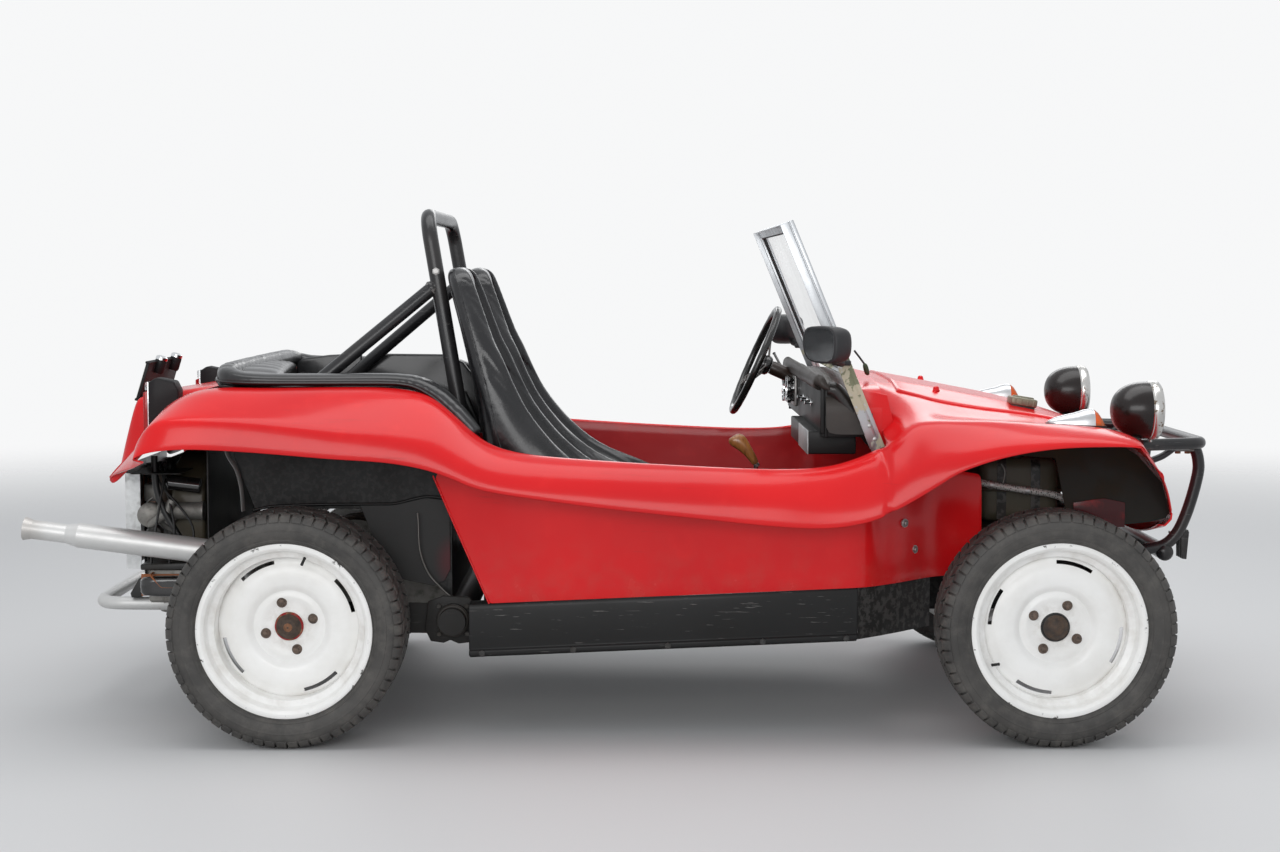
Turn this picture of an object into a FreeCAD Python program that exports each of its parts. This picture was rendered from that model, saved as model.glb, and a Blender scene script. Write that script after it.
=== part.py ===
import FreeCAD, Part
import math
import os
import re

import Sketcher

# Open two-seat dune buggy on a shortened floorpan, in millimetres.
# +X is forward, +Y is the car's left, +Z is up; the origin is on the ground
# under the middle of the car.  Every driving size is a named cell of Dims.

Vector = FreeCAD.Vector
Placement = FreeCAD.Placement
Rotation = FreeCAD.Rotation

SIDES = (("left", 1), ("right", -1))

# alias, value, what it sets
DIMENSIONS = [
    ("wheelbase", 2000, "front axle to rear axle"),
    ("front_axle", 1139, "front axle ahead of the origin"),
    ("tyre_radius", 307, "hub height above the ground"),
    ("front_track_half", 692, "middle of a front tyre from the centreline"),
    ("rear_track_half", 677, "middle of a rear tyre from the centreline"),
    ("front_tyre_half", 87, "half the width of a front tyre"),
    ("rear_tyre_half", 108, "half the width of a rear tyre"),
    ("front_rim_half", 75, "half the width of a front rim"),
    ("rear_rim_half", 92, "half the width of a rear rim"),
    ("rim_radius", 229, "outside of the rim's flange"),
    ("bead_radius", 212, "where the tyre's bead sits"),
    ("well_radius", 190, "bottom of the rim's drop centre"),
    ("rim_wall", 4, "thickness of the rim's sheet"),
    ("disc_wall", 5, "thickness of the wheel disc"),
    ("tyre_wall", 10, "thickness of the tyre's side"),
    ("front_recess", 64, "rim edge to the disc's mounting face, front"),
    ("rear_recess", 90, "rim edge to the disc's mounting face, rear"),
    ("disc_step_radius", 95, "raised step round the mounting face"),
    ("disc_crown", 14, "how far the step stands out of the face"),
    ("disc_bore_radius", 35, "centre bore of a wheel"),
    ("drum_radius", 135, "outside of a brake drum"),
    ("front_drum_depth", 84, "front drum, face to open edge"),
    ("rear_drum_depth", 100, "rear drum, face to open edge"),
    ("hub_boss_radius", 33, "hub boss that passes through the wheel"),
    ("spindle_radius", 14, "stub that a hub turns on"),
    ("running_gap", 0.05, "radial clearance of a shaft in its bore"),
    ("seat_gap", 0.3, "clearance where separate pieces seat"),
    ("kingpin_half", 575, "kingpin from the centreline"),
    ("kingpin_radius", 9, "kingpin"),
    ("knuckle_half", 62, "half the height of a knuckle's barrel"),
    ("knuckle_radius", 16, "barrel of a knuckle"),
    ("eye_radius", 20, "eye at the end of a trailing arm"),
    ("eye_height", 34, "height of that eye"),
    ("back_plate_radius", 125, "brake back plate"),
    ("plate_wall", 4, "thickness of a back plate"),
    ("beam_reach", 165, "beam tubes ahead of the front axle"),
    ("beam_radius", 25, "a beam tube"),
    ("beam_half", 440, "half the length of the beam tubes"),
    ("arm_height", 24, "depth of a trailing arm"),
    ("rear_arm_reach", 417, "torsion tube ahead of the rear axle"),
    ("torsion_radius", 45, "torsion tube"),
    ("torsion_half", 570, "half the length of the torsion tube"),
    ("body_wall", 5, "thickness of the moulded body"),
    ("lip_half", 790, "outer lip of the wings from the centreline"),
    ("panel_half", 655, "foot of the lower side panel"),
    ("sill_width", 70, "sill"),
    ("sill_depth", 145, "height of a sill"),
    ("sill_rear", 213, "underside of a sill at its rear end"),
    ("sill_rise", 43, "how far a sill rises to its front end"),
    ("floor_height", 256, "underside of the floor"),
    ("floor_wall", 10, "thickness of the floor"),
    ("tunnel_half", 65, "half the width of the tunnel"),
    ("tunnel_height", 95, "tunnel above the floor"),
    ("tub_half", 500, "outside of the rear tub from the centreline"),
    ("tub_wall", 8, "wall of the rear tub"),
    ("deck_height", 930.3, "underside of the padding on the rear deck"),
    ("hoop_radius", 21, "roll bar tube"),
    ("hoop_top", 1383, "middle of the roll bar's top tube"),
    ("hoop_half", 372, "roll bar legs from the centreline at the top"),
    ("stay_radius", 19, "roll bar stay"),
    ("seat_half", 340, "middle of a seat from the centreline"),
    ("seat_width", 440, "seat across its bolsters"),
    ("bolster_width", 62, "one bolster"),
    ("screen_angle", 22.4, "lean of the windscreen"),
    ("screen_half", 592, "windscreen frame from the centreline"),
    ("screen_length", 646, "windscreen post"),
    ("screen_bar", 37, "depth of the frame's section"),
    ("post_width", 21.7, "width of a windscreen post"),
    ("glass_wall", 6, "windscreen glass"),
    ("wheel_ring_radius", 170, "middle of the steering wheel's rim"),
    ("wheel_ring_wire", 11, "steering wheel rim section"),
    ("column_angle", 23.9, "slope of the steering column"),
    ("column_half", 320, "steering column from the centreline"),
    ("column_radius", 22, "steering column tube"),
    ("lamp_radius", 75, "headlamp"),
    ("lamp_half", 440, "headlamp from the centreline"),
    ("bumper_radius", 16, "bumper tube"),
]

doc = FreeCAD.newDocument("DuneBuggy")
sheet = doc.addObject("Spreadsheet::Sheet", "Dims")
for row, (alias, amount, note) in enumerate(DIMENSIONS, start=1):
    sheet.set("A%d" % row, note)
    sheet.set("B%d" % row, str(amount))
    sheet.setAlias("B%d" % row, alias)
doc.recompute()

kept = []


# ---- formulas -----------------------------------------------------------

def formula(text):
    # "rim_radius - 3" becomes "Dims.rim_radius - 3"
    return re.sub(r"[a-z][a-z_]+", lambda found: "Dims." + found.group(), str(text))


def number(text):
    return float(sheet.evalExpression(formula(text)))


REAR = "(front_axle - wheelbase)"


def along(nominal):
    # body stations follow the nearer axle; between them they share the change
    front, rear = 640.0, -430.0
    front_shift = number("front_axle - 1139")
    rear_shift = number(REAR + " + 861")
    if nominal >= front:
        return nominal + front_shift
    if nominal <= rear:
        return nominal + rear_shift
    share = (nominal - rear) / (front - rear)
    return nominal + rear_shift + (front_shift - rear_shift) * share


# named places
FLOOR_TOP = "floor_height + floor_wall"
PAN_REAR = REAR + " + rear_arm_reach + torsion_radius + seat_gap"
PAN_FRONT = "front_axle - 499"
DASH_FACE = "front_axle - 589.3"
DASH_WALL = "front_axle - 279"
SILL_REAR = PAN_REAR + " + 4"
SILL_FRONT = PAN_FRONT + " - 10"
TORSION_HEIGHT = "(tyre_radius - 6)"
BEAM_SPACING = "(knuckle_half + eye_height / 2 + 4)"


# ---- makers -------------------------------------------------------------

def bind(thing, prop, text):
    thing.setExpression(prop, formula(text))


def place(thing, spot, turn=None):
    # spot: three formulas; turn: a Rotation
    thing.Placement = Placement(Vector(*[number(part) for part in spot]), turn or Rotation())
    for axis, part in zip("xyz", spot):
        bind(thing, "Placement.Base." + axis, part)
    return thing


def keep(thing, label):
    thing.Label = label
    kept.append(thing)
    return thing


def block(name, low, high):
    box = doc.addObject("Part::Box", name)
    for prop, start, end in zip(("Length", "Width", "Height"), low, high):
        bind(box, prop, "(%s) - (%s)" % (end, start))
    return place(box, low)


def rod(name, radius, length, spot, turn=None):
    # a cylinder that starts at spot and runs along its own Z
    cylinder = doc.addObject("Part::Cylinder", name)
    bind(cylinder, "Radius", radius)
    bind(cylinder, "Height", length)
    return place(cylinder, spot, turn)


def fused(name, things):
    whole = doc.addObject("Part::MultiFuse", name)
    whole.Shapes = things
    return whole


def cut(name, base, tool):
    left = doc.addObject("Part::Cut", name)
    left.Base = base
    left.Tool = tool
    return left


def sketched(body, role, points):
    sketch = body.newObject("Sketcher::SketchObject", body.Name + "_outline")
    plane = [face for face in body.Origin.OriginFeatures if face.Role == role][0]
    sketch.AttachmentSupport = [(plane, "")]
    sketch.MapMode = "FlatFace"
    spots = [Vector(number(across), number(up), 0) for across, up in points]
    count = len(spots)
    for index in range(count):
        sketch.addGeometry(Part.LineSegment(spots[index], spots[(index + 1) % count]), False)
    for index in range(count):
        sketch.addConstraint(
            Sketcher.Constraint("Coincident", index, 2, (index + 1) % count, 1))
    for index, (across, up) in enumerate(points):
        for kind, text, value in (("DistanceX", across, spots[index].x),
                                  ("DistanceY", up, spots[index].y)):
            held = sketch.addConstraint(Sketcher.Constraint(kind, -1, 1, index, 1, value))
            sketch.setExpression("Constraints[%d]" % held, formula(text))
    return sketch


# turned pieces: an outline of (along, radius) turned about the piece's X axis
TURNS = {
    "left": Rotation(Vector(0, 0, 1), 90),
    "right": Rotation(Vector(0, 0, 1), -90),
    "up": Rotation(Vector(0, 1, 0), -90),
    "forward": Rotation(),
}


def turned(name, points, spot, turn):
    body = doc.addObject("PartDesign::Body", name)
    sketch = sketched(body, "XY_Plane", points)
    spin = body.newObject("PartDesign::Revolution", name + "_spin")
    spin.Profile = sketch
    spin.ReferenceAxis = (sketch, ["H_Axis"])
    spin.Angle = 360
    return place(body, spot, turn)


# side plates: an outline of (x, z) drawn on XZ and padded evenly about a given Y
def side_plate(name, points, middle, width):
    body = doc.addObject("PartDesign::Body", name)
    sketch = sketched(body, "XZ_Plane", points)
    pad = body.newObject("PartDesign::Pad", name + "_pad")
    pad.Profile = sketch
    pad.Midplane = True
    bind(pad, "Length", width)
    return place(body, ("0", middle, "0"))


def rounded_way(points, bend):
    # straight runs joined by tangent arcs
    edges = []
    last = points[0]
    for before, corner, after in zip(points, points[1:], points[2:]):
        arrive = (corner - before).normalize()
        leave = (after - corner).normalize()
        turn = arrive.getAngle(leave)
        back = bend * math.tan(turn / 2)
        start = corner - arrive * back
        end = corner + leave * back
        inward = (leave - arrive).normalize()
        middle = corner + inward * (bend / math.cos(turn / 2) - bend)
        edges.append(Part.makeLine(last, start))
        edges.append(Part.Arc(start, middle, end).toShape())
        last = end
    edges.append(Part.makeLine(last, points[-1]))
    return Part.Wire(edges)


def tube(name, points, radius, bend):
    spots = [Vector(*point) for point in points]
    way = doc.addObject("Part::Feature", name + "_way")
    way.Shape = rounded_way(spots, bend)
    ring = doc.addObject("Part::Circle", name + "_ring")
    bind(ring, "Radius", radius)
    ring.Placement = Placement(spots[0], Rotation(Vector(0, 0, 1), spots[1] - spots[0]))
    swept = doc.addObject("Part::Sweep", name)
    swept.Sections = [ring]
    swept.Spine = (way, ["Edge%d" % (index + 1) for index in range(len(way.Shape.Edges))])
    swept.Solid = True
    return swept


def skin(name, rows, wall, flat_rows=()):
    # A moulded sheet through a grid of points: its outer face is the grid, and the inner
    # face lies one wall behind it.  Rows in flat_rows keep their X, so they butt cleanly.
    tall, wide = len(rows), len(rows[0])

    def direction(row, col):
        down = rows[min(row + 1, tall - 1)][col] - rows[max(row - 1, 0)][col]
        across = rows[row][min(col + 1, wide - 1)] - rows[row][max(col - 1, 0)]
        normal = down.cross(across)
        if row in flat_rows:
            normal.x = 0
        return normal.normalize()

    inner = [[rows[row][col] - direction(row, col) * wall for col in range(wide)]
             for row in range(tall)]
    faces = []

    def quad(one, two, three, four):
        for corners in ((one, two, three), (one, three, four)):
            if (corners[1] - corners[0]).cross(corners[2] - corners[0]).Length > 1e-3:
                faces.append(Part.Face(Part.makePolygon(list(corners) + [corners[0]])))

    for row in range(tall - 1):
        for col in range(wide - 1):
            quad(rows[row][col], rows[row + 1][col], rows[row + 1][col + 1], rows[row][col + 1])
            quad(inner[row][col], inner[row + 1][col], inner[row + 1][col + 1], inner[row][col + 1])
    for col in range(wide - 1):
        for row in (0, tall - 1):
            quad(rows[row][col], rows[row][col + 1], inner[row][col + 1], inner[row][col])
    for row in range(tall - 1):
        for col in (0, wide - 1):
            quad(rows[row][col], rows[row + 1][col], inner[row + 1][col], inner[row][col])
    shell = Part.Shell(faces)
    shell.sewShape()
    solid = Part.Solid(Part.Shell(shell.Faces))
    if solid.Volume < 0:
        solid.reverse()
    feature = doc.addObject("Part::Feature", name)
    feature.Shape = solid
    return feature


def rest_on(shape, x, y, radius):
    # the height at which an upright rod of that radius meets the shape from above
    probe = Part.makeCylinder(radius, 3000, Vector(x, y, 0))
    return shape.common(probe).BoundBox.ZMax


# ---- body moulding ------------------------------------------------------

# cockpit rail and wings, one row a station from the tail to the windscreen:
# x, then (y, z) of the rail's inner edge, its outer edge, the crease and the lip;
# the slanted tail edge gives each point its own x last
RAIL = [
    (None, (440, 676, -1388), (560, 700, -1330), (680, 722, -1262), (760, 742, -1215)),
    (-1245, (540, 812), (622, 800), (722, 784), (768, 750)),
    (-1190, (558, 885), (645, 872), (765, 846), (786, 771)),
    (-1090, (560, 925), (645, 918), (775, 856), (790, 778)),
    (-930, (560, 928), (645, 920), (775, 850), (790, 770)),
    (-740, (560, 930), (645, 922), (775, 828), (790, 754)),
    (-600, (565, 928), (650, 920), (775, 815), (790, 745)),
    (-500, (580, 910), (660, 902), (775, 795), (790, 728)),
    (-430, (600, 860), (675, 852), (775, 765), (790, 705)),
    (-355, (630, 795), (695, 787), (775, 730), (790, 675)),
    (-250, (665, 762), (715, 755), (775, 708), (790, 656)),
    (-40, (675, 744), (720, 737), (775, 688), (790, 627)),
    (200, (680, 730), (722, 724), (775, 668), (790, 601)),
    (400, (680, 722), (722, 716), (775, 655), (790, 580)),
    (540, (675, 728), (720, 722), (775, 642), (790, 575)),
    (640, (665, 757), (715, 750), (775, 652), (790, 591)),
    (699.5, (655, 790), (710, 780), (775, 680), (790, 615)),
]

# nose and front wings, one row a station from the scuttle to the nose's lower edge:
# the eight columns are centre, bonnet middle, bonnet edge, valley, inner wing,
# wing top, crease and lip, each (x, y, z)
FRONT = [
    [(700, 0, 943), (700, 250, 939), (700, 420, 925), (700, 569, 800),
     (700, 655, 790), (700, 710, 780), (700, 775, 680), (700, 790, 615)],
    [(760, 0, 930), (760, 250, 926), (760, 420, 903), (760, 562, 858),
     (760, 640, 838), (760, 700, 826), (760, 775, 720), (760, 790, 647)],
    [(820, 0, 920), (820, 250, 915), (820, 420, 887), (820, 552, 856),
     (820, 622, 848), (820, 690, 840), (820, 775, 748), (820, 790, 684)],
    [(880, 0, 909), (880, 250, 904), (880, 420, 870), (880, 542, 842),
     (880, 612, 846), (880, 685, 843), (880, 775, 765), (880, 790, 720)],
    [(990, 0, 888), (990, 250, 882), (990, 420, 852), (990, 540, 830),
     (990, 610, 842), (990, 680, 845), (990, 775, 793), (990, 790, 756)],
    [(1120, 0, 861), (1120, 250, 857), (1120, 420, 838), (1120, 540, 822),
     (1120, 610, 834), (1120, 680, 836), (1120, 775, 806), (1120, 790, 778)],
    [(1260, 0, 822), (1260, 250, 822), (1260, 420, 812), (1260, 540, 808),
     (1260, 610, 824), (1260, 680, 826), (1260, 772, 806), (1260, 790, 783)],
    [(1350, 0, 792), (1350, 250, 793), (1345, 420, 790), (1340, 540, 790),
     (1338, 610, 802), (1336, 680, 806), (1332, 765, 798), (1328, 788, 781)],
    [(1452, 0, 742), (1446, 250, 742), (1422, 420, 745), (1400, 530, 752),
     (1388, 600, 764), (1374, 665, 775), (1356, 735, 780), (1340, 780, 778)],
    [(1520, 0, 668), (1512, 250, 668), (1488, 430, 672), (1452, 530, 692),
     (1430, 590, 712), (1404, 650, 732), (1376, 710, 752), (1350, 765, 768)],
    [(1552, 0, 560), (1542, 250, 560), (1512, 440, 562), (1496, 480, 604),
     (1472, 530, 652), (1440, 590, 696), (1402, 650, 724), (1362, 730, 756)],
]


def spread(across):
    # half-widths follow the lip of the wings
    return across * number("lip_half") / 790.0


def rail_row(station, side):
    return [Vector(along(point[2] if station[0] is None else station[0]),
                   side * spread(point[0]), point[1]) for point in station[1:]]


def body_sides():
    for label, side in SIDES:
        rows = [rail_row(station, side) for station in RAIL]
        if side < 0:
            rows = [row[::-1] for row in rows]
        thing = skin("body_side_" + label, rows, number("body_wall"), flat_rows=(len(rows) - 1,))
        keep(thing, "body_side_" + label)


def front_rows(columns, lift=0.0, half=None):
    rows = []
    for station in FRONT:
        spots = [Vector(along(x), spread(y), z + lift) for x, y, z in station[:columns]]
        if half is not None:
            spots[-1].z += (spots[-2].z - spots[-1].z) * 0.1
            spots[-1].y = half
        mirrored = [Vector(spot.x, -spot.y, spot.z) for spot in spots[:0:-1]]
        rows.append(mirrored + spots)
    return rows


def front_moulding():
    nose = skin("front_moulding", front_rows(8), number("body_wall"), flat_rows=(0,))
    return keep(nose, "front_moulding")


def bonnet():
    lift = number("body_wall + 3 * seat_gap")
    rows = front_rows(3, lift, half=spread(400))[1:7]
    keep(skin("bonnet", rows, number("body_wall - 1")), "bonnet")


def scuttle():
    rows = []
    for station, crown, middle, shoulder in ((DASH_FACE + " + 0.3", 948, 944, 915),
                                             ("front_axle - 439.5", 943, 939, 918)):
        spots = [Vector(number(station), y, z) for y, z in
                 ((0, crown), (250, middle), (470, shoulder + 8), (545, shoulder - 8),
                  (569, shoulder - 35), (570, 790))]
        mirrored = [Vector(spot.x, -spot.y, spot.z) for spot in spots[:0:-1]]
        rows.append(mirrored + spots)
    keep(skin("scuttle", rows, number("body_wall"), flat_rows=(0, 1)), "scuttle")


def sill_top(nominal):
    share = (along(nominal) - number(SILL_REAR)) / (number(SILL_FRONT) - number(SILL_REAR))
    return number("sill_rear + sill_depth") + number("sill_rise") * min(share, 1.0)


def side_panels():
    # nominal x, foot half-width, top half-width, top height; the rear edge leans
    # back, so its top stands behind its foot
    lean = 150
    stations = [
        (-343, 655, 596, 692),
        (-300, 655, 630, 781),
        (-230, 655, 667, 752),
        (-40, 655, 678, 738.4),
        (200, 655, 683, 724.4),
        (400, 655, 683, 716.4),
        (540, 655, 678, 722.4),
        (640, 650, 668, 744),
        (700, 608, 590, 740),
        (760, 555, 535, 720),
        (850, 465, 450, 700),
        (930, 428, 420, 690),
        (992, 425, 418, 680),
    ]
    for label, side in SIDES:
        rows = []
        for index, (nominal, foot, top, high) in enumerate(stations):
            back = (lean, lean * 0.5, lean * 0.2)[index] if index < 3 else 0
            rows.append([Vector(along(nominal - back), side * spread(top), high),
                         Vector(along(nominal), side * foot, sill_top(nominal) + 0.9)])
        if side < 0:
            rows = [row[::-1] for row in rows]
        keep(skin("side_panel_" + label, rows, number("body_wall"), flat_rows=(0,)),
             "side_panel_" + label)


# tail: x, height of the raised middle, height of the shoulders, half-width
TAIL = [
    (-1105, 921, 919, 559),
    (-1190, 906, 884, 557),
    (-1245, 890, 811, 539),
    (-1300, 862, 759, 500),
    (-1340, 796, 721, 472),
    (-1394, 690, 671, 434),
]


def tail_panel():
    # a raised middle carries lamps and plate between two lower shoulders
    rows = []
    for nominal, middle, shoulder, half in TAIL:
        right = [Vector(along(nominal), -across, up) for across, up in
                 ((spread(half), shoulder), (285, shoulder), (250, middle))]
        left = [Vector(spot.x, -spot.y, spot.z) for spot in right[::-1]]
        rows.append((right + left)[::-1])
    keep(skin("tail_panel", rows, number("body_wall")), "tail_panel")


# ---- floor, tub and sills ----------------------------------------------

def floor_pan():
    edge = "panel_half - 2 - sill_width - seat_gap"
    plate = block("floor_plate", (PAN_REAR, "-(%s)" % edge, "floor_height"),
                  (PAN_FRONT, edge, FLOOR_TOP))
    tunnel = block("floor_tunnel", (PAN_REAR, "-tunnel_half", "floor_height"),
                   (DASH_WALL, "tunnel_half", FLOOR_TOP + " + tunnel_height"))
    reach = BEAM_SPACING + " - beam_radius - seat_gap"
    fork = block("frame_fork", (PAN_REAR, "-tunnel_half", "floor_height"),
                 (PAN_REAR + " + 60", "tunnel_half", TORSION_HEIGHT))
    head = block("frame_head", (DASH_WALL, "-tunnel_half - 15", "tyre_radius - (%s)" % reach),
                 ("front_axle + beam_reach + 8", "tunnel_half + 15", "tyre_radius + " + reach))
    toe = side_plate("toe_board", [(PAN_FRONT, "floor_height"), (PAN_FRONT + " + 2", FLOOR_TOP),
                                   (DASH_WALL + " - 10", "430"), (DASH_WALL + " - 10", "715"),
                                   (DASH_WALL, "715"), (DASH_WALL, "530"),
                                   ("front_axle + 230", "530"), ("front_axle + 230", "522"),
                                   (DASH_WALL, "522"), (DASH_WALL, "424"),
                                   (PAN_FRONT + " + 12", "floor_height")], "0", "816")
    keep(fused("floor_pan", [plate, tunnel, fork, head, toe]), "floor_pan")


# x and half-width of the outriggers
OUTRIGGER = [(630.4, 646), (700, 588), (760, 532), (850, 440)]


def sills():
    rails = []
    for label, side in SIDES:
        middle = "%d * (panel_half - 2 - sill_width / 2)" % side
        outline = [(SILL_REAR, "sill_rear"), (SILL_FRONT, "sill_rear + sill_rise"),
                   (SILL_FRONT, "sill_rear + sill_rise + sill_depth"),
                   (SILL_REAR, "sill_rear + sill_depth")]
        rails.append(side_plate("sill_" + label, outline, middle, "sill_width"))
    pair = doc.addObject("Part::Compound", "sills")
    pair.Links = rails
    keep(pair, "sills")


def outriggers():
    # plates that carry on from the sills along the foot of the tapering side panels
    sheets = []
    for label, side in SIDES:
        rows = []
        for index, (nominal, foot) in enumerate(OUTRIGGER):
            x = along(nominal) if index else number(SILL_FRONT) + 0.4
            top = sill_top(nominal) - 0.5
            rows.append([Vector(x, side * foot, top),
                         Vector(x, side * foot, top - number("sill_depth") + 8.5)])
        if side < 0:
            rows = [row[::-1] for row in rows]
        sheets.append(skin("outrigger_" + label, rows, 4, flat_rows=(0,)))
    pair = doc.addObject("Part::Compound", "outrigger_pair")
    pair.Links = sheets
    keep(pair, "outriggers")


def rear_tub():
    rear, front = REAR + " - 175", REAR + " + rear_arm_reach - 7"
    low = TORSION_HEIGHT + " + torsion_radius + 0.5"
    outer = [(rear, "924"), (rear, "737"), (REAR + " - 119", "594"), (REAR + " + 161", "594"),
             (front, low), (front, "760"), (front + " - 70", "924")]
    inner = [(rear + " + tub_wall", "930"), (rear + " + tub_wall", "739"),
             (REAR + " - 115", "594 + tub_wall"), (REAR + " + 164", "594 + tub_wall"),
             (front + " - tub_wall", low + " + tub_wall + 6"), (front + " - tub_wall", "730"),
             (front + " - 60", "930")]
    shell = side_plate("tub_outer", outer, "0", "2 * tub_half")
    room = side_plate("tub_room", inner, "0", "2 * (tub_half - tub_wall)")
    hollow = cut("tub_hollow", shell, room)
    flanges = [hollow]
    for label, side in SIDES:
        ends = sorted((side * (number("tub_half") - 1), side * spread(558)))
        flanges.append(block("tub_flange_" + label, (rear, str(ends[0]), "914"),
                             (front + " - 130", str(ends[1]), "919")))
    keep(fused("rear_tub", flanges), "rear_tub")


# ---- cabin --------------------------------------------------------------

def seats():
    # outlines are (x, z) measured from the floorpan's rear edge
    back = REAR + " + 861"
    cushion = [("-418", "1040"), ("-380", "886"), ("-356", "760"), ("-322", "560"),
               ("-290", "420"), ("130", "378"), ("168", "470"), ("150", "560"),
               ("40", "560"), ("-180", "525"), ("-235", "600"), ("-300", "800"), ("-352", "1010")]
    bolster = [("-416", "1060"), ("-392", "886"), ("-368", "760"), ("-334", "560"),
               ("-300", "420"), ("130", "378"), ("175", "470"), ("160", "590"), ("98", "635"),
               ("-99", "711"), ("-178", "783"), ("-275", "875"), ("-314", "967"), ("-350", "1060")]
    head = [("-446", "1250"), ("-470", "1215"), ("-459", "1147"), ("-417", "986"),
            ("-345", "986"), ("-367", "1083"), ("-403", "1217"), ("-425", "1250")]
    base = [("-240", "floor_height + floor_wall + seat_gap"), ("90", "floor_height + floor_wall + seat_gap"),
            ("90", "400"), ("-240", "430")]

    def shifted(points):
        return [("(%s) + %s" % (x, back), z) for x, z in points]

    for label, side in SIDES:
        middle = "%d * seat_half" % side
        offset = "(seat_width - bolster_width) / 2"
        pieces = [
            side_plate("cushion_" + label, shifted(cushion), middle, "seat_width - bolster_width"),
            side_plate("bolster_in_" + label, shifted(bolster), middle + " - " + offset,
                       "bolster_width"),
            side_plate("bolster_out_" + label, shifted(bolster), middle + " + " + offset,
                       "bolster_width"),
            side_plate("headrest_" + label, shifted(head), middle, "270"),
            side_plate("seat_base_" + label, shifted(base), middle, "360"),
        ]
        keep(fused("seat_" + label, pieces), "seat_" + label)


def rear_bench():
    wall = "tub_half - tub_wall - 6"
    cushion = block("bench_cushion", (REAR + " - 60", "-(%s)" % wall, "594 + tub_wall + seat_gap"),
                    (REAR + " + 155", wall, "690"))
    back = side_plate("bench_back", [(REAR + " - 164", "742"), (REAR + " - 60", "640"),
                                     (REAR + " - 60", "880"), (REAR + " - 100", "922"),
                                     (REAR + " - 164", "922")], "0", "2 * (%s)" % wall)
    keep(fused("rear_bench", [cushion, back]), "rear_bench")


def rear_padding():
    rear = REAR + " - 215"
    half = str(spread(590))
    pieces = [block("padding_back", (rear, "-" + half, "deck_height"), (REAR + " - 170", half, "985"))]
    outline = [(rear, "deck_height"), (REAR + " + 261", "deck_height"), (REAR + " + 361", "914"),
               (REAR + " + 420", "872"), (REAR + " + 440", "884"),
               (REAR + " + 385", "950"), (REAR + " + 300", "972"),
               (rear, "972")]
    inner = number("tub_half")
    for label, side in SIDES:
        pieces.append(side_plate("padding_" + label, outline,
                                 str(side * (inner + spread(590)) / 2), str(spread(590) - inner)))
    keep(fused("rear_padding", pieces), "rear_padding")


def dashboard():
    wall = DASH_FACE
    panel = block("dash_panel", (wall + " - 14", "-560", "800"), (wall, "560", "930"))
    pad = block("dash_pad", (wall + " - 34", "-566", "916"), (wall, "566", "962"))
    gauges = block("dash_gauges", (wall + " - 60", "200", "822"), (wall, "440", "925"))
    tray = block("dash_tray", (wall + " - 44", "-520", "742"), (wall + " + 88", "60", "806"))
    whole = fused("dash_whole", [panel, pad, gauges, tray])
    way = rod("dash_way", "column_radius + seat_gap", "400", COLUMN_SPOT, COLUMN_TURN)
    keep(cut("dashboard", whole, way), "dashboard")


# the steering wheel's middle and the column's line through it
WHEEL_X, WHEEL_Z = "(front_axle - 723)", "958"
SLOPE = number("column_angle")
COLUMN_TURN = Rotation(Vector(0, 1, 0), 90 + SLOPE)
DOWN = (math.cos(math.radians(SLOPE)), -math.sin(math.radians(SLOPE)))


def down_column(reach):
    return ("%s + %.5f * (%s)" % (WHEEL_X, DOWN[0], reach), "column_half",
            "%s + %.5f * (%s)" % (WHEEL_Z, DOWN[1], reach))


COLUMN_SPOT = down_column("52")


def steering_wheel():
    ring = doc.addObject("Part::Torus", "wheel_ring")
    bind(ring, "Radius1", "wheel_ring_radius")
    bind(ring, "Radius2", "wheel_ring_wire")
    place(ring, down_column("0"), COLUMN_TURN)
    hub = rod("wheel_hub", "32", "26", down_column("20"), COLUMN_TURN)
    stub = rod("wheel_stub", "9", "60", down_column("40"), COLUMN_TURN)
    spokes = []
    for index, angle in enumerate((0, 120, 240)):
        arm = doc.addObject("Part::Box", "wheel_spoke_%d" % index)
        bind(arm, "Length", "wheel_ring_radius")
        arm.Width = 34
        arm.Height = 5
        arm.Placement = Placement(
            Vector(*[number(part) for part in down_column("0")]), COLUMN_TURN).multiply(
            Placement(Vector(), Rotation(Vector(0, 0, 1), angle))).multiply(
            Placement(Vector(0, -17, 22), Rotation(Vector(0, 1, 0), 7)))
        spokes.append(arm)
    keep(fused("steering_wheel", [ring, hub, stub] + spokes), "steering_wheel")


def steering_column():
    tube_out = rod("column_tube", "column_radius", "330", COLUMN_SPOT, COLUMN_TURN)
    bore = rod("column_bore", "9 + running_gap", "60", COLUMN_SPOT, COLUMN_TURN)
    keep(cut("steering_column", tube_out, bore), "steering_column")


def controls():
    top = FLOOR_TOP + " + tunnel_height + seat_gap"
    lever = rod("gear_rod", "8", "330", ("front_axle - 740", "0", top + " + 2"),
                Rotation(Vector(0, 1, 0), -6))
    boot = rod("gear_boot", "34", "30", ("front_axle - 740", "0", top))
    knob = doc.addObject("Part::Sphere", "gear_knob")
    knob.Radius = 26
    place(knob, ("front_axle - 776", "0", top + " + 345"))
    brake = block("handbrake", ("front_axle - 1010", "14", top), ("front_axle - 990", "34", "430"))
    pedals = [fused("gear_lever", [lever, boot, knob]), brake]
    for name, across in (("clutch", 400), ("brake", 320), ("throttle", 230)):
        pedals.append(side_plate(name + "_pedal", [
            ("front_axle - 530", FLOOR_TOP + " + seat_gap"),
            ("front_axle - 518", FLOOR_TOP + " + seat_gap"),
            ("front_axle - 535", "400"), ("front_axle - 547", "398")], str(across), "60"))
    group = doc.addObject("Part::Compound", "controls")
    group.Links = pedals
    keep(group, "controls")


# ---- above the cabin ----------------------------------------------------

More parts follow.
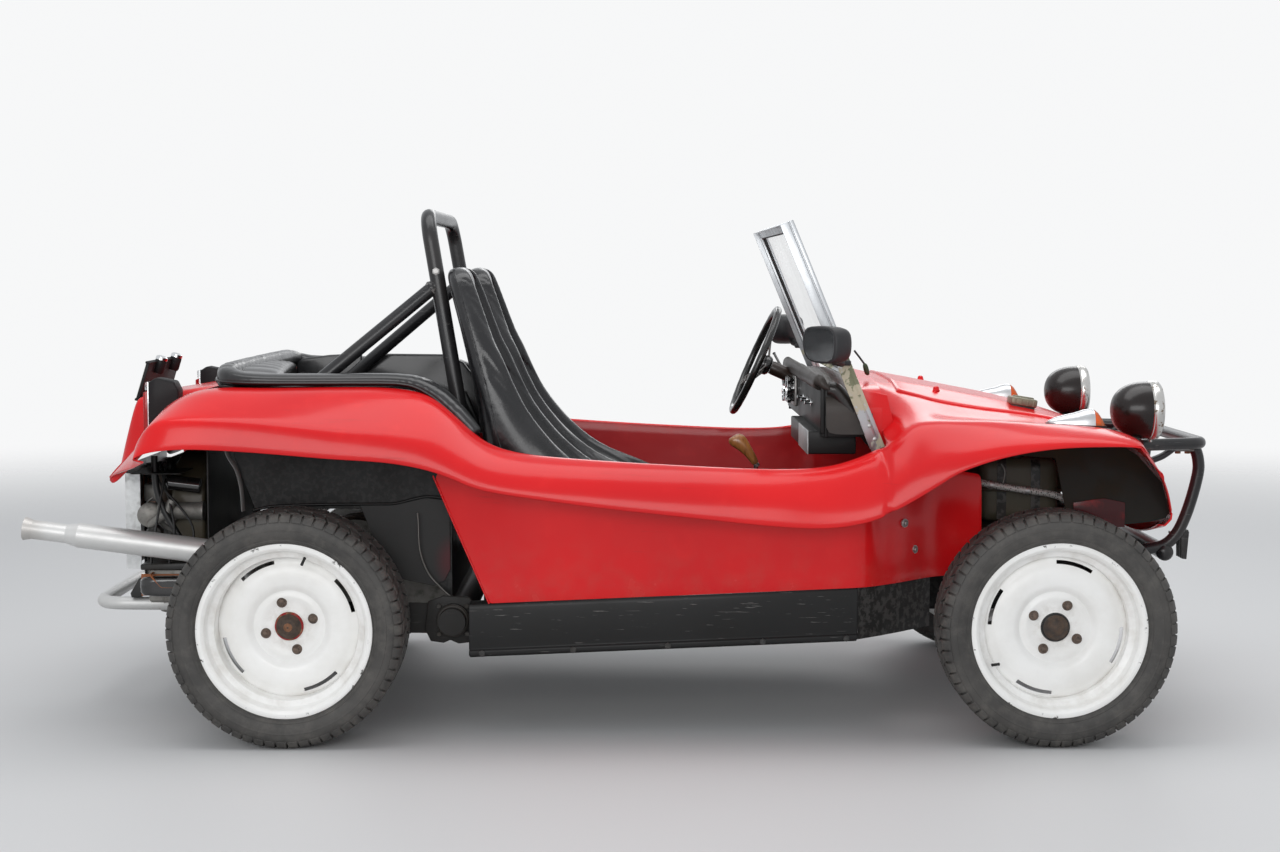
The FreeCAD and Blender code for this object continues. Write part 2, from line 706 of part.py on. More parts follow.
def roll_bar():
    foot = number(FLOOR_TOP + " + seat_gap") + 5
    top = number("hoop_top")
    half = number("hoop_half")
    spread_foot = half + 58
    rear_shift = number(REAR + " + 861")
    lean = math.tan(math.radians(9.6))
    top_x = -525 + rear_shift
    foot_x = top_x + (top - foot) * lean
    hoop = tube("hoop", [(foot_x, -spread_foot, foot), (top_x, -half, top),
                         (top_x, half, top), (foot_x, spread_foot, foot)], "hoop_radius", 75)
    pieces = [hoop]
    for label, side in SIDES:
        start = (top_x + (top - 1200) * lean, side * (half + 9), 1200)
        end = (-862 + rear_shift, side * 466, 894)
        pieces.append(tube("stay_" + label, [start, end], "stay_radius", 1))
        ends = sorted((side * 460, side * 491.7))
        pieces.append(block("stay_foot_" + label, (REAR + " - 40", str(ends[0]), "846"),
                            (REAR + " + 40", str(ends[1]), "906")))
        ends = sorted((side * (spread_foot - 45), side * (spread_foot + 45)))
        pieces.append(block("hoop_foot_" + label,
                            ("%.3f" % (foot_x - 45), str(ends[0]), FLOOR_TOP + " + seat_gap"),
                            ("%.3f" % (foot_x + 45), str(ends[1]), FLOOR_TOP + " + seat_gap + 8")))
    keep(fused("roll_bar", pieces), "roll_bar")


SCREEN_SPOT = ("front_axle - 434.5", "0", "770")
SCREEN_TURN = Rotation(Vector(0, 1, 0), -number("screen_angle"))


def windscreen():
    # drawn upright, then leaned back about its lower front corner
    inner = "screen_half - post_width"
    bars = [
        block("screen_post_left", ("-screen_bar", inner, "0"), ("0", "screen_half", "screen_length")),
        block("screen_post_right", ("-screen_bar", "-screen_half", "0"),
              ("0", "-(%s)" % inner, "screen_length")),
        block("screen_top", ("-screen_bar", "-screen_half", "screen_length - 24"),
              ("0", "screen_half", "screen_length")),
        block("screen_foot", ("-screen_bar", "-screen_half", "216"), ("0", "screen_half", "240")),
    ]
    whole = fused("screen_whole", bars)
    groove = block("screen_groove", ("-(screen_bar + glass_wall) / 2", "-(%s + 8)" % inner, "232"),
                   ("-(screen_bar - glass_wall) / 2", inner + " + 8", "screen_length - 16"))
    frame = cut("windscreen_frame", whole, groove)
    place(frame, SCREEN_SPOT, SCREEN_TURN)
    keep(frame, "windscreen_frame")
    glass = block("pane_sheet",
                  ("-(screen_bar + glass_wall) / 2 + seat_gap", "-(%s + 7.7)" % inner, "232.3"),
                  ("-(screen_bar - glass_wall) / 2 - seat_gap", inner + " + 7.7",
                   "screen_length - 16.3"))
    pane = doc.addObject("Part::Compound", "windscreen_pane")
    pane.Links = [glass]
    place(pane, SCREEN_SPOT, SCREEN_TURN)
    keep(pane, "windscreen_glass")


def mirrors():
    pair = []
    for label, side in SIDES:
        shell = block("mirror_shell_" + label,
                      ("front_axle - 662", str(min(side * 620, side * 770)), "990"),
                      ("front_axle - 590", str(max(side * 620, side * 770)), "1090"))
        ends = sorted((side * 592.3, side * 640))
        foot = block("mirror_foot_" + label, ("front_axle - 600", str(ends[0]), "985"),
                     ("front_axle - 540", str(ends[1]), "1000"))
        pair.append(fused("mirror_" + label, [shell, foot]))
    both = doc.addObject("Part::Compound", "mirrors")
    both.Links = pair
    keep(both, "mirrors")


# ---- lamps and plate ----------------------------------------------------

def front_lamps(nose):
    lamps = []
    stalk_x = number("front_axle + 262")
    foot = rest_on(nose.Shape, stalk_x, number("lamp_half"), 11) + 1.2 * number("seat_gap")
    for label, side in SIDES:
        middle = "%d * lamp_half" % side
        bowl = turned("lamp_bowl_" + label, [
            ("0", "0"), ("0", "22"), ("16", "46"), ("42", "66"), ("78", "lamp_radius - 3"),
            ("80", "lamp_radius"), ("112", "lamp_radius"), ("115", "lamp_radius - 6"), ("115", "0")],
            ("front_axle + 203", middle, "854"), TURNS["forward"])
        stalk = rod("lamp_stalk_" + label, "11", "794 - %.3f" % foot,
                    ("front_axle + 262", middle, "%.3f" % foot))
        lamps.append(fused("headlamp_" + label, [bowl, stalk]))
        ends = sorted((side * spread(555), side * spread(625)))
        lamps.append(block("indicator_" + label, ("front_axle - 6", str(ends[0]), "834"),
                           ("front_axle + 145", str(ends[1]), "868")))
    group = doc.addObject("Part::Compound", "front_lamps")
    group.Links = lamps
    keep(group, "front_lamps")


def rear_lamps():
    pair = []
    for label, side in SIDES:
        # the foot follows the slope of the tail's shoulder
        pair.append(side_plate("rear_lamp_" + label, [
            (REAR + " - 443", "756"), (REAR + " - 439", "759.8"), (REAR + " - 384", "811.8"),
            (REAR + " - 352", "854.4"), (REAR + " - 350", "941"),
            (REAR + " - 420", "941"), (REAR + " - 443", "920")], str(side * 330), "62"))
    group = doc.addObject("Part::Compound", "rear_lamps")
    group.Links = pair
    keep(group, "rear_lamps")


def number_plate():
    plate = side_plate("plate_board", [
        (REAR + " - 496", "868"), (REAR + " - 462", "878"), (REAR + " - 466", "990"),
        (REAR + " - 490", "990")], "0", "500")
    legs = [block("plate_leg_" + label, (REAR + " - 479", str(side * 110 - 12), "813.4"),
                  (REAR + " - 469", str(side * 110 + 12), "885")) for label, side in SIDES]
    keep(fused("number_plate", [plate] + legs), "number_plate")


# ---- wheels -------------------------------------------------------------

def wheel_set(end, axle, track, rim, tread, recess, depth):
    face = "(%s - %s)" % (rim, recess)
    drum = "(%s - disc_wall - seat_gap)" % face
    for label, side in SIDES:
        name = "%s_%s" % (end, label)
        spot = (axle, "%d * %s" % (side, track), "tyre_radius")
        turn = TURNS[label]
        rim_part = turned("rim_" + name, [
            (rim, "rim_radius"), (rim + " - rim_wall", "rim_radius"),
            (rim + " - rim_wall", "bead_radius"), (rim + " - 30", "bead_radius"),
            (rim + " - 45", "well_radius"), ("45 - " + rim, "well_radius"),
            ("30 - " + rim, "bead_radius"), ("rim_wall - " + rim, "bead_radius"),
            ("rim_wall - " + rim, "rim_radius"), ("-" + rim, "rim_radius"),
            ("-" + rim, "bead_radius - rim_wall"), ("31 - " + rim, "bead_radius - rim_wall"),
            ("46 - " + rim, "well_radius - rim_wall"), (rim + " - 46", "well_radius - rim_wall"),
            (rim + " - 31", "bead_radius - rim_wall"), (rim, "bead_radius - rim_wall")],
            spot, turn)
        disc = turned("disc_" + name, [
            (face + " + 2", "well_radius - 2"), (face + " + 6", "well_radius - 18"),
            (face + " + disc_crown", "disc_step_radius + 55"),
            (face + " + disc_crown", "disc_step_radius + 12"), (face, "disc_step_radius"),
            (face, "disc_bore_radius"), (face + " - disc_wall", "disc_bore_radius"),
            (face + " - disc_wall", "disc_step_radius"),
            (face + " + disc_crown - disc_wall", "disc_step_radius + 12"),
            (face + " + disc_crown - disc_wall", "disc_step_radius + 55"),
            (face + " + 1", "well_radius - 18"), (face + " - 3", "well_radius - 2")],
            spot, turn)
        keep(fused("wheel_" + name, [rim_part, disc]), "wheel_" + name)
        bead = "(%s - rim_wall - seat_gap)" % rim
        keep(turned("tyre_" + name, [
            (bead, "bead_radius + seat_gap"), (bead, "rim_radius + 3"),
            (tread + " - 3", "rim_radius + 14"), (tread, "rim_radius + 34"),
            (tread + " - 8", "tyre_radius - 17"), (tread + " - 26", "tyre_radius"),
            ("26 - " + tread, "tyre_radius"), ("8 - " + tread, "tyre_radius - 17"),
            ("-" + tread, "rim_radius + 34"), ("3 - " + tread, "rim_radius + 14"),
            ("-" + bead, "rim_radius + 3"), ("-" + bead, "bead_radius + seat_gap"),
            ("14 - " + bead, "bead_radius + seat_gap"), ("tyre_wall - " + tread, "rim_radius + 30"),
            ("22 - " + tread, "tyre_radius - 15"), (tread + " - 22", "tyre_radius - 15"),
            (tread + " - tyre_wall", "rim_radius + 30"), (bead + " - 14", "bead_radius + seat_gap")],
            spot, turn), "tyre_" + name)
        bore = "spindle_radius + running_gap"
        keep(turned("drum_" + name, [
            (drum + " + 36", "0"), (drum + " + 31", "20"), (drum + " + 20", "hub_boss_radius - 3"),
            (drum + " + 18", "hub_boss_radius"), (drum, "hub_boss_radius"), (drum, "drum_radius"),
            ("%s - %s" % (drum, depth), "drum_radius"), ("%s - %s" % (drum, depth), "drum_radius - 8"),
            (drum + " - 8", "drum_radius - 8"), (drum + " - 8", "42"), (drum + " - 34", "36"),
            (drum + " - 34", bore), (drum + " + 15", bore), (drum + " + 15", "0")],
            spot, turn), "drum_" + name)


# ---- front running gear -------------------------------------------------

def spindle_end(track, rim, recess):
    return "%s + (%s - %s) - disc_wall - seat_gap + 13" % (track, rim, recess)


ACROSS = {1: Rotation(Vector(1, 0, 0), -90), -1: Rotation(Vector(1, 0, 0), 90)}


def knuckles():
    end = spindle_end("front_track_half", "front_rim_half", "front_recess")
    for label, side in SIDES:
        pin_y = "%d * kingpin_half" % side
        barrel = rod("barrel_" + label, "knuckle_radius", "2 * knuckle_half",
                     ("front_axle", pin_y, "tyre_radius - knuckle_half"))
        pin = rod("kingpin_" + label, "kingpin_radius", "2 * (knuckle_half + eye_height)",
                  ("front_axle", pin_y, "tyre_radius - knuckle_half - eye_height"))
        spindle = rod("spindle_" + label, "spindle_radius", "%s - kingpin_half" % end,
                      ("front_axle", pin_y, "tyre_radius"), ACROSS[side])
        plate = rod("back_plate_" + label, "back_plate_radius", "plate_wall",
                    ("front_axle", "%d * (kingpin_half + 28)" % side, "tyre_radius"), ACROSS[side])
        arm_ends = sorted((side * 560, side * 584))
        arm = block("steering_arm_" + label, ("front_axle - 120", str(arm_ends[0]), "tyre_radius - 46"),
                    ("front_axle - 6", str(arm_ends[1]), "tyre_radius - 32"))
        keep(fused("knuckle_" + label, [barrel, pin, spindle, plate, arm]), "knuckle_" + label)


def front_axle():
    beam_x = "front_axle + beam_reach"
    pieces = []
    holes = []
    for level, lift in (("upper", 1), ("lower", -1)):
        height = "tyre_radius + %d * %s" % (lift, BEAM_SPACING)
        pieces.append(rod("beam_" + level, "beam_radius", "2 * beam_half",
                          (beam_x, "beam_half", height), ACROSS[-1]))
        for label, side in SIDES:
            name = "%s_%s" % (level, label)
            low_z = "%s - eye_height / 2 + 1" % height
            pieces.append(rod("eye_" + name, "eye_radius", "eye_height - 2",
                              ("front_axle", "%d * kingpin_half" % side, low_z)))
            holes.append(rod("eye_bore_" + name, "kingpin_radius + running_gap", "eye_height + 20",
                             ("front_axle", "%d * kingpin_half" % side, low_z + " - 8")))
            body = doc.addObject("PartDesign::Body", "arm_" + name)
            sketch = sketched(body, "XY_Plane", [
                (beam_x + " + 20", "%d * (beam_half - 6)" % side),
                (beam_x + " + 20", "%d * (beam_half + 28)" % side),
                ("front_axle + 14", "%d * (kingpin_half + 4)" % side),
                ("front_axle + 4", "%d * (kingpin_half - 18)" % side),
                (beam_x + " - 24", "%d * (beam_half - 6)" % side)])
            pad = body.newObject("PartDesign::Pad", "arm_pad_" + name)
            pad.Profile = sketch
            pad.Midplane = True
            bind(pad, "Length", "arm_height")
            place(body, ("0", "0", height))
            pieces.append(body)
    for label, side in SIDES:
        ends = sorted((side * 392, side * 424))
        pieces.append(block("shock_tower_" + label,
                            (beam_x + " - 22", str(ends[0]), "tyre_radius - 70"),
                            (beam_x + " + 22", str(ends[1]), "510")))
        pieces.append(rod("shock_" + label, "20", "180",
                          (beam_x + " - 4", str(side * 446), "tyre_radius + 20"),))
        ends = sorted((side * 424, side * 450))
        pieces.append(block("shock_eye_" + label, (beam_x + " - 14", str(ends[0]), "486"),
                            (beam_x + " + 8", str(ends[1]), "500")))
    whole = fused("front_axle_whole", pieces)
    bores = doc.addObject("Part::Compound", "eye_bores")
    bores.Links = holes
    keep(cut("front_axle_beam", whole, bores), "front_axle_beam")


def fuel_tank():
    tank = block("tank_box", ("front_axle - 139", "-300", "530.3"), ("front_axle + 101", "300", "712"))
    cap = rod("filler_cap", "38", "26", ("front_axle + 5", str(-spread(200)), "858"),
              Rotation(Vector(0, 1, 0), 15))
    group = doc.addObject("Part::Compound", "fuel_tank")
    group.Links = [tank, cap]
    keep(group, "fuel_tank")


# ---- rear running gear and engine --------------------------------------

def torsion_tube():
    height = TORSION_HEIGHT
    tube_x = REAR + " + rear_arm_reach"
    pieces = [rod("torsion_core", "torsion_radius", "2 * torsion_half",
                  (tube_x, "torsion_half", height), ACROSS[-1])]
    for label, side in SIDES:
        pieces.append(rod("torsion_cover_" + label, "36", "26",
                          (tube_x, "%d * torsion_half" % side, height), ACROSS[side]))
        pieces.append(side_plate("spring_plate_" + label, [
            (tube_x + " + 40", height + " - 40"), (tube_x + " + 40", height + " + 40"),
            (REAR + " + 30", "tyre_radius + 42"), (REAR + " - 46", "tyre_radius + 30"),
            (REAR + " - 46", "tyre_radius - 30"), (REAR + " + 30", "tyre_radius - 42")],
            "%d * 534" % side, "8"))
    keep(fused("torsion_tube", pieces), "torsion_tube")


def gearbox():
    end = spindle_end("rear_track_half", "rear_rim_half", "rear_recess")
    case = block("gearbox_case", (REAR + " - 150", "-110", "tyre_radius - 90"),
                 (REAR + " + 180", "110", "tyre_radius + 100"))
    nose = block("gearbox_nose", (REAR + " + 180", "-70", "tyre_radius - 60"),
                 (REAR + " + rear_arm_reach - torsion_radius - 0.3", "70", "tyre_radius + 60"))
    pieces = [case, nose]
    for label, side in SIDES:
        pieces.append(rod("axle_tube_" + label, "36", "429",
                          (REAR, "%d * 100" % side, "tyre_radius"), ACROSS[side]))
        pieces.append(rod("axle_bearing_" + label, "60", "22",
                          (REAR, "%d * 538.3" % side, "tyre_radius"), ACROSS[side]))
        pieces.append(rod("rear_plate_" + label, "back_plate_radius", "plate_wall",
                          (REAR, "%d * 560.3" % side, "tyre_radius"), ACROSS[side]))
        pieces.append(rod("rear_spindle_" + label, "spindle_radius", "%s - 560" % end,
                          (REAR, "%d * 560" % side, "tyre_radius"), ACROSS[side]))
    keep(fused("gearbox", pieces), "gearbox")


def engine():
    rear = REAR + " - 470"
    front = REAR + " - 150.3"
    case = block("engine_case", (rear, "-150", "tyre_radius - 60"), (front, "150", "tyre_radius + 160"))
    pieces = [case]
    for label, side in SIDES:
        ends = sorted((side * 140, side * 385))
        pieces.append(block("cylinders_" + label, (REAR + " - 440", str(ends[0]), "tyre_radius + 10"),
                            (REAR + " - 200", str(ends[1]), "tyre_radius + 112")))
        ends = sorted((side * 384, side * 430))
        pieces.append(block("rocker_cover_" + label,
                            (REAR + " - 458", str(ends[0]), "tyre_radius + 32"),
                            (REAR + " - 210", str(ends[1]), "tyre_radius + 92")))
    keep(fused("engine_block", pieces), "engine_block")


def engine_top():
    low = "tyre_radius + 160.3"
    shroud = side_plate("shroud_box", [
        (REAR + " - 397", low), (REAR + " - 302", low), (REAR + " - 302", "700"),
        (REAR + " - 330", "724"), (REAR + " - 372", "724"), (REAR + " - 397", "700")],
        "0", "560")
    generator = rod("generator", "52", "116", (REAR + " - 396", "0", "600"),
                    Rotation(Vector(0, 1, 0), -90))
    pulley = rod("generator_pulley", "70", "20", (REAR + " - 510", "0", "600"),
                 Rotation(Vector(0, 1, 0), -90))
    stand = block("generator_stand", (REAR + " - 455", "-30", low), (REAR + " - 398", "30", "560"))
    crank = rod("crank_disc", "85", "22", (REAR + " - 500", "0", "tyre_radius + 70"),
                Rotation(Vector(0, 1, 0), -90))
    keep(fused("fan_shroud", [shroud, generator, pulley, stand]), "fan_shroud")
    carb = block("carburettor_body", (REAR + " - 500", "-190", "560"), (REAR + " - 398", "-110", "668"))
    cleaner = rod("air_cleaner", "50", "50", (REAR + " - 450", "-150", "640"))
    pipe = block("inlet_pipe", (REAR + " - 460", "-165", "tyre_radius + 160.3"),
                 (REAR + " - 430", "-135", "570"))
    keep(fused("carburettor", [carb, cleaner, pipe]), "carburettor")
    keep(fused("crank_pulley_group", [crank, rod("crank_nose", "20", "32", (REAR + " - 470.3", "0",
                                                                     "tyre_radius + 70"),
                                          Rotation(Vector(0, 1, 0), -90))]), "crank_pulley")


def exhaust():
    across = "-452"
    spot = (REAR + " - 260", across, "tyre_radius + 164")
    turn = Rotation(Vector(0, 0, 1), Vector(-350, 0, 45))
    can = rod("exhaust_can", "34", "352", spot, turn)
    end = Vector(-350, 0, 45).normalize()

    def back(reach):
        return (REAR + " - 260 + %.4f" % (end.x * reach), across,
                "tyre_radius + 164 + %.4f" % (end.z * reach))

    cone = doc.addObject("Part::Cone", "exhaust_cone")
    cone.Radius1, cone.Radius2, cone.Height = 34, 26, 34
    place(cone, back(351), turn)
    tip = rod("exhaust_tip", "26", "100", back(384), turn)
    flare = doc.addObject("Part::Cone", "exhaust_flare")
    flare.Radius1, flare.Radius2, flare.Height = 26, 32, 22
    place(flare, back(478), turn)
    mouth = rod("exhaust_mouth", "23", "160", back(400), turn)
    header = tube("exhaust_header", [
        tuple(number(part) for part in spot) for spot in (
            (REAR + " - 275", across, "tyre_radius + 166"),
            (REAR + " - 172", across, "tyre_radius + 151"),
            (REAR + " - 145", "-405", "tyre_radius + 81"),
            (REAR + " - 145", "-345", "tyre_radius + 59"),
            (REAR + " - 199.7", "-345", "tyre_radius + 59"))
    ], "19", 24)
    whole = fused("exhaust_whole", [can, cone, tip, flare, header])
    keep(cut("exhaust", whole, mouth), "exhaust")


def engine_guard():
    rear = REAR + " - 533"
    plate = block("guard_plate", (rear, "-248", "393"), (rear + " + 3", "248", "687.7"))
    pieces = [plate]
    for label, side in SIDES:
        ends = sorted((side * 245, side * 248))
        pieces.append(block("guard_side_" + label, (rear, str(ends[0]), "393"),
                            (rear + " + 42", str(ends[1]), "665")))
    keep(fused("engine_guard", pieces), "engine_guard")


# ---- bumpers ------------------------------------------------------------

def front_bumper():
    shift = number("front_axle") - 1139
    end = spread(400)
    bend = spread(340)
    upper = tube("bumper_upper", [
        (1429.6 + shift, -end, 757), (1618 + shift, -bend, 757),
        (1618 + shift, bend, 757), (1429.6 + shift, end, 757)], "bumper_radius", 60)
    beam = Vector(number("front_axle + beam_reach"), 0, number("tyre_radius + " + BEAM_SPACING))
    toward = Vector(1420 + shift - beam.x, 0, 450 - beam.z).normalize()
    seat = beam + toward * number("beam_radius + seat_gap")
    pieces = [upper]
    for label, side in SIDES:
        pieces.append(tube("bumper_hoop_" + label, [
            (1608 + shift, side * 290, 752), (1624 + shift, side * 290, 690),
            (1580 + shift, side * 290, 520), (1540 + shift, side * 290, 462),
            (1420 + shift, side * 290, 450), (seat.x, side * 290, seat.z)], "bumper_radius", 40))
    lower = rod("bumper_lower", "22", "600", ("front_axle + 391", "300", "446"), ACROSS[-1])
    pieces.append(lower)
    keep(fused("front_bumper", pieces), "front_bumper")


def rear_bumper():
    shift = number(REAR) + 861
    seat = number("tyre_radius + 10 - (bumper_radius + 1) - seat_gap")
    keep(tube("rear_bumper", [
        (-1120 + shift, -280, seat), (-1520 + shift, -262, seat),
        (-1520 + shift, 262, seat), (-1120 + shift, 280, seat)],
        "bumper_radius + 1", 70), "rear_bumper")


# ---- the whole car ------------------------------------------------------

def build():
    nose = front_moulding()
    bonnet()
    scuttle()
    body_sides()
    side_panels()
    tail_panel()
    floor_pan()
    sills()
    outriggers()
    rear_tub()
    seats()
    rear_bench()
    rear_padding()
    dashboard()
    steering_wheel()
    steering_column()
    controls()
    roll_bar()
    windscreen()
    mirrors()
    front_lamps(nose)
    rear_lamps()
    number_plate()
    wheel_set("front", "front_axle", "front_track_half", "front_rim_half", "front_tyre_half",
              "front_recess", "front_drum_depth")
    wheel_set("rear", REAR, "rear_track_half", "rear_rim_half", "rear_tyre_half",
              "rear_recess", "rear_drum_depth")
    knuckles()
    front_axle()
    fuel_tank()
    torsion_tube()
    gearbox()
    engine()
    engine_top()
    exhaust()
    engine_guard()
    front_bumper()
    rear_bumper()


def write():
    doc.recompute()
    for thing in doc.Objects:
        if "Invalid" in thing.State or "Error" in thing.State:
            raise RuntimeError("%s failed: %s" % (thing.Name, thing.State))
    for thing in kept:
        if thing.Shape.isNull() or not thing.Shape.isValid():
            raise RuntimeError("%s has no valid shape" % thing.Label)
    os.makedirs("parts", exist_ok=True)
    for thing in kept:
        thing.Shape.exportStep("parts/%s.step" % thing.Label)
        print("%-22s %d solids %12.0f mm3" % (thing.Label, len(thing.Shape.Solids),
                                              thing.Shape.Volume))


build()
write()
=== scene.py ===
import bpy, bmesh, math, random, re
from mathutils import Matrix, Vector
from mathutils.bvhtree import BVHTree
from mathutils.kdtree import KDTree


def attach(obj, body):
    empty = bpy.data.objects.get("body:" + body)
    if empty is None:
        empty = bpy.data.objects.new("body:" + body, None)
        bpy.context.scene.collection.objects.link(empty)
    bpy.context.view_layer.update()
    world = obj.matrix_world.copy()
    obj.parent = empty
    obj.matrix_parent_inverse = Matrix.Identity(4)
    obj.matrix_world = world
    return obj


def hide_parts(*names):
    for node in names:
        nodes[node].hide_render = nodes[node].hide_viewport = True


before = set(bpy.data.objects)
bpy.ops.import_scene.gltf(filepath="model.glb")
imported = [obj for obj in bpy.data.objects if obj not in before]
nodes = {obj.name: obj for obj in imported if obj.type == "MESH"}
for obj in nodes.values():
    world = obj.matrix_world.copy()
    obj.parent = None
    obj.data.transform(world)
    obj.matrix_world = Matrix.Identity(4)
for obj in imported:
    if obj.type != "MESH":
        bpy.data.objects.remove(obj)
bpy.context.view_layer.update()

# red open dune buggy on a shortened floorpan; metres, X forward, Y to the car's left, Z up

scene = bpy.context.scene
scene.view_settings.view_transform = "Standard"
sides = (("left", 1), ("right", -1))


# camera

viewpoint = {"place": (0.04, -5.85, 1.232), "lookDown": 4.43, "turn": 0.18, "lens": 56.13}

lensData = bpy.data.cameras.new("viewLens")
lensData.lens = viewpoint["lens"]
lensData.sensor_width = 36
viewer = bpy.data.objects.new("viewer", lensData)
scene.collection.objects.link(viewer)
viewer.location = viewpoint["place"]
viewer.rotation_euler = (math.radians(90 - viewpoint["lookDown"]), 0, math.radians(-viewpoint["turn"]))
scene.camera = viewer
print("camera placed")


# shader maths

class Wire:
    def __init__(self, tree, socket):
        self.tree, self.socket = tree, socket

    def maths(self, operation, *others, clamp=False):
        node = self.tree.nodes.new("ShaderNodeMath")
        node.operation, node.use_clamp = operation, clamp
        for index, value in enumerate((self,) + others):
            plug(self.tree, node.inputs[index], value)
        return Wire(self.tree, node.outputs[0])

    def __add__(self, other): return self.maths("ADD", other)
    def __mul__(self, other): return self.maths("MULTIPLY", other)
    def __sub__(self, other): return self.maths("SUBTRACT", other)
    def __rsub__(self, other): return self.maths("MULTIPLY_ADD", -1.0, other)
    def __truediv__(self, other): return self.maths("DIVIDE", other)
    def __gt__(self, other): return self.maths("GREATER_THAN", other)
    def __lt__(self, other): return self.maths("LESS_THAN", other)
    def __pow__(self, other): return self.maths("POWER", other)
    __radd__, __rmul__ = __add__, __mul__

    def clamp(self): return self.maths("ADD", 0.0, clamp=True)

    def step(self, low, high):  # 0 below low, 1 above high, smooth between
        node = self.tree.nodes.new("ShaderNodeMapRange")
        node.interpolation_type = "SMOOTHSTEP"
        plug(self.tree, node.inputs[0], self)
        node.inputs[1].default_value, node.inputs[2].default_value = low, high
        return Wire(self.tree, node.outputs[0])


def plug(tree, socket, value):
    if isinstance(value, Wire):
        tree.links.new(value.socket, socket)
    elif socket.type == "RGBA" and len(value) == 3:
        socket.default_value = (*value, 1)
    else:
        socket.default_value = value


class Finish:
    def __init__(self, name, **sockets):
        self.material = bpy.data.materials.new(name)
        self.material.use_nodes = True
        self.tree = self.material.node_tree
        self.shader = self.tree.nodes["Principled BSDF"]
        self.spots = {}
        self.set(**sockets)

    def set(self, **sockets):
        for name, value in sockets.items():
            label = re.sub("(?<=[a-z])(?=[A-Z])|(?<=[A-Z])(?=[A-Z][a-z])", " ", name)
            plug(self.tree, self.shader.inputs[label], value)
        return self

    def node(self, kind, settings=None, sockets=None, output=0):
        made = self.tree.nodes.new(kind)
        for name, value in (settings or {}).items():
            if name == "stops":
                ramp = made.color_ramp
                while len(ramp.elements) < len(value):
                    ramp.elements.new(0.5)
                for element, (spot, shade) in zip(ramp.elements, value):
                    element.position = spot
                    element.color = (*shade, 1) if isinstance(shade, tuple) else (shade,) * 3 + (1,)
            else:
                setattr(made, name, value)
        for name, value in (sockets or {}).items():
            plug(self.tree, made.inputs[name], value)
        return Wire(self.tree, made.outputs[output])

    def place(self, middle=(0, 0, 0), stretch=(1, 1, 1)):
        key = (tuple(middle), tuple(stretch))
        if key not in self.spots:
            spot = self.node("ShaderNodeTexCoord", output=3)
            if key != ((0, 0, 0), (1, 1, 1)):
                shift = [-stretch[i] * middle[i] for i in range(3)]
                spot = self.node("ShaderNodeMapping", None,
                                 {"Vector": spot, "Location": shift, "Scale": stretch})
            self.spots[key] = spot
        return self.spots[key]

    def noise(self, scale, detail=3.0, rough=0.55, spot=None, warp=0.0):
        return self.node("ShaderNodeTexNoise", None, {
            "Vector": spot or self.place(), "Scale": scale, "Detail": detail,
            "Roughness": rough, "Distortion": warp})

    def cells(self, scale, feature="F1", spot=None, output=0):
        return self.node("ShaderNodeTexVoronoi", {"feature": feature},
                         {"Vector": spot or self.place(), "Scale": scale}, output)

    def axis(self, which, spot=None):
        return self.node("ShaderNodeSeparateXYZ", None, {0: spot or self.place()}, which)

    def mix(self, mask, under, over):
        return self.node("ShaderNodeMix", {"data_type": "RGBA"}, {0: mask, 6: under, 7: over}, 2)

    def bump(self, height, strength=0.3, depth=0.001, normal=None):
        sockets = {"Height": height, "Strength": strength, "Distance": depth}
        if normal:
            sockets["Normal"] = normal
        return self.node("ShaderNodeBump", None, sockets)

    def edges(self, low=0.52, high=0.6):  # high on outward corners
        return self.node("ShaderNodeNewGeometry", output=7).step(low, high)


# mesh makers

def linked(name, mesh, material=None):
    thing = bpy.data.objects.new(name, mesh)
    scene.collection.objects.link(thing)
    if material:
        mesh.materials.clear()
        mesh.materials.append(material)
    return thing


def meshOf(name, points, faces, material, smooth=40):
    mesh = bpy.data.meshes.new(name)
    mesh.from_pydata([tuple(point) for point in points], [], faces)
    mesh.validate()
    thing = linked(name, mesh, material)
    tidy(thing, smooth)
    return thing


def allSmooth(thing):
    for face in thing.data.polygons:
        face.use_smooth = True
    return thing


def creased(thing, angle):
    thing.data.set_sharp_from_angle(angle=math.radians(angle))
    return thing


def tidy(thing, smooth=40, merge=1e-6):
    shape = bmesh.new()
    shape.from_mesh(thing.data)
    bmesh.ops.remove_doubles(shape, verts=shape.verts, dist=merge)
    bmesh.ops.recalc_face_normals(shape, faces=shape.faces)
    for face in shape.faces:
        face.smooth = smooth > 0
    shape.to_mesh(thing.data)
    shape.free()
    if smooth and smooth < 180:
        creased(thing, smooth)


def applied(thing, *changes):
    for kind, settings in changes:
        change = thing.modifiers.new(kind.lower(), kind)
        for name, value in settings.items():
            setattr(change, name, value)
    graph = bpy.context.evaluated_depsgraph_get()
    mesh = bpy.data.meshes.new_from_object(thing.evaluated_get(graph))
    thing.modifiers.clear()
    thing.data = mesh
    return thing


def rounded(width, segments=3, angle=35):
    return ("BEVEL", {"width": width, "segments": segments, "limit_method": "ANGLE",
                      "angle_limit": math.radians(angle), "harden_normals": False})


def smoother(levels=1):
    return ("SUBSURF", {"levels": levels, "render_levels": levels})


def block(name, low, high, material, edge=0.003, segments=3):
    points = [(x, y, z) for x in (low[0], high[0]) for y in (low[1], high[1]) for z in (low[2], high[2])]
    faces = [(0, 1, 3, 2), (4, 6, 7, 5), (0, 4, 5, 1), (2, 3, 7, 6), (0, 2, 6, 4), (1, 5, 7, 3)]
    thing = meshOf(name, points, faces, material)
    if edge:
        applied(thing, rounded(edge, segments))
        tidy(thing)
    return thing


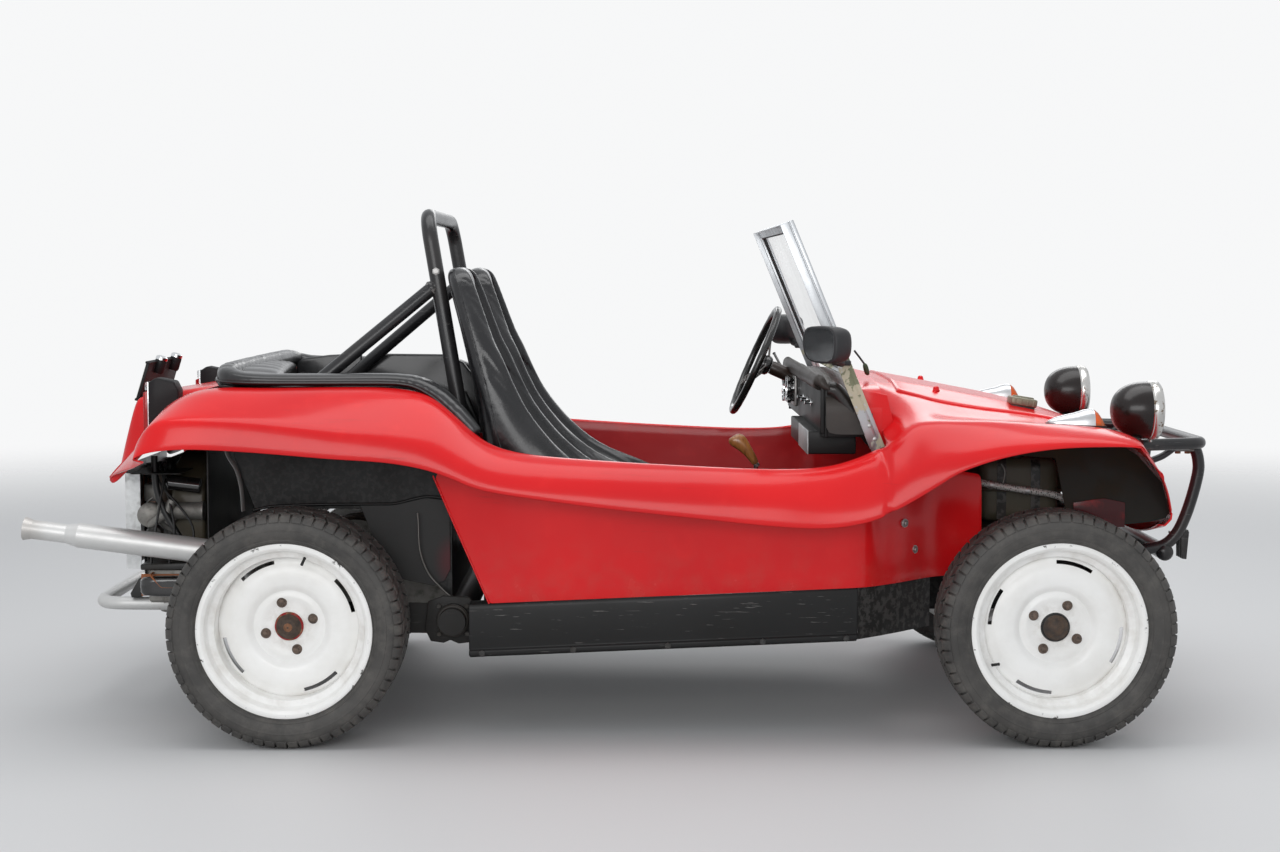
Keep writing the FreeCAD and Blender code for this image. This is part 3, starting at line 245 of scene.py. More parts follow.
def slab(name, outline, start, end, material, edge=0.003, flat="y", segments=3):
    # an outline drawn on the plane across the axis named by flat, thickened from start to end
    order = {"y": lambda a, b, c: (a, c, b), "x": lambda a, b, c: (c, a, b),
        "z": lambda a, b, c: (a, b, c)}[flat]
    count = len(outline)
    points = [order(a, b, c) for c in (start, end) for a, b in outline]
    faces = [tuple(range(count)), tuple(range(2 * count - 1, count - 1, -1))]
    faces += [(i, (i + 1) % count, (i + 1) % count + count, i + count) for i in range(count)]
    thing = meshOf(name, points, faces, material)
    if edge:
        applied(thing, rounded(edge, segments))
        tidy(thing)
    return thing


def lathe(name, profile, middle, axis, material, steps=64, smooth=30, skip=None):
    # profile: (along, radius) turned about axis through middle;
    # it closes on itself, or onto the axis if one end is there
    ends = (profile[0][1] < 1e-5, profile[-1][1] < 1e-5)
    if not skip and ends == (False, True):
        profile = [(profile[0][0], 0)] + list(profile)
    elif not skip and ends == (True, False):
        profile = list(profile) + [(profile[-1][0], 0)]
    axis = Vector(axis).normalized()
    across = axis.orthogonal().normalized()
    if abs(axis.z) < 0.9:
        across = (Vector((0, 0, 1)) - axis * axis.z).normalized()
    other = axis.cross(across)
    points, rings = [], []
    for along, radius in profile:
        ring = []
        if radius < 1e-5:
            ring = [len(points)] * steps
            points.append(Vector(middle) + axis * along)
        else:
            for step in range(steps):
                turn = 2 * math.pi * step / steps
                ring.append(len(points))
                points.append(Vector(middle) + axis * along
                              + (across * math.cos(turn) + other * math.sin(turn)) * radius)
        rings.append(ring)
    closed = profile[0][1] > 1e-5 and profile[-1][1] > 1e-5
    faces = []
    for index in range(len(rings) if closed else len(rings) - 1):
        one, two = rings[index], rings[(index + 1) % len(rings)]
        for step in range(steps):
            if skip and skip(index, step):
                continue
            after = (step + 1) % steps
            face = []
            for corner in (one[step], one[after], two[after], two[step]):
                if corner not in face:
                    face.append(corner)
            if len(face) > 2:
                faces.append(face)
    return meshOf(name, points, faces, material, smooth)


def shifted(start, profile):
    # a lathe's profile moved along its axis
    return [(start + along, radius) for along, radius in profile]


def bentPath(points, bend, steps=6):
    # straight runs joined by arcs of about that radius
    points = [Vector(point) for point in points]
    way = [points[0]]
    for before, corner, after in zip(points, points[1:], points[2:]):
        arrive, leave = (corner - before).normalized(), (after - corner).normalized()
        turn = arrive.angle(leave, 0)
        back = min(bend * math.tan(turn / 2), (corner - before).length * 0.49, (after - corner).length * 0.49)
        if back < 1e-5:
            way.append(corner)
            continue
        start, end = corner - arrive * back, corner + leave * back
        for step in range(steps + 1):
            share = step / steps
            way.append(start.lerp(corner, share).lerp(corner.lerp(end, share), share))
    way.append(points[-1])
    return way


def curved(points, steps=8, closed=False):
    # a smooth line through every point
    points = [Vector(point) for point in points]
    count = len(points)
    way = []
    for index in range(count if closed else count - 1):
        def at(offset):
            spot = index + offset
            return points[spot % count] if closed else points[max(0, min(count - 1, spot))]
        a, b, c, d = at(-1), at(0), at(1), at(2)
        for step in range(steps):
            u = step / steps
            way.append(0.5 * (2 * b + (c - a) * u + (2 * a - 5 * b + 4 * c - d) * u * u
                              + (3 * b - a - 3 * c + d) * u ** 3))
    if not closed:
        way.append(points[-1])
    return way


def tubeAlong(name, way, radius, material, steps=16, closed=False, squash=1.0, up=None, smooth=60):
    way = [Vector(point) for point in way]
    count = len(way)
    points, faces = [], []
    side = None
    for index, spot in enumerate(way):
        ahead = (way[(index + 1) % count] if closed else way[min(index + 1, count - 1)])
        behind = (way[index - 1] if closed else way[max(index - 1, 0)])
        run = (ahead - behind).normalized()
        if side is None:
            side = (Vector(up) if up else run.orthogonal()).normalized()
        side = (side - run * side.dot(run)).normalized()
        other = run.cross(side)
        size = radius[index] if isinstance(radius, (list, tuple)) else radius
        for step in range(steps):
            turn = 2 * math.pi * step / steps
            points.append(spot + side * math.cos(turn) * size + other * math.sin(turn) * size * squash)
    for index in range(count if closed else count - 1):
        for step in range(steps):
            a, b = index * steps + step, index * steps + (step + 1) % steps
            c, d = ((index + 1) % count) * steps + (step + 1) % steps, ((index + 1) % count) * steps + step
            faces.append((a, b, c, d))
    if not closed:
        faces.append(tuple(range(steps)))
        faces.append(tuple(range((count - 1) * steps, count * steps)))
    return meshOf(name, points, faces, material, smooth)


def joined(name, things):
    # one object from several, each keeping its material
    whole = bmesh.new()
    materials = []
    for thing in things:
        base = len(whole.faces)
        picks = []
        for material in thing.data.materials:
            if material not in materials:
                materials.append(material)
            picks.append(materials.index(material))
        whole.from_mesh(thing.data)
        whole.faces.ensure_lookup_table()
        for face in whole.faces[base:]:
            face.material_index = picks[face.material_index] if picks else 0
    mesh = bpy.data.meshes.new(name)
    whole.to_mesh(mesh)
    whole.free()
    for material in materials:
        mesh.materials.append(material)
    for thing in things:
        bpy.data.objects.remove(thing)
    return linked(name, mesh)


def placed(thing, matrix):
    thing.data.transform(matrix)
    if matrix.determinant() < 0:
        thing.data.flip_normals()
    return thing


def copied(thing, name, matrix):
    twin = linked(name, thing.data.copy())
    return placed(twin, matrix)


def acrossCar():
    return Matrix.Scale(-1, 4, (0, 1, 0))


def onBothSides(thing, name):
    # the same piece on the car's other side, joined to the first
    return joined(name, [thing, copied(thing, name + "Left", acrossCar())])


def ridden(thing, body="chassis", replaces=()):
    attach(thing, body)
    if replaces:
        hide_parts(*replaces)
    return thing


# repeated pieces

def repeatTree(name, inputs, build):
    tree = bpy.data.node_groups.new(name, "GeometryNodeTree")
    tree.interface.new_socket("Geometry", in_out="INPUT", socket_type="NodeSocketGeometry")
    for label, kind, value in inputs:
        made = tree.interface.new_socket(label, in_out="INPUT", socket_type="NodeSocket" + kind)
        if value is not None:
            made.default_value = value
    tree.interface.new_socket("Geometry", in_out="OUTPUT", socket_type="NodeSocketGeometry")
    entry, leave = tree.nodes.new("NodeGroupInput"), tree.nodes.new("NodeGroupOutput")

    def add(kind, settings=None, **links):
        node = tree.nodes.new(kind)
        for key, value in (settings or {}).items():
            setattr(node, key, value)
        for key, value in links.items():
            socket = node.inputs[int(key[1:])] if key[0] == "n" and key[1:].isdigit() else node.inputs[key]
            if isinstance(value, bpy.types.NodeSocket):
                tree.links.new(value, socket)
            else:
                socket.default_value = value
        return node

    points, turn = build(add, entry.outputs)
    piece = add("GeometryNodeObjectInfo", Object=entry.outputs["Piece"])
    spread = add("GeometryNodeInstanceOnPoints", Points=points,
        Instance=piece.outputs["Geometry"], Rotation=turn)
    solid = add("GeometryNodeRealizeInstances", Geometry=spread.outputs[0])
    dressed = add("GeometryNodeSetMaterial", Geometry=solid.outputs[0], Material=entry.outputs["Material"])
    tree.links.new(dressed.outputs[0], leave.inputs[0])
    return tree


def ringPlan(add, given):
    # copies turned evenly about the Y axis, each nudged by up to Wander
    line = add("GeometryNodeMeshLine", Count=given["Count"])
    line.inputs["Offset"].default_value = (0, 0, 0)
    index = add("GeometryNodeInputIndex")
    share = add("ShaderNodeMath", {"operation": "DIVIDE"}, n0=index.outputs[0], n1=given["Count"])
    angle = add("ShaderNodeMath", {"operation": "MULTIPLY_ADD"}, n0=share.outputs[0], n1=2 * math.pi,
                n2=given["Start"])
    wander = add("FunctionNodeRandomValue", {"data_type": "FLOAT"}, n7=index.outputs[0], n8=given["Seed"])
    back = add("ShaderNodeMath", {"operation": "MULTIPLY"}, n0=given["Wander"], n1=-1.0)
    tree = line.id_data
    tree.links.new(back.outputs[0], wander.inputs[2])
    tree.links.new(given["Wander"], wander.inputs[3])
    whole = add("ShaderNodeMath", {"operation": "ADD"}, n0=angle.outputs[0], n1=wander.outputs[1])
    turn = add("ShaderNodeCombineXYZ", n1=whole.outputs[0])
    return line.outputs[0], turn.outputs[0]


def rowPlan(add, given):
    # copies one Step apart
    line = add("GeometryNodeMeshLine", Count=given["Count"])
    line.id_data.links.new(given["Step"], line.inputs["Offset"])
    wander = add("FunctionNodeRandomValue", {"data_type": "FLOAT_VECTOR"}, n8=given["Seed"])
    back = add("ShaderNodeVectorMath", {"operation": "SCALE"}, n0=given["Wander"], n3=-1.0)
    line.id_data.links.new(back.outputs[0], wander.inputs[0])
    line.id_data.links.new(given["Wander"], wander.inputs[1])
    return line.outputs[0], wander.outputs[0]


def pathPlan(add, given):
    # copies evenly spaced along the object's own line, their X along it
    curve = add("GeometryNodeMeshToCurve", Mesh=given["Geometry"])
    even = add("GeometryNodeResampleCurve", Curve=curve.outputs[0], Count=given["Count"])
    points = add("GeometryNodeCurveToPoints", Curve=even.outputs[0], Count=given["Count"])
    return points.outputs[0], points.outputs["Rotation"]


common = [("Piece", "Object", None), ("Material", "Material", None), ("Count", "Int", 8),
          ("Seed", "Int", 7)]
ringTree = repeatTree("ringOfPieces", common + [("Start", "Float", 0.0), ("Wander", "Float", 0.0)], ringPlan)
rowTree = repeatTree("rowOfPieces", common + [("Step", "Vector", (0.1, 0, 0)),
                                              ("Wander", "Vector", (0, 0, 0))], rowPlan)
pathTree = repeatTree("piecesAlongPath", common, pathPlan)


def repeated(name, piece, tree, material, way=None, **values):
    mesh = bpy.data.meshes.new(name)
    if way:
        mesh.from_pydata([tuple(point) for point in way], [(i, i + 1) for i in range(len(way) - 1)], [])
    host = linked(name, mesh)
    change = host.modifiers.new("repeat", "NODES")
    change.node_group = tree
    values.update(Piece=piece, Material=material)
    for item in tree.interface.items_tree:
        if item.in_out == "INPUT" and item.name in values:
            change[item.identifier] = values[item.name]
    graph = bpy.context.evaluated_depsgraph_get()
    made = bpy.data.meshes.new_from_object(host.evaluated_get(graph))
    bpy.data.objects.remove(host)
    bpy.data.objects.remove(piece)
    return linked(name, made, material)


print("makers ready")


# finishes

def chips(finish, scale, amount, spot=None):
    # scattered small flakes, 1 inside a flake
    ragged = finish.noise(scale * 2.3, 4, 0.7, spot)
    return (finish.noise(scale, 3, 0.6, spot) * 0.7 + ragged * 0.3).step(amount, amount + 0.03)


def bodyPaint(name="bodyRed", tone=(0.72, 0.01, 0.012)):
    look = Finish(name, Metallic=0.0, CoatRoughness=0.1, IOR=1.45, SpecularIORLevel=0.28)
    cloud = look.noise(2.2, 3, 0.5)
    mottle = look.noise(14, 4, 0.6)
    shade = look.mix(cloud.step(0.3, 0.7), tone, (tone[0] * 0.86, tone[1] * 0.9, tone[2]))
    shade = look.mix(mottle.step(0.5, 0.8) * 0.25, shade, (0.8, 0.022, 0.02))
    scuff = look.noise(9, 5, 0.65, look.place((0, 0, 0), (0.5, 1, 7))).step(0.63, 0.72) * 0.35
    shade = look.mix(scuff, shade, (0.45, 0.02, 0.02))
    flake = chips(look, 85, 0.735)
    shade = look.mix(flake * 0.8, shade, (0.13, 0.02, 0.02))
    height = look.axis(2)
    dust = (1 - height.step(0.34, 0.6)) * look.noise(17, 3, 0.6).step(0.35, 0.8) * 0.16
    shade = look.mix(dust, shade, (0.33, 0.16, 0.12))
    look.set(BaseColor=shade, Roughness=(0.17 + mottle * 0.1 + dust * 0.5 + flake * 0.3).clamp(),
             CoatWeight=(0.16 - scuff * 0.3 - dust * 0.3).clamp())
    ripple = look.noise(5.5, 2, 0.4)
    grit = look.noise(420, 2, 0.5)
    first = look.bump(ripple, 0.1, 0.02)
    second = look.bump(grit * 0.4 - flake * 0.6, 0.08, 0.0006, first)
    look.set(Normal=second)
    return look.material


def coatedBlack(name, tone=(0.012, 0.012, 0.013), rough=0.34, dirt=0.4, worn=0.5, grime=(0.1, 0.085, 0.07),
        gloss=0.36, grain=0.16):
    look = Finish(name, IOR=1.5, CoatRoughness=0.2, SpecularIORLevel=gloss)
    cloud = look.noise(4, 4, 0.6)
    patch = (look.noise(6, 3, 0.5).step(0.42, 0.75) * dirt).clamp()
    scratch = look.noise(30, 3, 0.6, look.place((0, 0, 0), (0.4, 1, 9))).step(0.66, 0.7) * worn
    corner = look.edges(0.55, 0.66) * look.noise(60, 3, 0.6).step(0.45, 0.6) * worn
    shade = look.mix(cloud, tone, tuple(part * 2.2 for part in tone))
    shade = look.mix(patch, shade, grime)
    shade = look.mix((scratch * 0.5 + corner).clamp(), shade, (0.22, 0.21, 0.2))
    look.set(BaseColor=shade, Roughness=(rough + patch * 0.4 + cloud * 0.12).clamp(),
             CoatWeight=(gloss * 0.7 - patch * 0.5).clamp())
    look.set(Normal=look.bump(look.noise(260, 3, 0.6) + scratch, grain, 0.0008,
                              look.bump(look.noise(22, 3, 0.5), grain * 0.7, 0.004)))
    return look.material


def wheelEnamel(name, middle, lip):
    # white enamel, chipped down to dark primer near the flange and stained round the nuts
    look = Finish(name, IOR=1.5, CoatRoughness=0.15)
    spot = look.place(middle)
    radius = (look.axis(0, spot) ** 2.0 + look.axis(2, spot) ** 2.0) ** 0.5
    cloud = look.noise(9, 4, 0.6)
    shade = look.mix(cloud.step(0.3, 0.75), (0.93, 0.925, 0.905), (0.85, 0.84, 0.81))
    flange = radius.step(lip - 0.014, lip - 0.002)
    flake = look.noise(34, 5, 0.7).step(0.6, 0.64) * flange + chips(look, 60, 0.74)
    stain = (1 - radius.step(0.03, 0.085)) * look.noise(40, 4, 0.7).step(0.35, 0.75) * 0.35
    well = radius.step(0.172, 0.19) * (1 - radius.step(lip - 0.03, lip - 0.008)) \
        * look.noise(18, 4, 0.65).step(0.35, 0.8) * 0.25
    shade = look.mix((stain + well).clamp(), shade, (0.33, 0.26, 0.19))
    shade = look.mix(flake.clamp(), shade, (0.035, 0.03, 0.027))
    look.set(BaseColor=shade, Roughness=(0.33 + cloud * 0.12 + stain + flake * 0.3).clamp(), CoatWeight=0.25)
    look.set(Normal=look.bump(look.noise(300, 2, 0.5) * 0.4 - flake, 0.2, 0.0006,
                              look.bump(look.noise(35, 3, 0.5), 0.08, 0.002)))
    return look.material


def tyreRubber(name, middle, outer):
    look = Finish(name, IOR=1.45)
    spot = look.place(middle)
    radius = (look.axis(0, spot) ** 2.0 + look.axis(2, spot) ** 2.0) ** 0.5
    grain = look.noise(240, 4, 0.65)
    cloud = look.noise(7, 4, 0.6)
    shade = look.mix(cloud.step(0.3, 0.7), (0.04, 0.038, 0.036), (0.066, 0.062, 0.058))
    dust = look.noise(26, 5, 0.7).step(0.4, 0.75) * (0.35 + radius.step(outer - 0.02, outer) * 0.4)
    shade = look.mix(dust.clamp(), shade, (0.155, 0.145, 0.13))
    look.set(BaseColor=shade, Roughness=(0.62 + dust * 0.3 - grain * 0.1).clamp())
    rings = (radius * 2600.0).maths("SINE") * (1 - radius.step(outer - 0.035, outer - 0.03))
    look.set(Normal=look.bump(grain + rings * 0.12, 0.35, 0.0007))
    return look.material


def upholstery(name, tone=(0.006, 0.006, 0.007), rough=0.23, grain=620, coat=0.55):
    # coated vinyl: leather grain, soft creases, paler where it is rubbed
    look = Finish(name, IOR=1.5, CoatRoughness=0.16, SpecularIORLevel=0.34)
    cell = look.cells(grain, "DISTANCE_TO_EDGE")
    pores = cell.step(0.0, 0.22)
    crease = look.noise(13, 4, 0.6, look.place((0, 0, 0), (1, 0.45, 1)), warp=0.8)
    rub = look.noise(6, 4, 0.6).step(0.45, 0.75)
    shade = look.mix(rub * 0.6, tone, tuple(part * 1.9 + 0.003 for part in tone))
    dusty = look.noise(60, 4, 0.7).step(0.55, 0.8) * 0.25
    shade = look.mix(dusty, shade, (0.06, 0.058, 0.055))
    look.set(BaseColor=shade, Roughness=(rough + rub * 0.12 + dusty * 0.6 + (1 - pores) * 0.1).clamp(),
             CoatWeight=coat)
    fine = look.bump(pores, 0.1, 0.0005)
    look.set(Normal=look.bump(crease, 0.32, 0.006, fine))
    return look.material


def metal(name, tone=(0.62, 0.63, 0.64), rough=0.28, metallic=1.0, grimeTone=(0.09, 0.07, 0.05), grime=0.25,
          brushed=(1, 1, 1), bumps=0.12):
    look = Finish(name)
    streak = look.noise(60, 4, 0.6, look.place((0, 0, 0), brushed))
    patch = look.noise(18, 5, 0.68).step(0.5, 0.78) * grime
    shade = look.mix(streak.step(0.3, 0.8) * 0.5, tone, tuple(part * 0.7 for part in tone))
    shade = look.mix(patch.clamp(), shade, grimeTone)
    look.set(BaseColor=shade, Metallic=(metallic - patch * 0.8).clamp(),
             Roughness=(rough + streak * 0.14 + patch * 0.5).clamp())
    look.set(Normal=look.bump(streak, bumps, 0.0008))
    return look.material


def plastic(name, tone, rough=0.4, coat=0.0, bumps=0.1, dusty=0.2, scale=300):
    look = Finish(name, IOR=1.48, CoatWeight=coat, CoatRoughness=0.1)
    cloud = look.noise(8, 3, 0.6)
    shade = look.mix(cloud * 0.5, tone, tuple(part * 0.75 for part in tone))
    haze = look.noise(40, 5, 0.7).step(0.5, 0.8) * dusty
    shade = look.mix(haze, shade, tuple(part * 0.5 + 0.07 for part in tone))
    look.set(BaseColor=shade, Roughness=(rough + cloud * 0.08 + haze * 0.5).clamp())
    look.set(Normal=look.bump(look.noise(scale, 3, 0.6), bumps, 0.0006))
    return look.material


def rusty(name, under=(0.1, 0.045, 0.02), over=(0.32, 0.145, 0.075), rough=0.8, remains=None):
    look = Finish(name)
    cloud = look.noise(55, 5, 0.7)
    shade = look.mix(cloud.step(0.3, 0.7), under, over)
    if remains:
        shade = look.mix(look.noise(38, 4, 0.6).step(0.42, 0.5), shade, remains)
    look.set(BaseColor=shade, Metallic=0.15, Roughness=(rough - cloud * 0.15).clamp())
    look.set(Normal=look.bump(look.noise(180, 5, 0.7), 0.6, 0.0012))
    return look.material


def lens(name, tone, rough=0.08, clear=0.75, ribs=0.0):
    look = Finish(name, BaseColor=tone, IOR=1.49, TransmissionWeight=clear, CoatWeight=0.0)
    film = look.noise(30, 4, 0.7).step(0.4, 0.8)
    look.set(Roughness=(rough + film * 0.12).clamp())
    if ribs:
        wave = (look.axis(1) * ribs).maths("SINE")
        look.set(Normal=look.bump(wave, 0.35, 0.001))
    return look.material


def wood(name):
    look = Finish(name, CoatWeight=0.7, CoatRoughness=0.08)
    rings = look.noise(16, 4, 0.6, look.place((0, 0, 0), (4, 4, 1)), warp=1.2)
    shade = look.mix(rings.step(0.3, 0.7), (0.42, 0.17, 0.045), (0.16, 0.05, 0.012))
    look.set(BaseColor=shade, Roughness=0.3 + rings * 0.15)
    look.set(Normal=look.bump(rings, 0.1, 0.0006))
    return look.material


def wornFrame(name):
    # polished aluminium; its lower posts keep patches of old beige and green paint
    look = Finish(name)
    streak = look.noise(70, 3, 0.5, look.place((0, 0, 0), (1, 1, 0.05)))
    height = look.axis(2)
    low = 1 - height.step(0.92, 1.05)
    patch = (look.noise(9, 4, 0.62) + low * 0.16).step(0.6, 0.625) * low.step(0.05, 0.2)
    green = look.noise(22, 4, 0.6).step(0.52, 0.56)
    dull = look.noise(6, 4, 0.6).step(0.45, 0.7)
    shade = look.mix(streak.step(0.25, 0.8) * 0.3, (0.52, 0.535, 0.55), (0.38, 0.39, 0.405))
    paint = look.mix(green, (0.5, 0.46, 0.34), (0.2, 0.21, 0.13))
    shade = look.mix(patch.clamp(), shade, paint)
    look.set(BaseColor=shade, Metallic=(0.92 - patch).clamp(),
             Roughness=(0.3 + streak * 0.08 + dull * 0.12 + patch * 0.35).clamp())
    look.set(Normal=look.bump(patch + streak * 0.04, 0.1, 0.0005))
    return look.material


def silverPaint(name, hot=0.0):
    look = Finish(name, CoatWeight=0.1)
    cloud = look.noise(12, 4, 0.6)
    spots = chips(look, 46, 0.73)
    rustMask = look.noise(20, 5, 0.7).step(0.66, 0.74) * 0.5
    shade = look.mix(cloud, (0.74, 0.74, 0.73), (0.58, 0.575, 0.56))
    shade = look.mix((spots * 0.6 + rustMask).clamp(), shade, (0.17, 0.1, 0.06))
    if hot:
        soot = 1 - look.axis(0).step(hot, hot + 0.06)
        shade = look.mix(soot * 0.35, shade, (0.3, 0.26, 0.22))
    look.set(BaseColor=shade, Metallic=(0.55 - rustMask).clamp(),
        Roughness=(0.36 + cloud * 0.16 + rustMask * 0.4).clamp())
    look.set(Normal=look.bump(look.noise(220, 3, 0.6) - spots * 0.4, 0.22, 0.0008))
    return look.material


red = bodyPaint()
# a darker copy of the body red for inner faces, standing for their shade: painted shade
redInnerPaintedShade = bodyPaint("bodyRedInnerPaintedShade", (0.46, 0.01, 0.012))
black = coatedBlack("sillBlack", (0.007, 0.007, 0.007), rough=0.4, dirt=0.16, worn=1.0,
    grime=(0.028, 0.026, 0.023), gloss=0.2)
barBlack = coatedBlack("barBlack", (0.01, 0.01, 0.011), rough=0.22, dirt=0.14, worn=0.8)
chassisBlack = coatedBlack("chassisBlack", (0.01, 0.0095, 0.009), 0.48, 0.25, 0.2,
    (0.026, 0.023, 0.02), 0.22, 0.1)
wellBlack = coatedBlack("wellBlack", (0.0055, 0.0055, 0.0055), 0.42, 0.2, 0.08,
    (0.016, 0.014, 0.012), 0.2, 0.03)
wingInside = coatedBlack("wingInside", (0.013, 0.0115, 0.0095), 0.62, 0.8, 0.0,
    (0.05, 0.034, 0.02), 0.16, 0.1)
# body red darkened to stand for a red panel in shade: painted shade
deepShadeRed = bodyPaint("bodyRedDeepShade", (0.06, 0.006, 0.008))
engineBlack = coatedBlack("engineBlack", (0.009, 0.0085, 0.008), 0.36, 0.5, 0.3, (0.05, 0.04, 0.03))
vinyl = upholstery("seatVinyl")
rollVinyl = upholstery("paddingVinyl", (0.012, 0.012, 0.013), 0.32, 560)
dashVinyl = upholstery("dashVinyl", (0.04, 0.034, 0.03), 0.46, 480, 0.1)
piping = plastic("pipingBlack", (0.012, 0.012, 0.013), 0.3, 0.3)
rubber = plastic("rubberBlack", (0.014, 0.014, 0.014), 0.6, 0.0, 0.15, 0.35)
hoseRubber = plastic("hoseRubber", (0.011, 0.011, 0.011), 0.45, 0.1, 0.1, 0.3)
glossBlack = plastic("glossBlack", (0.01, 0.009, 0.009), 0.14, 0.8, 0.02, 0.12)
mirrorShell = plastic("mirrorShell", (0.022, 0.022, 0.024), 0.5, 0.0, 0.2, 0.3)
frameMetal = wornFrame("screenMetal")
chrome = metal("chromePlate", (0.86, 0.87, 0.88), 0.06, 1.0, (0.1, 0.07, 0.04), 0.22, bumps=0.02)
steel = metal("plainSteel", (0.42, 0.41, 0.4), 0.36, 1.0, grime=0.45)
castAlloy = metal("castAlloy", (0.3, 0.29, 0.27), 0.5, 0.85, (0.035, 0.028, 0.02), 0.75, bumps=0.5)
galvanised = metal("galvanised", (0.62, 0.63, 0.63), 0.42, 0.9, (0.25, 0.24, 0.22), 0.4)
copper = metal("oldCopper", (0.42, 0.17, 0.09), 0.42, 0.9, (0.06, 0.04, 0.03), 0.5)
rust = rusty("rustySteel")
nutIron = rusty("nutIron", (0.05, 0.036, 0.028), (0.17, 0.115, 0.085), 0.62)
rustRed = rusty("rustUnderRed", remains=(0.3, 0.012, 0.014))
silver = silverPaint("silverPaint")
pipeSilver = silverPaint("pipeSilver", -1.6)
tankPaint = plastic("tankPaint", (0.085, 0.075, 0.05), 0.5, 0.1, 0.15, 0.7)
shroudPaint = plastic("shroudPaint", (0.075, 0.062, 0.038), 0.42, 0.1, 0.2, 0.7)
knobWood = wood("knobWood")
amber = lens("amberLens", (0.95, 0.2, 0.02), 0.1, 0.55, 900)
redLens = lens("redLens", (0.55, 0.01, 0.01), 0.12, 0.45)
clearLens = lens("clearLens", (0.92, 0.94, 0.95), 0.03, 0.95, 420)
pane = Finish("screenGlass", BaseColor=(0.62, 0.68, 0.7), Roughness=0.03, IOR=1.5, Alpha=0.12,
    SpecularIORLevel=0.3).material
mirrorGlass = metal("mirrorGlass", (0.78, 0.8, 0.82), 0.03, 1.0, grime=0.05, bumps=0.0)
plateWhite = plastic("plateBlank", (0.78, 0.77, 0.72), 0.35, 0.2, 0.03, 0.3)
dialFace = plastic("dialFace", (0.01, 0.01, 0.011), 0.5, 0.0, 0.0, 0.05)
dialMark = plastic("dialMark", (0.75, 0.74, 0.7), 0.5, 0.0, 0.0, 0.0)
print("finishes ready")


# stage: pale floor that fades into the white surround, soft overhead light

studio = {"floor": (0.6, 0.6, 0.6), "fade": (4.2, 9.5), "around": 0.66}

floorLook = Finish("studioFloor", Roughness=0.55)
away = (floorLook.axis(0) ** 2.0 + floorLook.axis(1) ** 2.0) ** 0.5
floorLook.set(BaseColor=studio["floor"])
gone = away.step(*studio["fade"])
clear = floorLook.node("ShaderNodeBsdfTransparent")
ground = floorLook.node("ShaderNodeMixShader", None,
    {0: gone, 1: Wire(floorLook.tree, floorLook.shader.outputs[0]), 2: clear})
floorLook.tree.links.new(ground.socket, floorLook.tree.nodes["Material Output"].inputs[0])
disc = [(11 * math.cos(i * math.pi / 48), 11 * math.sin(i * math.pi / 48), 0) for i in range(96)]
meshOf("studioFloor", disc, [tuple(range(96))], floorLook.material)

surround = bpy.data.worlds.new("surround")
scene.world = surround
surround.use_nodes = True
sky = surround.node_tree
plain = sky.nodes["Background"]
plain.inputs[0].default_value = (0.93, 0.96, 1, 1)
plain.inputs[1].default_value = studio["around"]
white = sky.nodes.new("ShaderNodeBackground")
white.inputs[0].default_value = (0.93, 0.935, 0.94, 1)
rays = sky.nodes.new("ShaderNodeLightPath")
seen = Wire(sky, rays.outputs["Is Camera Ray"]).maths("MAXIMUM",
    Wire(sky, rays.outputs["Is Transmission Ray"]))
seen = seen.maths("MAXIMUM", Wire(sky, rays.outputs["Is Glossy Ray"]) * 0.35)
blend = sky.nodes.new("ShaderNodeMixShader")
plug(sky, blend.inputs[0], seen)
sky.links.new(plain.outputs[0], blend.inputs[1])
sky.links.new(white.outputs[0], blend.inputs[2])
sky.links.new(blend.outputs[0], sky.nodes["World Output"].inputs[0])

for name, spot, size, power, aim in (("overhead", (0.2, -0.4, 4.6), (5.5, 2.6), 104, (0, 0, 0.4)),
                                     ("front", (-1.2, -6.8, 2.3), (5.0, 2.2), 128, (0, 0, 0.45)),
                                     ("behind", (1.5, 5.5, 3.4), (4.5, 1.6), 50, (0, 0, 0.6))):
    data = bpy.data.lights.new(name, "AREA")
    data.shape, data.size, data.size_y, data.energy = "RECTANGLE", *size, power
    lamp = bpy.data.objects.new(name, data)
    scene.collection.objects.link(lamp)
    lamp.location = spot
    lamp.rotation_mode = "QUATERNION"
    lamp.rotation_quaternion = (Vector(aim) - Vector(spot)).to_track_quat("-Z", "Y")
print("stage and lights ready")


# body shell

# stations from tail to windscreen, mm: rail's inner edge, outer edge, crease, lip, each (y, z) or (y, z, x)
rail = [
    (0, (440, 676, -1388), (560, 700, -1330), (680, 722, -1262), (760, 742, -1215)),
    (-1245, (540, 812), (622, 800), (722, 784), (768, 750)),
    (-1190, (558, 885), (645, 872), (765, 846), (786, 771)),
    (-1090, (560, 925), (645, 918), (775, 856), (790, 778)),
    (-930, (560, 928), (645, 920), (775, 850), (790, 770)),
    (-740, (560, 930), (645, 922), (775, 828), (790, 754)),
    (-600, (565, 928), (650, 920), (775, 815), (790, 745)),
    (-500, (580, 910), (660, 902), (775, 795), (790, 728)),
    (-430, (600, 860), (675, 852), (775, 765), (790, 705)),
    (-355, (630, 795), (695, 787), (775, 730), (790, 675)),
    (-250, (665, 762), (715, 755), (775, 708), (790, 656)),
    (-40, (675, 744), (720, 737), (775, 688), (790, 627)),
    (200, (680, 730), (722, 724), (775, 668), (790, 601)),
    (400, (680, 722), (722, 716), (775, 655), (790, 580)),
    (540, (675, 728), (720, 722), (775, 642), (790, 575)),
    (640, (665, 757), (715, 750), (775, 652), (790, 591)),
]
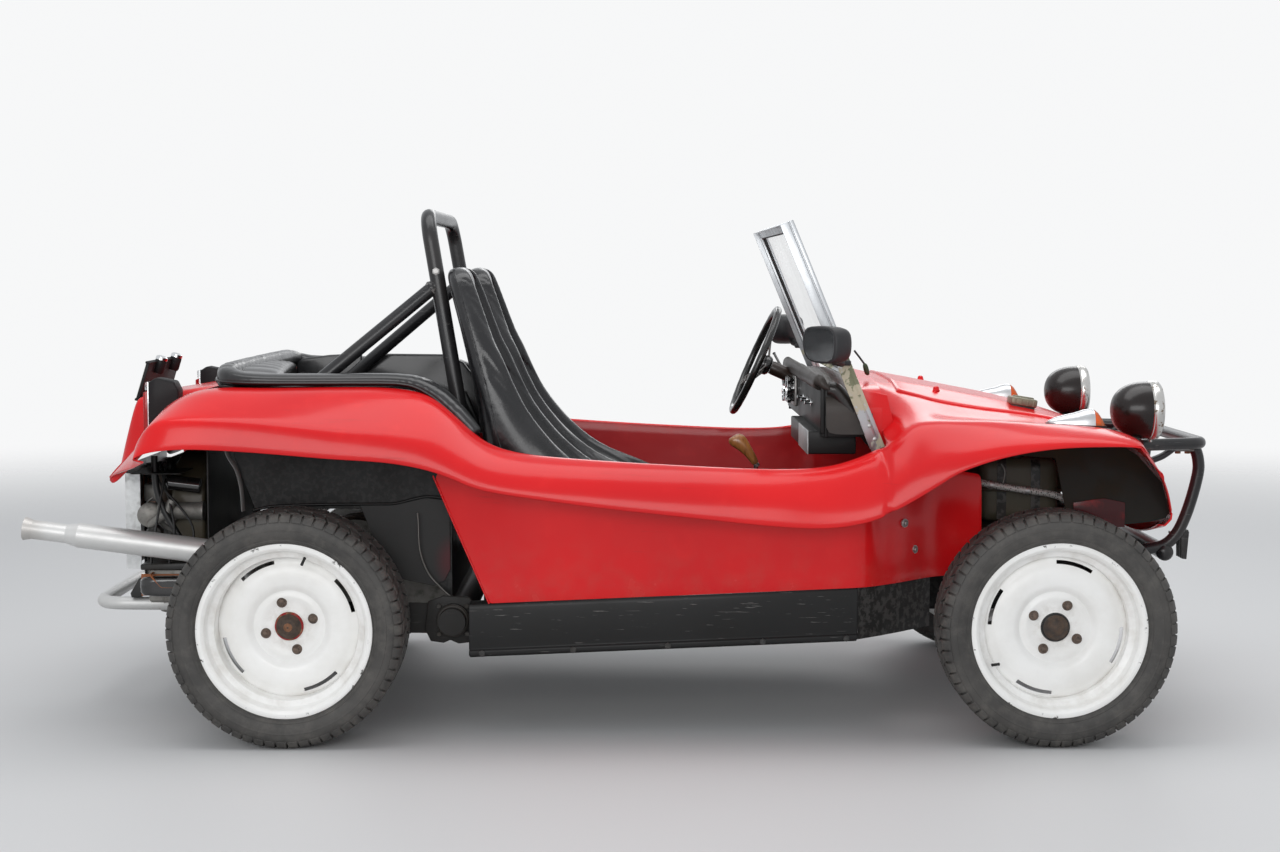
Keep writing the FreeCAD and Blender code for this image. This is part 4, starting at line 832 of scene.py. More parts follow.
# scuttle to nose: centre, bonnet middle, bonnet edge, valley, inner wing, wing top, crease, lip
nose = [
    [(700, 0, 943), (700, 250, 939), (700, 420, 925), (700, 569, 800),
     (700, 655, 790), (700, 710, 780), (700, 775, 680), (700, 790, 615)],
    [(760, 0, 930), (760, 250, 926), (760, 420, 903), (760, 562, 858),
     (760, 640, 838), (760, 700, 826), (760, 775, 720), (760, 790, 647)],
    [(820, 0, 920), (820, 250, 915), (820, 420, 887), (820, 552, 856),
     (820, 622, 848), (820, 690, 840), (820, 775, 748), (820, 790, 684)],
    [(880, 0, 909), (880, 250, 904), (880, 420, 870), (880, 542, 842),
     (880, 612, 846), (880, 685, 843), (880, 775, 765), (880, 790, 720)],
    [(990, 0, 888), (990, 250, 882), (990, 420, 852), (990, 540, 830),
     (990, 610, 842), (990, 680, 845), (990, 775, 793), (990, 790, 756)],
    [(1120, 0, 861), (1120, 250, 857), (1120, 420, 838), (1120, 540, 822),
     (1120, 610, 834), (1120, 680, 836), (1120, 775, 806), (1120, 790, 778)],
    [(1260, 0, 822), (1260, 250, 822), (1260, 420, 812), (1260, 540, 808),
     (1260, 610, 824), (1260, 680, 826), (1260, 772, 806), (1260, 790, 783)],
    [(1350, 0, 792), (1350, 250, 793), (1345, 420, 790), (1340, 540, 790),
     (1338, 610, 802), (1336, 680, 806), (1332, 765, 798), (1328, 788, 781)],
    [(1452, 0, 742), (1446, 250, 742), (1422, 420, 745), (1400, 530, 752),
     (1388, 600, 764), (1374, 665, 775), (1356, 735, 780), (1340, 780, 778)],
    [(1520, 0, 668), (1512, 250, 668), (1488, 430, 672), (1452, 530, 692),
     (1430, 590, 712), (1404, 650, 732), (1376, 710, 752), (1350, 765, 768)],
    [(1552, 0, 560), (1542, 250, 560), (1512, 440, 562), (1496, 480, 604),
     (1472, 530, 652), (1440, 590, 696), (1402, 650, 724), (1362, 730, 756)],
]
shell = {"wall": 0.0048, "flange": 0.013, "crease": (0.005, 0.018), "between": 3, "edgeDown": 0.028,
         "railSoft": 0.018, "noseSoft": (0.03, 0.03, 0.022, 0.02, 0.018, 0.015, 0.007),
         "firstKey": 100, "lastKey": 108}


def throughRows(rows, between):
    # more stations along each column, on a smooth line through the given ones
    columns = [curved([row[index] for row in rows], between) for index in range(len(rows[0]))]
    return [list(row) for row in zip(*columns)]


def bothSides(rows):
    # rows that start on the car's middle plane, carried over to its other side
    return [[Vector((spot.x, -spot.y, spot.z)) for spot in row[:0:-1]] + row for row in rows]


def softened(row, soft):
    # every corner of a section becomes two points, so that subdivision rounds it
    section = [row[0]]
    for index in range(1, len(row) - 1):
        before, corner, after = row[index - 1], row[index], row[index + 1]
        gap = soft[index - 1]
        back, on = before - corner, after - corner
        section.append(corner + back.normalized() * min(gap, back.length * 0.42))
        section.append(corner + on.normalized() * min(gap, on.length * 0.42))
    return section + [row[-1]]


def bodyShell():
    side = [[Vector(((point[2] if len(point) > 2 else station[0]), point[0], point[1])) / 1000
             for point in station[1:]] for station in rail]
    front = [[Vector(point) / 1000 for point in row] for row in nose]
    outer = throughRows(side + [row[4:] for row in front], shell["between"])
    inner = throughRows([row[:5] for row in front], shell["between"])
    join = len(outer) - len(inner)
    points, index = [], {}

    def put(key, spot):
        index[key] = len(points)
        points.append(spot)

    width = 0
    for row, section in enumerate(outer):
        flange = section[-1] + Vector((0, -shell["flange"], 0.003))
        inward = Vector((0, 0, -1)) if row > 3 else Vector((0.5, 0, -1)).normalized()
        if row < join:
            full = [section[0] + inward * shell["edgeDown"], section[0]] + section[1:] + [flange]
            sharp, gentle = shell["crease"]
            share = min(max((section[-2].x + 1.2) / 0.75, 0), 1)
            line = softened(full, [0.007, shell["railSoft"], sharp + (gentle - sharp) * share, 0.007])
            keys = range(shell["firstKey"], shell["firstKey"] + len(line))
        else:
            full = inner[row - join][:-1] + section + [flange]
            line = softened(full, shell["noseSoft"])
            keys = range(shell["lastKey"] - len(line), shell["lastKey"])
        for key, spot in zip(keys, line):
            put((row, key), spot)
        width = max(width, len(line))
    faces = []
    for row in range(len(outer) - 1):
        for key in range(shell["lastKey"] - width, shell["lastKey"]):
            corner = [index.get(spot) for spot in ((row, key), (row, key + 1),
                (row + 1, key + 1), (row + 1, key))]
            if None not in corner:
                faces.append(corner)
    thing = meshOf("bodyShell", points, faces, red, 0)
    applied(thing, ("MIRROR", {"use_axis": (False, True, False), "use_clip": True, "merge_threshold": 0.002}))
    applied(allSmooth(thing), smoother(2))
    tidy(thing, 0)
    facing = bmesh.new()
    facing.from_mesh(thing.data)
    facing.faces.ensure_lookup_table()
    top = max(facing.faces, key=lambda face: face.calc_center_median().z)
    if top.normal.z < 0:
        bmesh.ops.reverse_faces(facing, faces=facing.faces)
    facing.to_mesh(thing.data)
    facing.free()
    applied(thing, ("SOLIDIFY", {"thickness": shell["wall"], "offset": -1, "use_even_offset": False,
                                 "use_rim": True}))
    return allSmooth(thing)


ridden(bodyShell(), replaces=("front_moulding", "body_side_left", "body_side_right"))


# wheels and tyres

wheelSizes = {
    "front": {"x": 1.139, "track": 0.692, "rim": 0.075, "tread": 0.087, "recess": 0.064,
              "slots": (74, 162, 252, 344.5), "nuts": 61.5, "valve": 210},
    "rear": {"x": -0.861, "track": 0.677, "rim": 0.092, "tread": 0.108, "recess": 0.09,
             "slots": (118, 29, -60.6, 207.6), "nuts": 17.3, "valve": 75},
}
wheelShape = {"hub": 0.307, "flange": 0.229, "slotSpan": 33, "nutCircle": 0.065, "blocks": 62, "ribs": 56}
outward = (0, -1, 0)  # wheels are made for the right side, then mirrored


def rimPiece(size, paint):
    rim = size["rim"]
    half = shifted(rim, [(-0.0005, 0.2165), (0.0, 0.2225), (-0.0012, 0.2275), (-0.0035, 0.229),
        (-0.0062, 0.2275), (-0.0062, 0.222), (-0.0058, 0.2165), (-0.01, 0.2125), (-0.028, 0.2115),
        (-0.034, 0.208), (-0.043, 0.193), (-0.05, 0.19)])
    back = shifted(rim, [(-0.052, 0.1862), (-0.044, 0.1885), (-0.036, 0.203), (-0.028, 0.207),
        (-0.01, 0.208), (-0.004, 0.2115)])
    mirrored = [(-along, radius) for along, radius in half[::-1]]
    underneath = [(-along, radius) for along, radius in back[::-1]]
    return lathe("rim", half + mirrored + underneath + back, (0, 0, 0), outward, paint, 128, 25)


def discPiece(size, paint):
    face = size["rim"] - size["recess"]
    profile = shifted(face, [(0.0, 0.1865), (0.0035, 0.1805), (0.0045, 0.1775), (0.0065, 0.1675),
        (0.009, 0.163), (0.0125, 0.154), (0.015, 0.142), (0.0155, 0.128), (0.014, 0.114), (0.0115, 0.1065),
        (0.005, 0.099), (0.0015, 0.094), (0.0012, 0.088), (0.004, 0.082), (0.0045, 0.075), (0.002, 0.068),
        (0.0005, 0.056), (0.001, 0.042), (0.0035, 0.0385), (0.006, 0.0375)])
    steps = 144
    span = wheelShape["slotSpan"] / 2

    def slotted(index, step):
        angle = math.degrees(2 * math.pi * (step + 0.5) / steps) + 90
        return index == 2 and any(abs((angle - centre + 180) % 360 - 180) < span for centre in size["slots"])

    disc = lathe("disc", profile + [(profile[-1][0], 0)], (0, 0, 0), outward, paint, steps, 30,
                 lambda index, step: slotted(index, step) or index >= len(profile) - 1)
    middle = bmesh.new()
    middle.from_mesh(disc.data)
    bmesh.ops.delete(middle, geom=[spot for spot in middle.verts if not spot.link_faces], context="VERTS")
    if sum(face.normal.y for face in middle.faces) > 0:
        bmesh.ops.reverse_faces(middle, faces=middle.faces)
    middle.to_mesh(disc.data)
    middle.free()
    applied(disc, ("SOLIDIFY", {"thickness": 0.0042, "offset": -1}), rounded(0.0007, 1, 50))
    tidy(disc, 30)
    return disc


def hubPieces(end, size):
    face = size["rim"] - size["recess"]
    rest = []
    if end == "front":
        cap = shifted(face, [(0.026, 0), (0.0255, 0.01), (0.023, 0.019), (0.018, 0.0255), (0.014, 0.0275),
            (0.012, 0.0295), (0.004, 0.03), (-0.002, 0.03)])
        rest.append(lathe("greaseCap", cap + [(face - 0.002, 0)], (0, 0, 0), outward, rust, 48, 35))
        ring = shifted(face, [(0.001, 0.0305), (0.0085, 0.031), (0.0105, 0.033), (0.0095, 0.036),
            (0.004, 0.0385), (0.001, 0.039)])
        rest.append(lathe("hubRing", ring, (0, 0, 0), outward, black, 48, 35))
    else:
        collar = shifted(face, [(0.001, 0.02), (0.011, 0.022), (0.0125, 0.026), (0.012, 0.033),
            (0.008, 0.0375), (0.001, 0.0385)])
        rest.append(lathe("hubCollar", collar, (0, 0, 0), outward, rustRed, 48, 35))
        nut = lathe("axleNut", shifted(face, [(0.006, 0.0215), (0.019, 0.0215), (0.0205, 0.0195),
            (0.0205, 0.012), (0.006, 0.012)]), (0, 0, 0), outward, rust, 6, 20)
        applied(nut, rounded(0.0008, 2))
        rest.append(nut)
        rest.append(lathe("axleEnd", shifted(face, [(0.03, 0), (0.03, 0.0095), (0.028, 0.0115),
            (0.004, 0.0115), (0.004, 0)]), (0, 0, 0), outward, rust, 24, 30))
    skirt = lathe("boltSkirt", [(0.0065, 0), (0.006, 0.01), (0.003, 0.0128), (0.0, 0.0138),
        (-0.003, 0.0138), (-0.003, 0)], (0, 0, 0), outward, nutIron, 20, 40)
    crown = lathe("boltCrown", [(0.0175, 0), (0.0172, 0.004), (0.016, 0.0072), (0.0145, 0.0088),
        (0.005, 0.0098), (0.005, 0)], (0, 0, 0), outward, nutIron, 6, 50)
    bolt = joined("bolt", [skirt, crown])
    placed(bolt, Matrix.Translation((0, -face - 0.0018, wheelShape["nutCircle"])))
    rest.append(repeated("wheelBolts", bolt, ringTree, nutIron, Count=4,
                         Start=math.radians(90 - size["nuts"])))
    angle = math.radians(size["valve"])
    foot = Vector((math.cos(angle) * 0.196, -size["rim"] + 0.05, math.sin(angle) * 0.196))
    tip = Vector((math.cos(angle) * 0.178, -size["rim"] + 0.018, math.sin(angle) * 0.178))
    rest.append(tubeAlong("valve", [foot, foot.lerp(tip, 0.35), foot.lerp(tip, 0.8), tip],
                          [0.0055, 0.0038, 0.0036, 0.0042], rubber, 12))
    return rest


def tyrePiece(size, look):
    tread, rim = size["tread"], size["rim"]
    side = [(rim - 0.0046, 0.2124), (rim - 0.004, 0.22), (rim - 0.002, 0.23), (rim + 0.001, 0.2325),
        (tread - 0.009, 0.2345), (tread - 0.0065, 0.2385), (tread - 0.0068, 0.2402), (tread - 0.004,
        0.244), (tread - 0.0015, 0.252), (tread - 0.0003, 0.261), (tread - 0.0004, 0.263), (tread, 0.264),
        (tread, 0.2665), (tread - 0.0008, 0.2675), (tread - 0.0008, 0.2715), (tread - 0.002, 0.279),
        (tread - 0.0045, 0.2855), (tread - 0.0085, 0.291), (tread - 0.0145, 0.2955), (tread - 0.023,
        0.2985), (tread - 0.036, 0.2995), (0.007, 0.3005), (0.0065, 0.306), (0.005, 0.3068)]
    profile = side + [(-along, radius) for along, radius in side[::-1]]
    inner = [(-rim + 0.018, 0.2124), (-tread + 0.011, 0.25), (-tread + 0.022, 0.288), (tread - 0.022, 0.288),
             (tread - 0.011, 0.25), (rim - 0.018, 0.2124)]
    carcass = lathe("carcass", profile + inner, (0, 0, 0), outward, look, 144, 28)
    blockWidth = 2 * math.pi * 0.3 / wheelShape["blocks"] - 0.0052
    outline = shifted(tread, [(-0.03, 0.2975), (-0.03, 0.3062), (-0.024, 0.306), (-0.0165, 0.3035),
        (-0.009, 0.2975), (-0.004, 0.2905), (-0.0022, 0.285), (-0.006, 0.284), (-0.014, 0.29)])
    pieces = [carcass]
    for flip in (1, -1):
        shoulder = slab("shoulder", [(-along * flip, radius) for along, radius in outline], -blockWidth / 2,
                        blockWidth / 2, look, 0.0012, "x", 1)
        pieces.append(repeated("shoulders", shoulder, ringTree, look, Count=wheelShape["blocks"],
                               Start=0.03 * flip, Wander=0.002))
        near, far = 0.0105, tread - 0.0345
        ribStep = 2 * math.pi * 0.3 / wheelShape["ribs"] - 0.006
        lean = 0.008
        plan = [(-ribStep / 2 - lean, -near * flip), (ribStep / 2 - lean, -near * flip),
                (ribStep / 2 + lean, -far * flip), (-ribStep / 2 + lean, -far * flip)]
        rib = slab("rib", plan, 0.299, 0.3064, look, 0.0011, "z", 1)
        pieces.append(repeated("ribs", rib, ringTree, look, Count=wheelShape["ribs"],
            Start=0.05 + 0.02 * flip, Wander=0.002))
    return joined("tyre", pieces)


def fitWheels():
    for end, size in wheelSizes.items():
        middle = (size["x"], 0, wheelShape["hub"])
        paint = wheelEnamel(end + "Enamel", middle, wheelShape["flange"])
        look = tyreRubber(end + "Rubber", middle, 0.307)
        wheel = joined("wheel", [rimPiece(size, paint), discPiece(size, paint)] + hubPieces(end, size))
        tyre = tyrePiece(size, look)
        for label, side in sides:
            shift = Matrix.Translation((size["x"], side * size["track"], wheelShape["hub"]))
            if side > 0:
                shift = shift @ acrossCar()
            corner = end + "_" + label
            ridden(copied(wheel, "steelWheel_" + corner, shift), "wheel_" + corner,
                ("wheel_" + corner,))
            ridden(copied(tyre, "treadedTyre_" + corner, shift), "wheel_" + corner,
                ("tyre_" + corner,))
        bpy.data.objects.remove(wheel)
        bpy.data.objects.remove(tyre)


def dress(material, *names):
    for name in names:
        mesh = nodes[name].data
        mesh.materials.clear()
        mesh.materials.append(material)


fitWheels()
drumLook = rusty("drumIron", (0.035, 0.028, 0.024), (0.09, 0.055, 0.035), 0.75)
dress(drumLook, "drum_front_left", "drum_front_right", "drum_rear_left", "drum_rear_right")
print("wheels and tyres done")


# lower side panels, tail, bonnet lid, sills and outriggers

# from the rear edge forward, mm: foot x, top x, foot y, top y, top z
panel = [(-343, -493, 655, 596, 692), (-300, -375, 655, 630, 781), (-230, -260, 655, 667, 752),
    (-40, -40, 655, 678, 738), (200, 200, 655, 683, 724), (400, 400, 655, 683, 716), (540, 540, 655,
    678, 722), (640, 640, 650, 668, 742), (700, 700, 608, 590, 738), (760, 760, 555, 535, 718),
    (850, 850, 465, 450, 698), (930, 930, 428, 420, 688), (992, 992, 425, 418, 678)]
# x of the shoulder, middle height, shoulder height, half width, x of the middle
tail = [(-1108, 919, 917, 557, -1108), (-1190, 906, 884, 555, -1190), (-1245, 897, 811, 537, -1248),
        (-1290, 889, 766, 505, -1300), (-1325, 881, 735, 482, -1342), (-1345, 866, 717, 466, -1362),
        (-1368, 780, 696, 450, -1386), (-1392, 700, 671, 432, -1404)]
sill = {"rear": -0.3947, "front": 0.63, "low": (0.213, 0.256), "high": (0.358, 0.401),
    "out": 0.653, "in": 0.583}


def faceUp(thing, towards):
    # the sheet's outer side looks along towards
    shape = bmesh.new()
    shape.from_mesh(thing.data)
    if sum(face.normal.dot(Vector(towards)) * face.calc_area() for face in shape.faces) < 0:
        bmesh.ops.reverse_faces(shape, faces=shape.faces)
    shape.to_mesh(thing.data)
    shape.free()
    return thing


def sheetOf(name, rows, material, towards, thickness, under=None, bevel=0.0):
    count = len(rows[0])
    points = [spot for row in rows for spot in row]
    faces = [(r * count + c, r * count + c + 1, (r + 1) * count + c + 1, (r + 1) * count + c)
             for r in range(len(rows) - 1) for c in range(count - 1)]
    thing = meshOf(name, points, faces, material, 0)
    allSmooth(faceUp(thing, towards))
    if under:
        thing.data.materials.append(under)
    applied(thing, smoother(1))
    settings = {"thickness": thickness, "offset": -1, "use_even_offset": False}
    if under:
        settings["material_offset"] = 1
    applied(thing, ("SOLIDIFY", settings))
    if bevel:
        applied(thing, rounded(bevel, 2, 60))
    return creased(allSmooth(thing), 50)


def sillTop(x):
    share = min((x - sill["rear"]) / (sill["front"] - sill["rear"]), 1.0)
    return sill["high"][0] + (sill["high"][1] - sill["high"][0]) * share


def sidePanel():
    rows = []
    for footX, topX, footY, topY, topZ in panel:
        foot = Vector((footX / 1000, -footY / 1000, sillTop(footX / 1000) + 0.0015))
        top = Vector((topX / 1000, -topY / 1000, topZ / 1000))
        row = []
        for step in range(7):
            share = step / 6
            spot = foot.lerp(top, share)
            spot.y -= 0.004 * math.sin(math.pi * share)
            row.append(spot)
        rows.append(row)
    rows = throughRows(rows, 3)
    # the panels' inner faces take the darker red that stands for shade (painted shade)
    skin = sheetOf("sidePanel", rows, red, (0, -1, 0), 0.004, redInnerPaintedShade, 0.0008)
    edge, back = rows[0], rows[3]
    strip = []
    for share, out in ((0.0, 0.0005), (0.03, 0.0035), (0.2, 0.0038), (0.26, 0.0028), (0.29, 0.0004)):
        strip.append([near.lerp(far, share * 0.026 / 0.0285 * 0.65 / max((far - near).length / 0.0285, 0.4))
                      + Vector((0, -out, 0)) for near, far in zip(edge, back)])
    flange = sheetOf("panelFlange", strip, red, (0, -1, 0), 0.003)
    bolts = []
    for x, y, z in ((0.765, -0.5515, 0.561), (0.797, -0.5135, 0.485)):
        bolts.append(lathe("panelBolt", [(0.0, 0.0095), (0.0022, 0.0095), (0.0028, 0.0085),
            (0.0028, 0.0062), (0.0075, 0.0058), (0.0085, 0.0046), (0.0085, 0)], (x, y, z),
            (0.55, -0.83, 0), steel, 18, 30))
        bolts.append(lathe("boltWasher", [(-0.003, 0), (-0.003, 0.0115), (0.0012, 0.0115), (0.0012, 0)],
                           (x, y, z), (0.55, -0.83, 0), galvanised, 18, 30))
    return joined("sidePanels", [skin, flange] + bolts)


lowerPanels = sidePanel()
ridden(copied(lowerPanels, "lowerPanelLeft", acrossCar()), replaces=("side_panel_left",))
lowerPanels.name = "lowerPanelRight"
ridden(lowerPanels, replaces=("side_panel_right",))


def tailPanel():
    rows = []
    for x, middle, shoulder, half, ahead in tail:
        at = lambda y, z: Vector((x + (ahead - x) * min(max((305 - y) / 60, 0), 1), y, z)) / 1000
        drop = middle - shoulder
        rows.append([at(0, middle), at(150, middle), at(232, middle), at(247, middle - drop * 0.04),
            at(258, middle - drop * 0.3), at(272, shoulder + drop * 0.25), at(285, shoulder + drop * 0.03),
            at(305, shoulder), at(half * 0.8 + 60, shoulder), at(half, shoulder)])
    rows = throughRows(rows, 3)
    whole = bothSides(rows)
    return sheetOf("tailPanel", whole, red, (-0.5, 0, 1), 0.004, wellBlack)


ridden(tailPanel(), replaces=("tail_panel",))


def bonnetLid():
    lift, rows = 0.0062, []
    for station in [row[:3] for row in nose[1:7]]:
        centre, middle, edge = [Vector(point) / 1000 for point in station]
        edge.z += (middle.z - edge.z) * 0.1
        edge.y = 0.399
        spots = []
        for share in (0, 0.25, 0.5, 0.75, 1.0):
            spots.append(centre.lerp(middle, share))
        for share in (0.25, 0.5, 0.75, 0.93):
            spots.append(middle.lerp(edge, share))
        spots += [edge + Vector((0, 0, -0.0012)), edge + Vector((0.0, 0.001, -0.009))]
        rows.append([spot + Vector((0, 0, lift)) for spot in spots])
    rows = throughRows(rows, 3)
    for end in (0, -1):
        extra = [spot + Vector((0, 0, -0.0085)) for spot in rows[end]]
        nearly = [spot.copy() for spot in rows[end]]
        if end == 0:
            rows = [extra, nearly] + [[spot + Vector((0.008, 0, 0)) for spot in rows[0]]] + rows[1:]
        else:
            rows = rows[:-1] + [[spot + Vector((-0.008, 0, 0)) for spot in rows[-1]]] + [nearly, extra]
    whole = bothSides(rows)
    lid = sheetOf("bonnetSkin", whole, red, (0, 0, 1), 0.0035)
    dome = [(0.0, 0.0105), (0.0012, 0.0105), (0.003, 0.0095), (0.0045, 0.0085), (0.0085, 0.008),
        (0.011, 0.0065), (0.0124, 0.0035), (0.0127, 0)]
    extras = []
    for x, y in ((0.884, -0.29), (0.911, 0.205)):
        extras.append(lathe("fastener", dome, (x, y, 0), (0, 0, 1), red, 20, 50))
    for stud in extras:
        middle = sum((corner.co for corner in stud.data.vertices), Vector()) / len(stud.data.vertices)
        spot = lid.ray_cast(Vector((middle.x, middle.y, 2)), Vector((0, 0, -1)))[1]
        stud.data.transform(Matrix.Translation((0, 0, spot.z - 0.001)))
    return joined("bonnetLid", [lid] + extras)


ridden(bonnetLid(), replaces=("bonnet",))


def sillBoxes():
    rows = []
    for x, low, high in ((sill["rear"], sill["low"][0], sill["high"][0]),
            (sill["front"], sill["low"][1], sill["high"][1])):
        out, inner = -sill["out"], -sill["in"]
        rows.append([Vector(spot) for spot in ((x, inner, low), (x, out + 0.024, low),
            (x, out + 0.022, low + 0.006), (x, out + 0.0015, low + 0.008), (x, out + 0.001, low + 0.02),
            (x, out + 0.007, low + 0.0245), (x, out + 0.004, low + 0.04), (x, out, high - 0.012),
            (x, out + 0.004, high), (x, inner, high))])
    count = len(rows[0])
    points = rows[0] + rows[1]
    faces = [tuple(range(count)), tuple(range(2 * count - 1, count - 1, -1))]
    faces += [(i, (i + 1) % count, (i + 1) % count + count, i + count) for i in range(count)]
    box = meshOf("sillBox", points, faces, black, 40)
    applied(box, rounded(0.003, 3, 25))
    tidy(box, 40)
    extras = []
    for x in (-0.36, -0.12, 0.13, 0.38, 0.6):
        bottom = sill["low"][0] + (sill["low"][1] - sill["low"][0]) * (x
            - sill["rear"]) / (sill["front"] - sill["rear"])
        extras.append(lathe("sillBolt", [(-0.001, 0), (-0.001, 0.009), (0.0045, 0.009), (0.0055, 0.008),
            (0.0055, 0)], (x, -sill["out"] + 0.0035, bottom + 0.0135), (0, -1, 0), engineBlack, 6, 20))
    return joined("sillRight", [box] + extras)


sillRight = sillBoxes()
ridden(onBothSides(sillRight, "sillPair"), replaces=("sills",))


def better(material, *names):
    for name in names:
        slots = nodes[name].data.materials
        for index in range(len(slots)):
            slots[index] = material


better(chassisBlack, "outriggers", "torsion_tube", "front_axle_beam", "knuckle_left", "knuckle_right")
better(wellBlack, "rear_tub", "floor_pan")
better(barBlack, "roll_bar")
better(castAlloy, "gearbox")
better(pipeSilver, "exhaust")
print("panels done")


# padded pieces: lofted, then swelled as cloth under a little air, with seams and piping added after

padding = {"voxel": 0.006, "rollVoxel": 0.005, "quiltVoxel": 0.0055, "pressure": 4.0, "frames": 20,
           "seatCap": 0.01, "rollCap": 0.006, "seamReach": 0.009, "boardReach": 0.03,
           "benchSeam": (0.007, 0.01)}


def loftOf(name, rings, material, smooth=1, around=False):
    count = len(rings[0])
    points = [spot for ring in rings for spot in ring]
    faces = []
    for row in range(len(rings) if around else len(rings) - 1):
        for step in range(count):
            one, two = row * count, ((row + 1) % len(rings)) * count
            after = (step + 1) % count
            faces.append((one + step, one + after, two + after, two + step))
    if not around:
        faces += [tuple(range(count)), tuple(range((len(rings) - 1) * count, len(rings) * count))]
    thing = allSmooth(meshOf(name, points, faces, material, 0))
    if smooth:
        applied(thing, smoother(smooth))
    return thing


def treeOf(spots):
    tree = KDTree(len(spots))
    for index, spot in enumerate(spots):
        tree.insert(spot, index)
    tree.balance()
    return tree


def settled(thing):
    # evens out the swelled cover
    applied(thing, ("SMOOTH", {"factor": 0.5, "iterations": 2}))
    return thing


def swelled(thing, cap, held=None, voxel=None):
    # held(spot) gives 1 where a seam or board keeps the cover down
    look = thing.data.materials[0]
    applied(thing, ("REMESH", {"mode": "VOXEL", "voxel_size": voxel or padding["voxel"],
        "use_smooth_shade": True}))
    start = [spot.co.copy() for spot in thing.data.vertices]
    change = thing.modifiers.new("air", "CLOTH")
    cloth = change.settings
    cloth.use_pressure, cloth.uniform_pressure_force = True, padding["pressure"]
    cloth.effector_weights.gravity = 0
    cloth.quality, cloth.mass = 5, 0.35
    cloth.tension_stiffness = cloth.compression_stiffness = 14
    cloth.bending_stiffness = 0.6
    change.collision_settings.use_collision = False
    change.point_cache.frame_start, change.point_cache.frame_end = 1, padding["frames"]
    if held:
        group = thing.vertex_groups.new(name="held")
        for index, spot in enumerate(start):
            weight = held(spot)
            if weight > 0:
                group.add([index], min(weight, 1.0), "REPLACE")
        cloth.vertex_group_mass = "held"
        cloth.pin_stiffness = 1.0
    for frameNumber in range(1, padding["frames"] + 1):
        scene.frame_set(frameNumber)
    graph = bpy.context.evaluated_depsgraph_get()
    mesh = bpy.data.meshes.new_from_object(thing.evaluated_get(graph))
    thing.modifiers.clear()
    thing.vertex_groups.clear()
    for spot, before in zip(mesh.vertices, start):
        move = spot.co - before
        if move.length > cap:
            spot.co = before + move.normalized() * cap
    thing.data = mesh
    mesh.materials.clear()
    mesh.materials.append(look)
    scene.frame_set(1)
    return allSmooth(thing)


def pressedIn(thing, lines, depth, wide):
    # sewn lines drawn into the cover
    trees = [treeOf(line) for line in lines]
    normals = [spot.normal.copy() for spot in thing.data.vertices]
    for spot, normal in zip(thing.data.vertices, normals):
        near = min(tree.find(spot.co)[2] for tree in trees)
        if near < wide * 3:
            spot.co -= normal * depth * math.exp(-(near / wide) ** 2)
    return thing


def pipingOn(thing, name, line, radius, material, lift=0.0, steps=8):
    # a cord sewn along a line on the cover
    shape = bmesh.new()
    shape.from_mesh(thing.data)
    surface = BVHTree.FromBMesh(shape)
    shape.free()
    way = []
    for spot in line:
        found, normal = surface.find_nearest(spot)[:2]
        way.append(found + normal * lift)
    for again in range(2):
        way = [way[0]] + [(a + b * 2 + c) / 4 for a, b, c in zip(way, way[1:], way[2:])] + [way[-1]]
    return tubeAlong(name, way, radius, material, steps)


# bucket seat, metres: cushion line, roll line and back line as x, z, then half width and roll width
bucket = [
    ((0.14, 0.4), (0.146, 0.4), (0.11, 0.388), 0.2, 0.05),
    ((0.158, 0.44), (0.164, 0.45), (0.09, 0.392), 0.21, 0.056),
    ((0.16, 0.5), (0.171, 0.515), (0.05, 0.398), 0.216, 0.06),
    ((0.14, 0.548), (0.16, 0.575), (0.0, 0.402), 0.219, 0.062),
    ((0.085, 0.556), (0.108, 0.623), (-0.05, 0.406), 0.22, 0.063),
    ((0.01, 0.545), (0.018, 0.66), (-0.11, 0.41), 0.22, 0.064),
    ((-0.08, 0.53), (-0.07, 0.702), (-0.18, 0.416), 0.22, 0.066),
    ((-0.155, 0.525), (-0.13, 0.752), (-0.25, 0.424), 0.22, 0.068),
    ((-0.205, 0.56), (-0.182, 0.803), (-0.3, 0.47), 0.22, 0.07),
    ((-0.235, 0.64), (-0.226, 0.85), (-0.328, 0.57), 0.219, 0.07),
    ((-0.262, 0.74), (-0.26, 0.893), (-0.35, 0.69), 0.217, 0.068),
    ((-0.286, 0.83), (-0.284, 0.94), (-0.366, 0.79), 0.214, 0.065),
    ((-0.3, 0.905), (-0.301, 0.98), (-0.38, 0.88), 0.208, 0.062),
    ((-0.316, 0.944), (-0.316, 1.015), (-0.39, 0.925), 0.203, 0.06),
    ((-0.356, 0.96), (-0.331, 1.045), (-0.398, 0.96), 0.197, 0.058),
    ((-0.376, 1.01), (-0.343, 1.075), (-0.411, 1.015), 0.188, 0.056),
    ((-0.396, 1.08), (-0.358, 1.115), (-0.428, 1.085), 0.176, 0.053),
    ((-0.404, 1.14), (-0.375, 1.16), (-0.443, 1.14), 0.162, 0.05),
    ((-0.406, 1.18), (-0.388, 1.197), (-0.455, 1.185), 0.15, 0.047),
    ((-0.409, 1.21), (-0.398, 1.222), (-0.462, 1.212), 0.136, 0.044),
    ((-0.417, 1.232), (-0.409, 1.238), (-0.464, 1.229), 0.115, 0.04),
    ((-0.436, 1.245), (-0.434, 1.246), (-0.456, 1.242), 0.085, 0.034),
]
seatBase = {"low": (-0.24, -0.18, 0.268), "high": (0.09, 0.18, 0.395)}


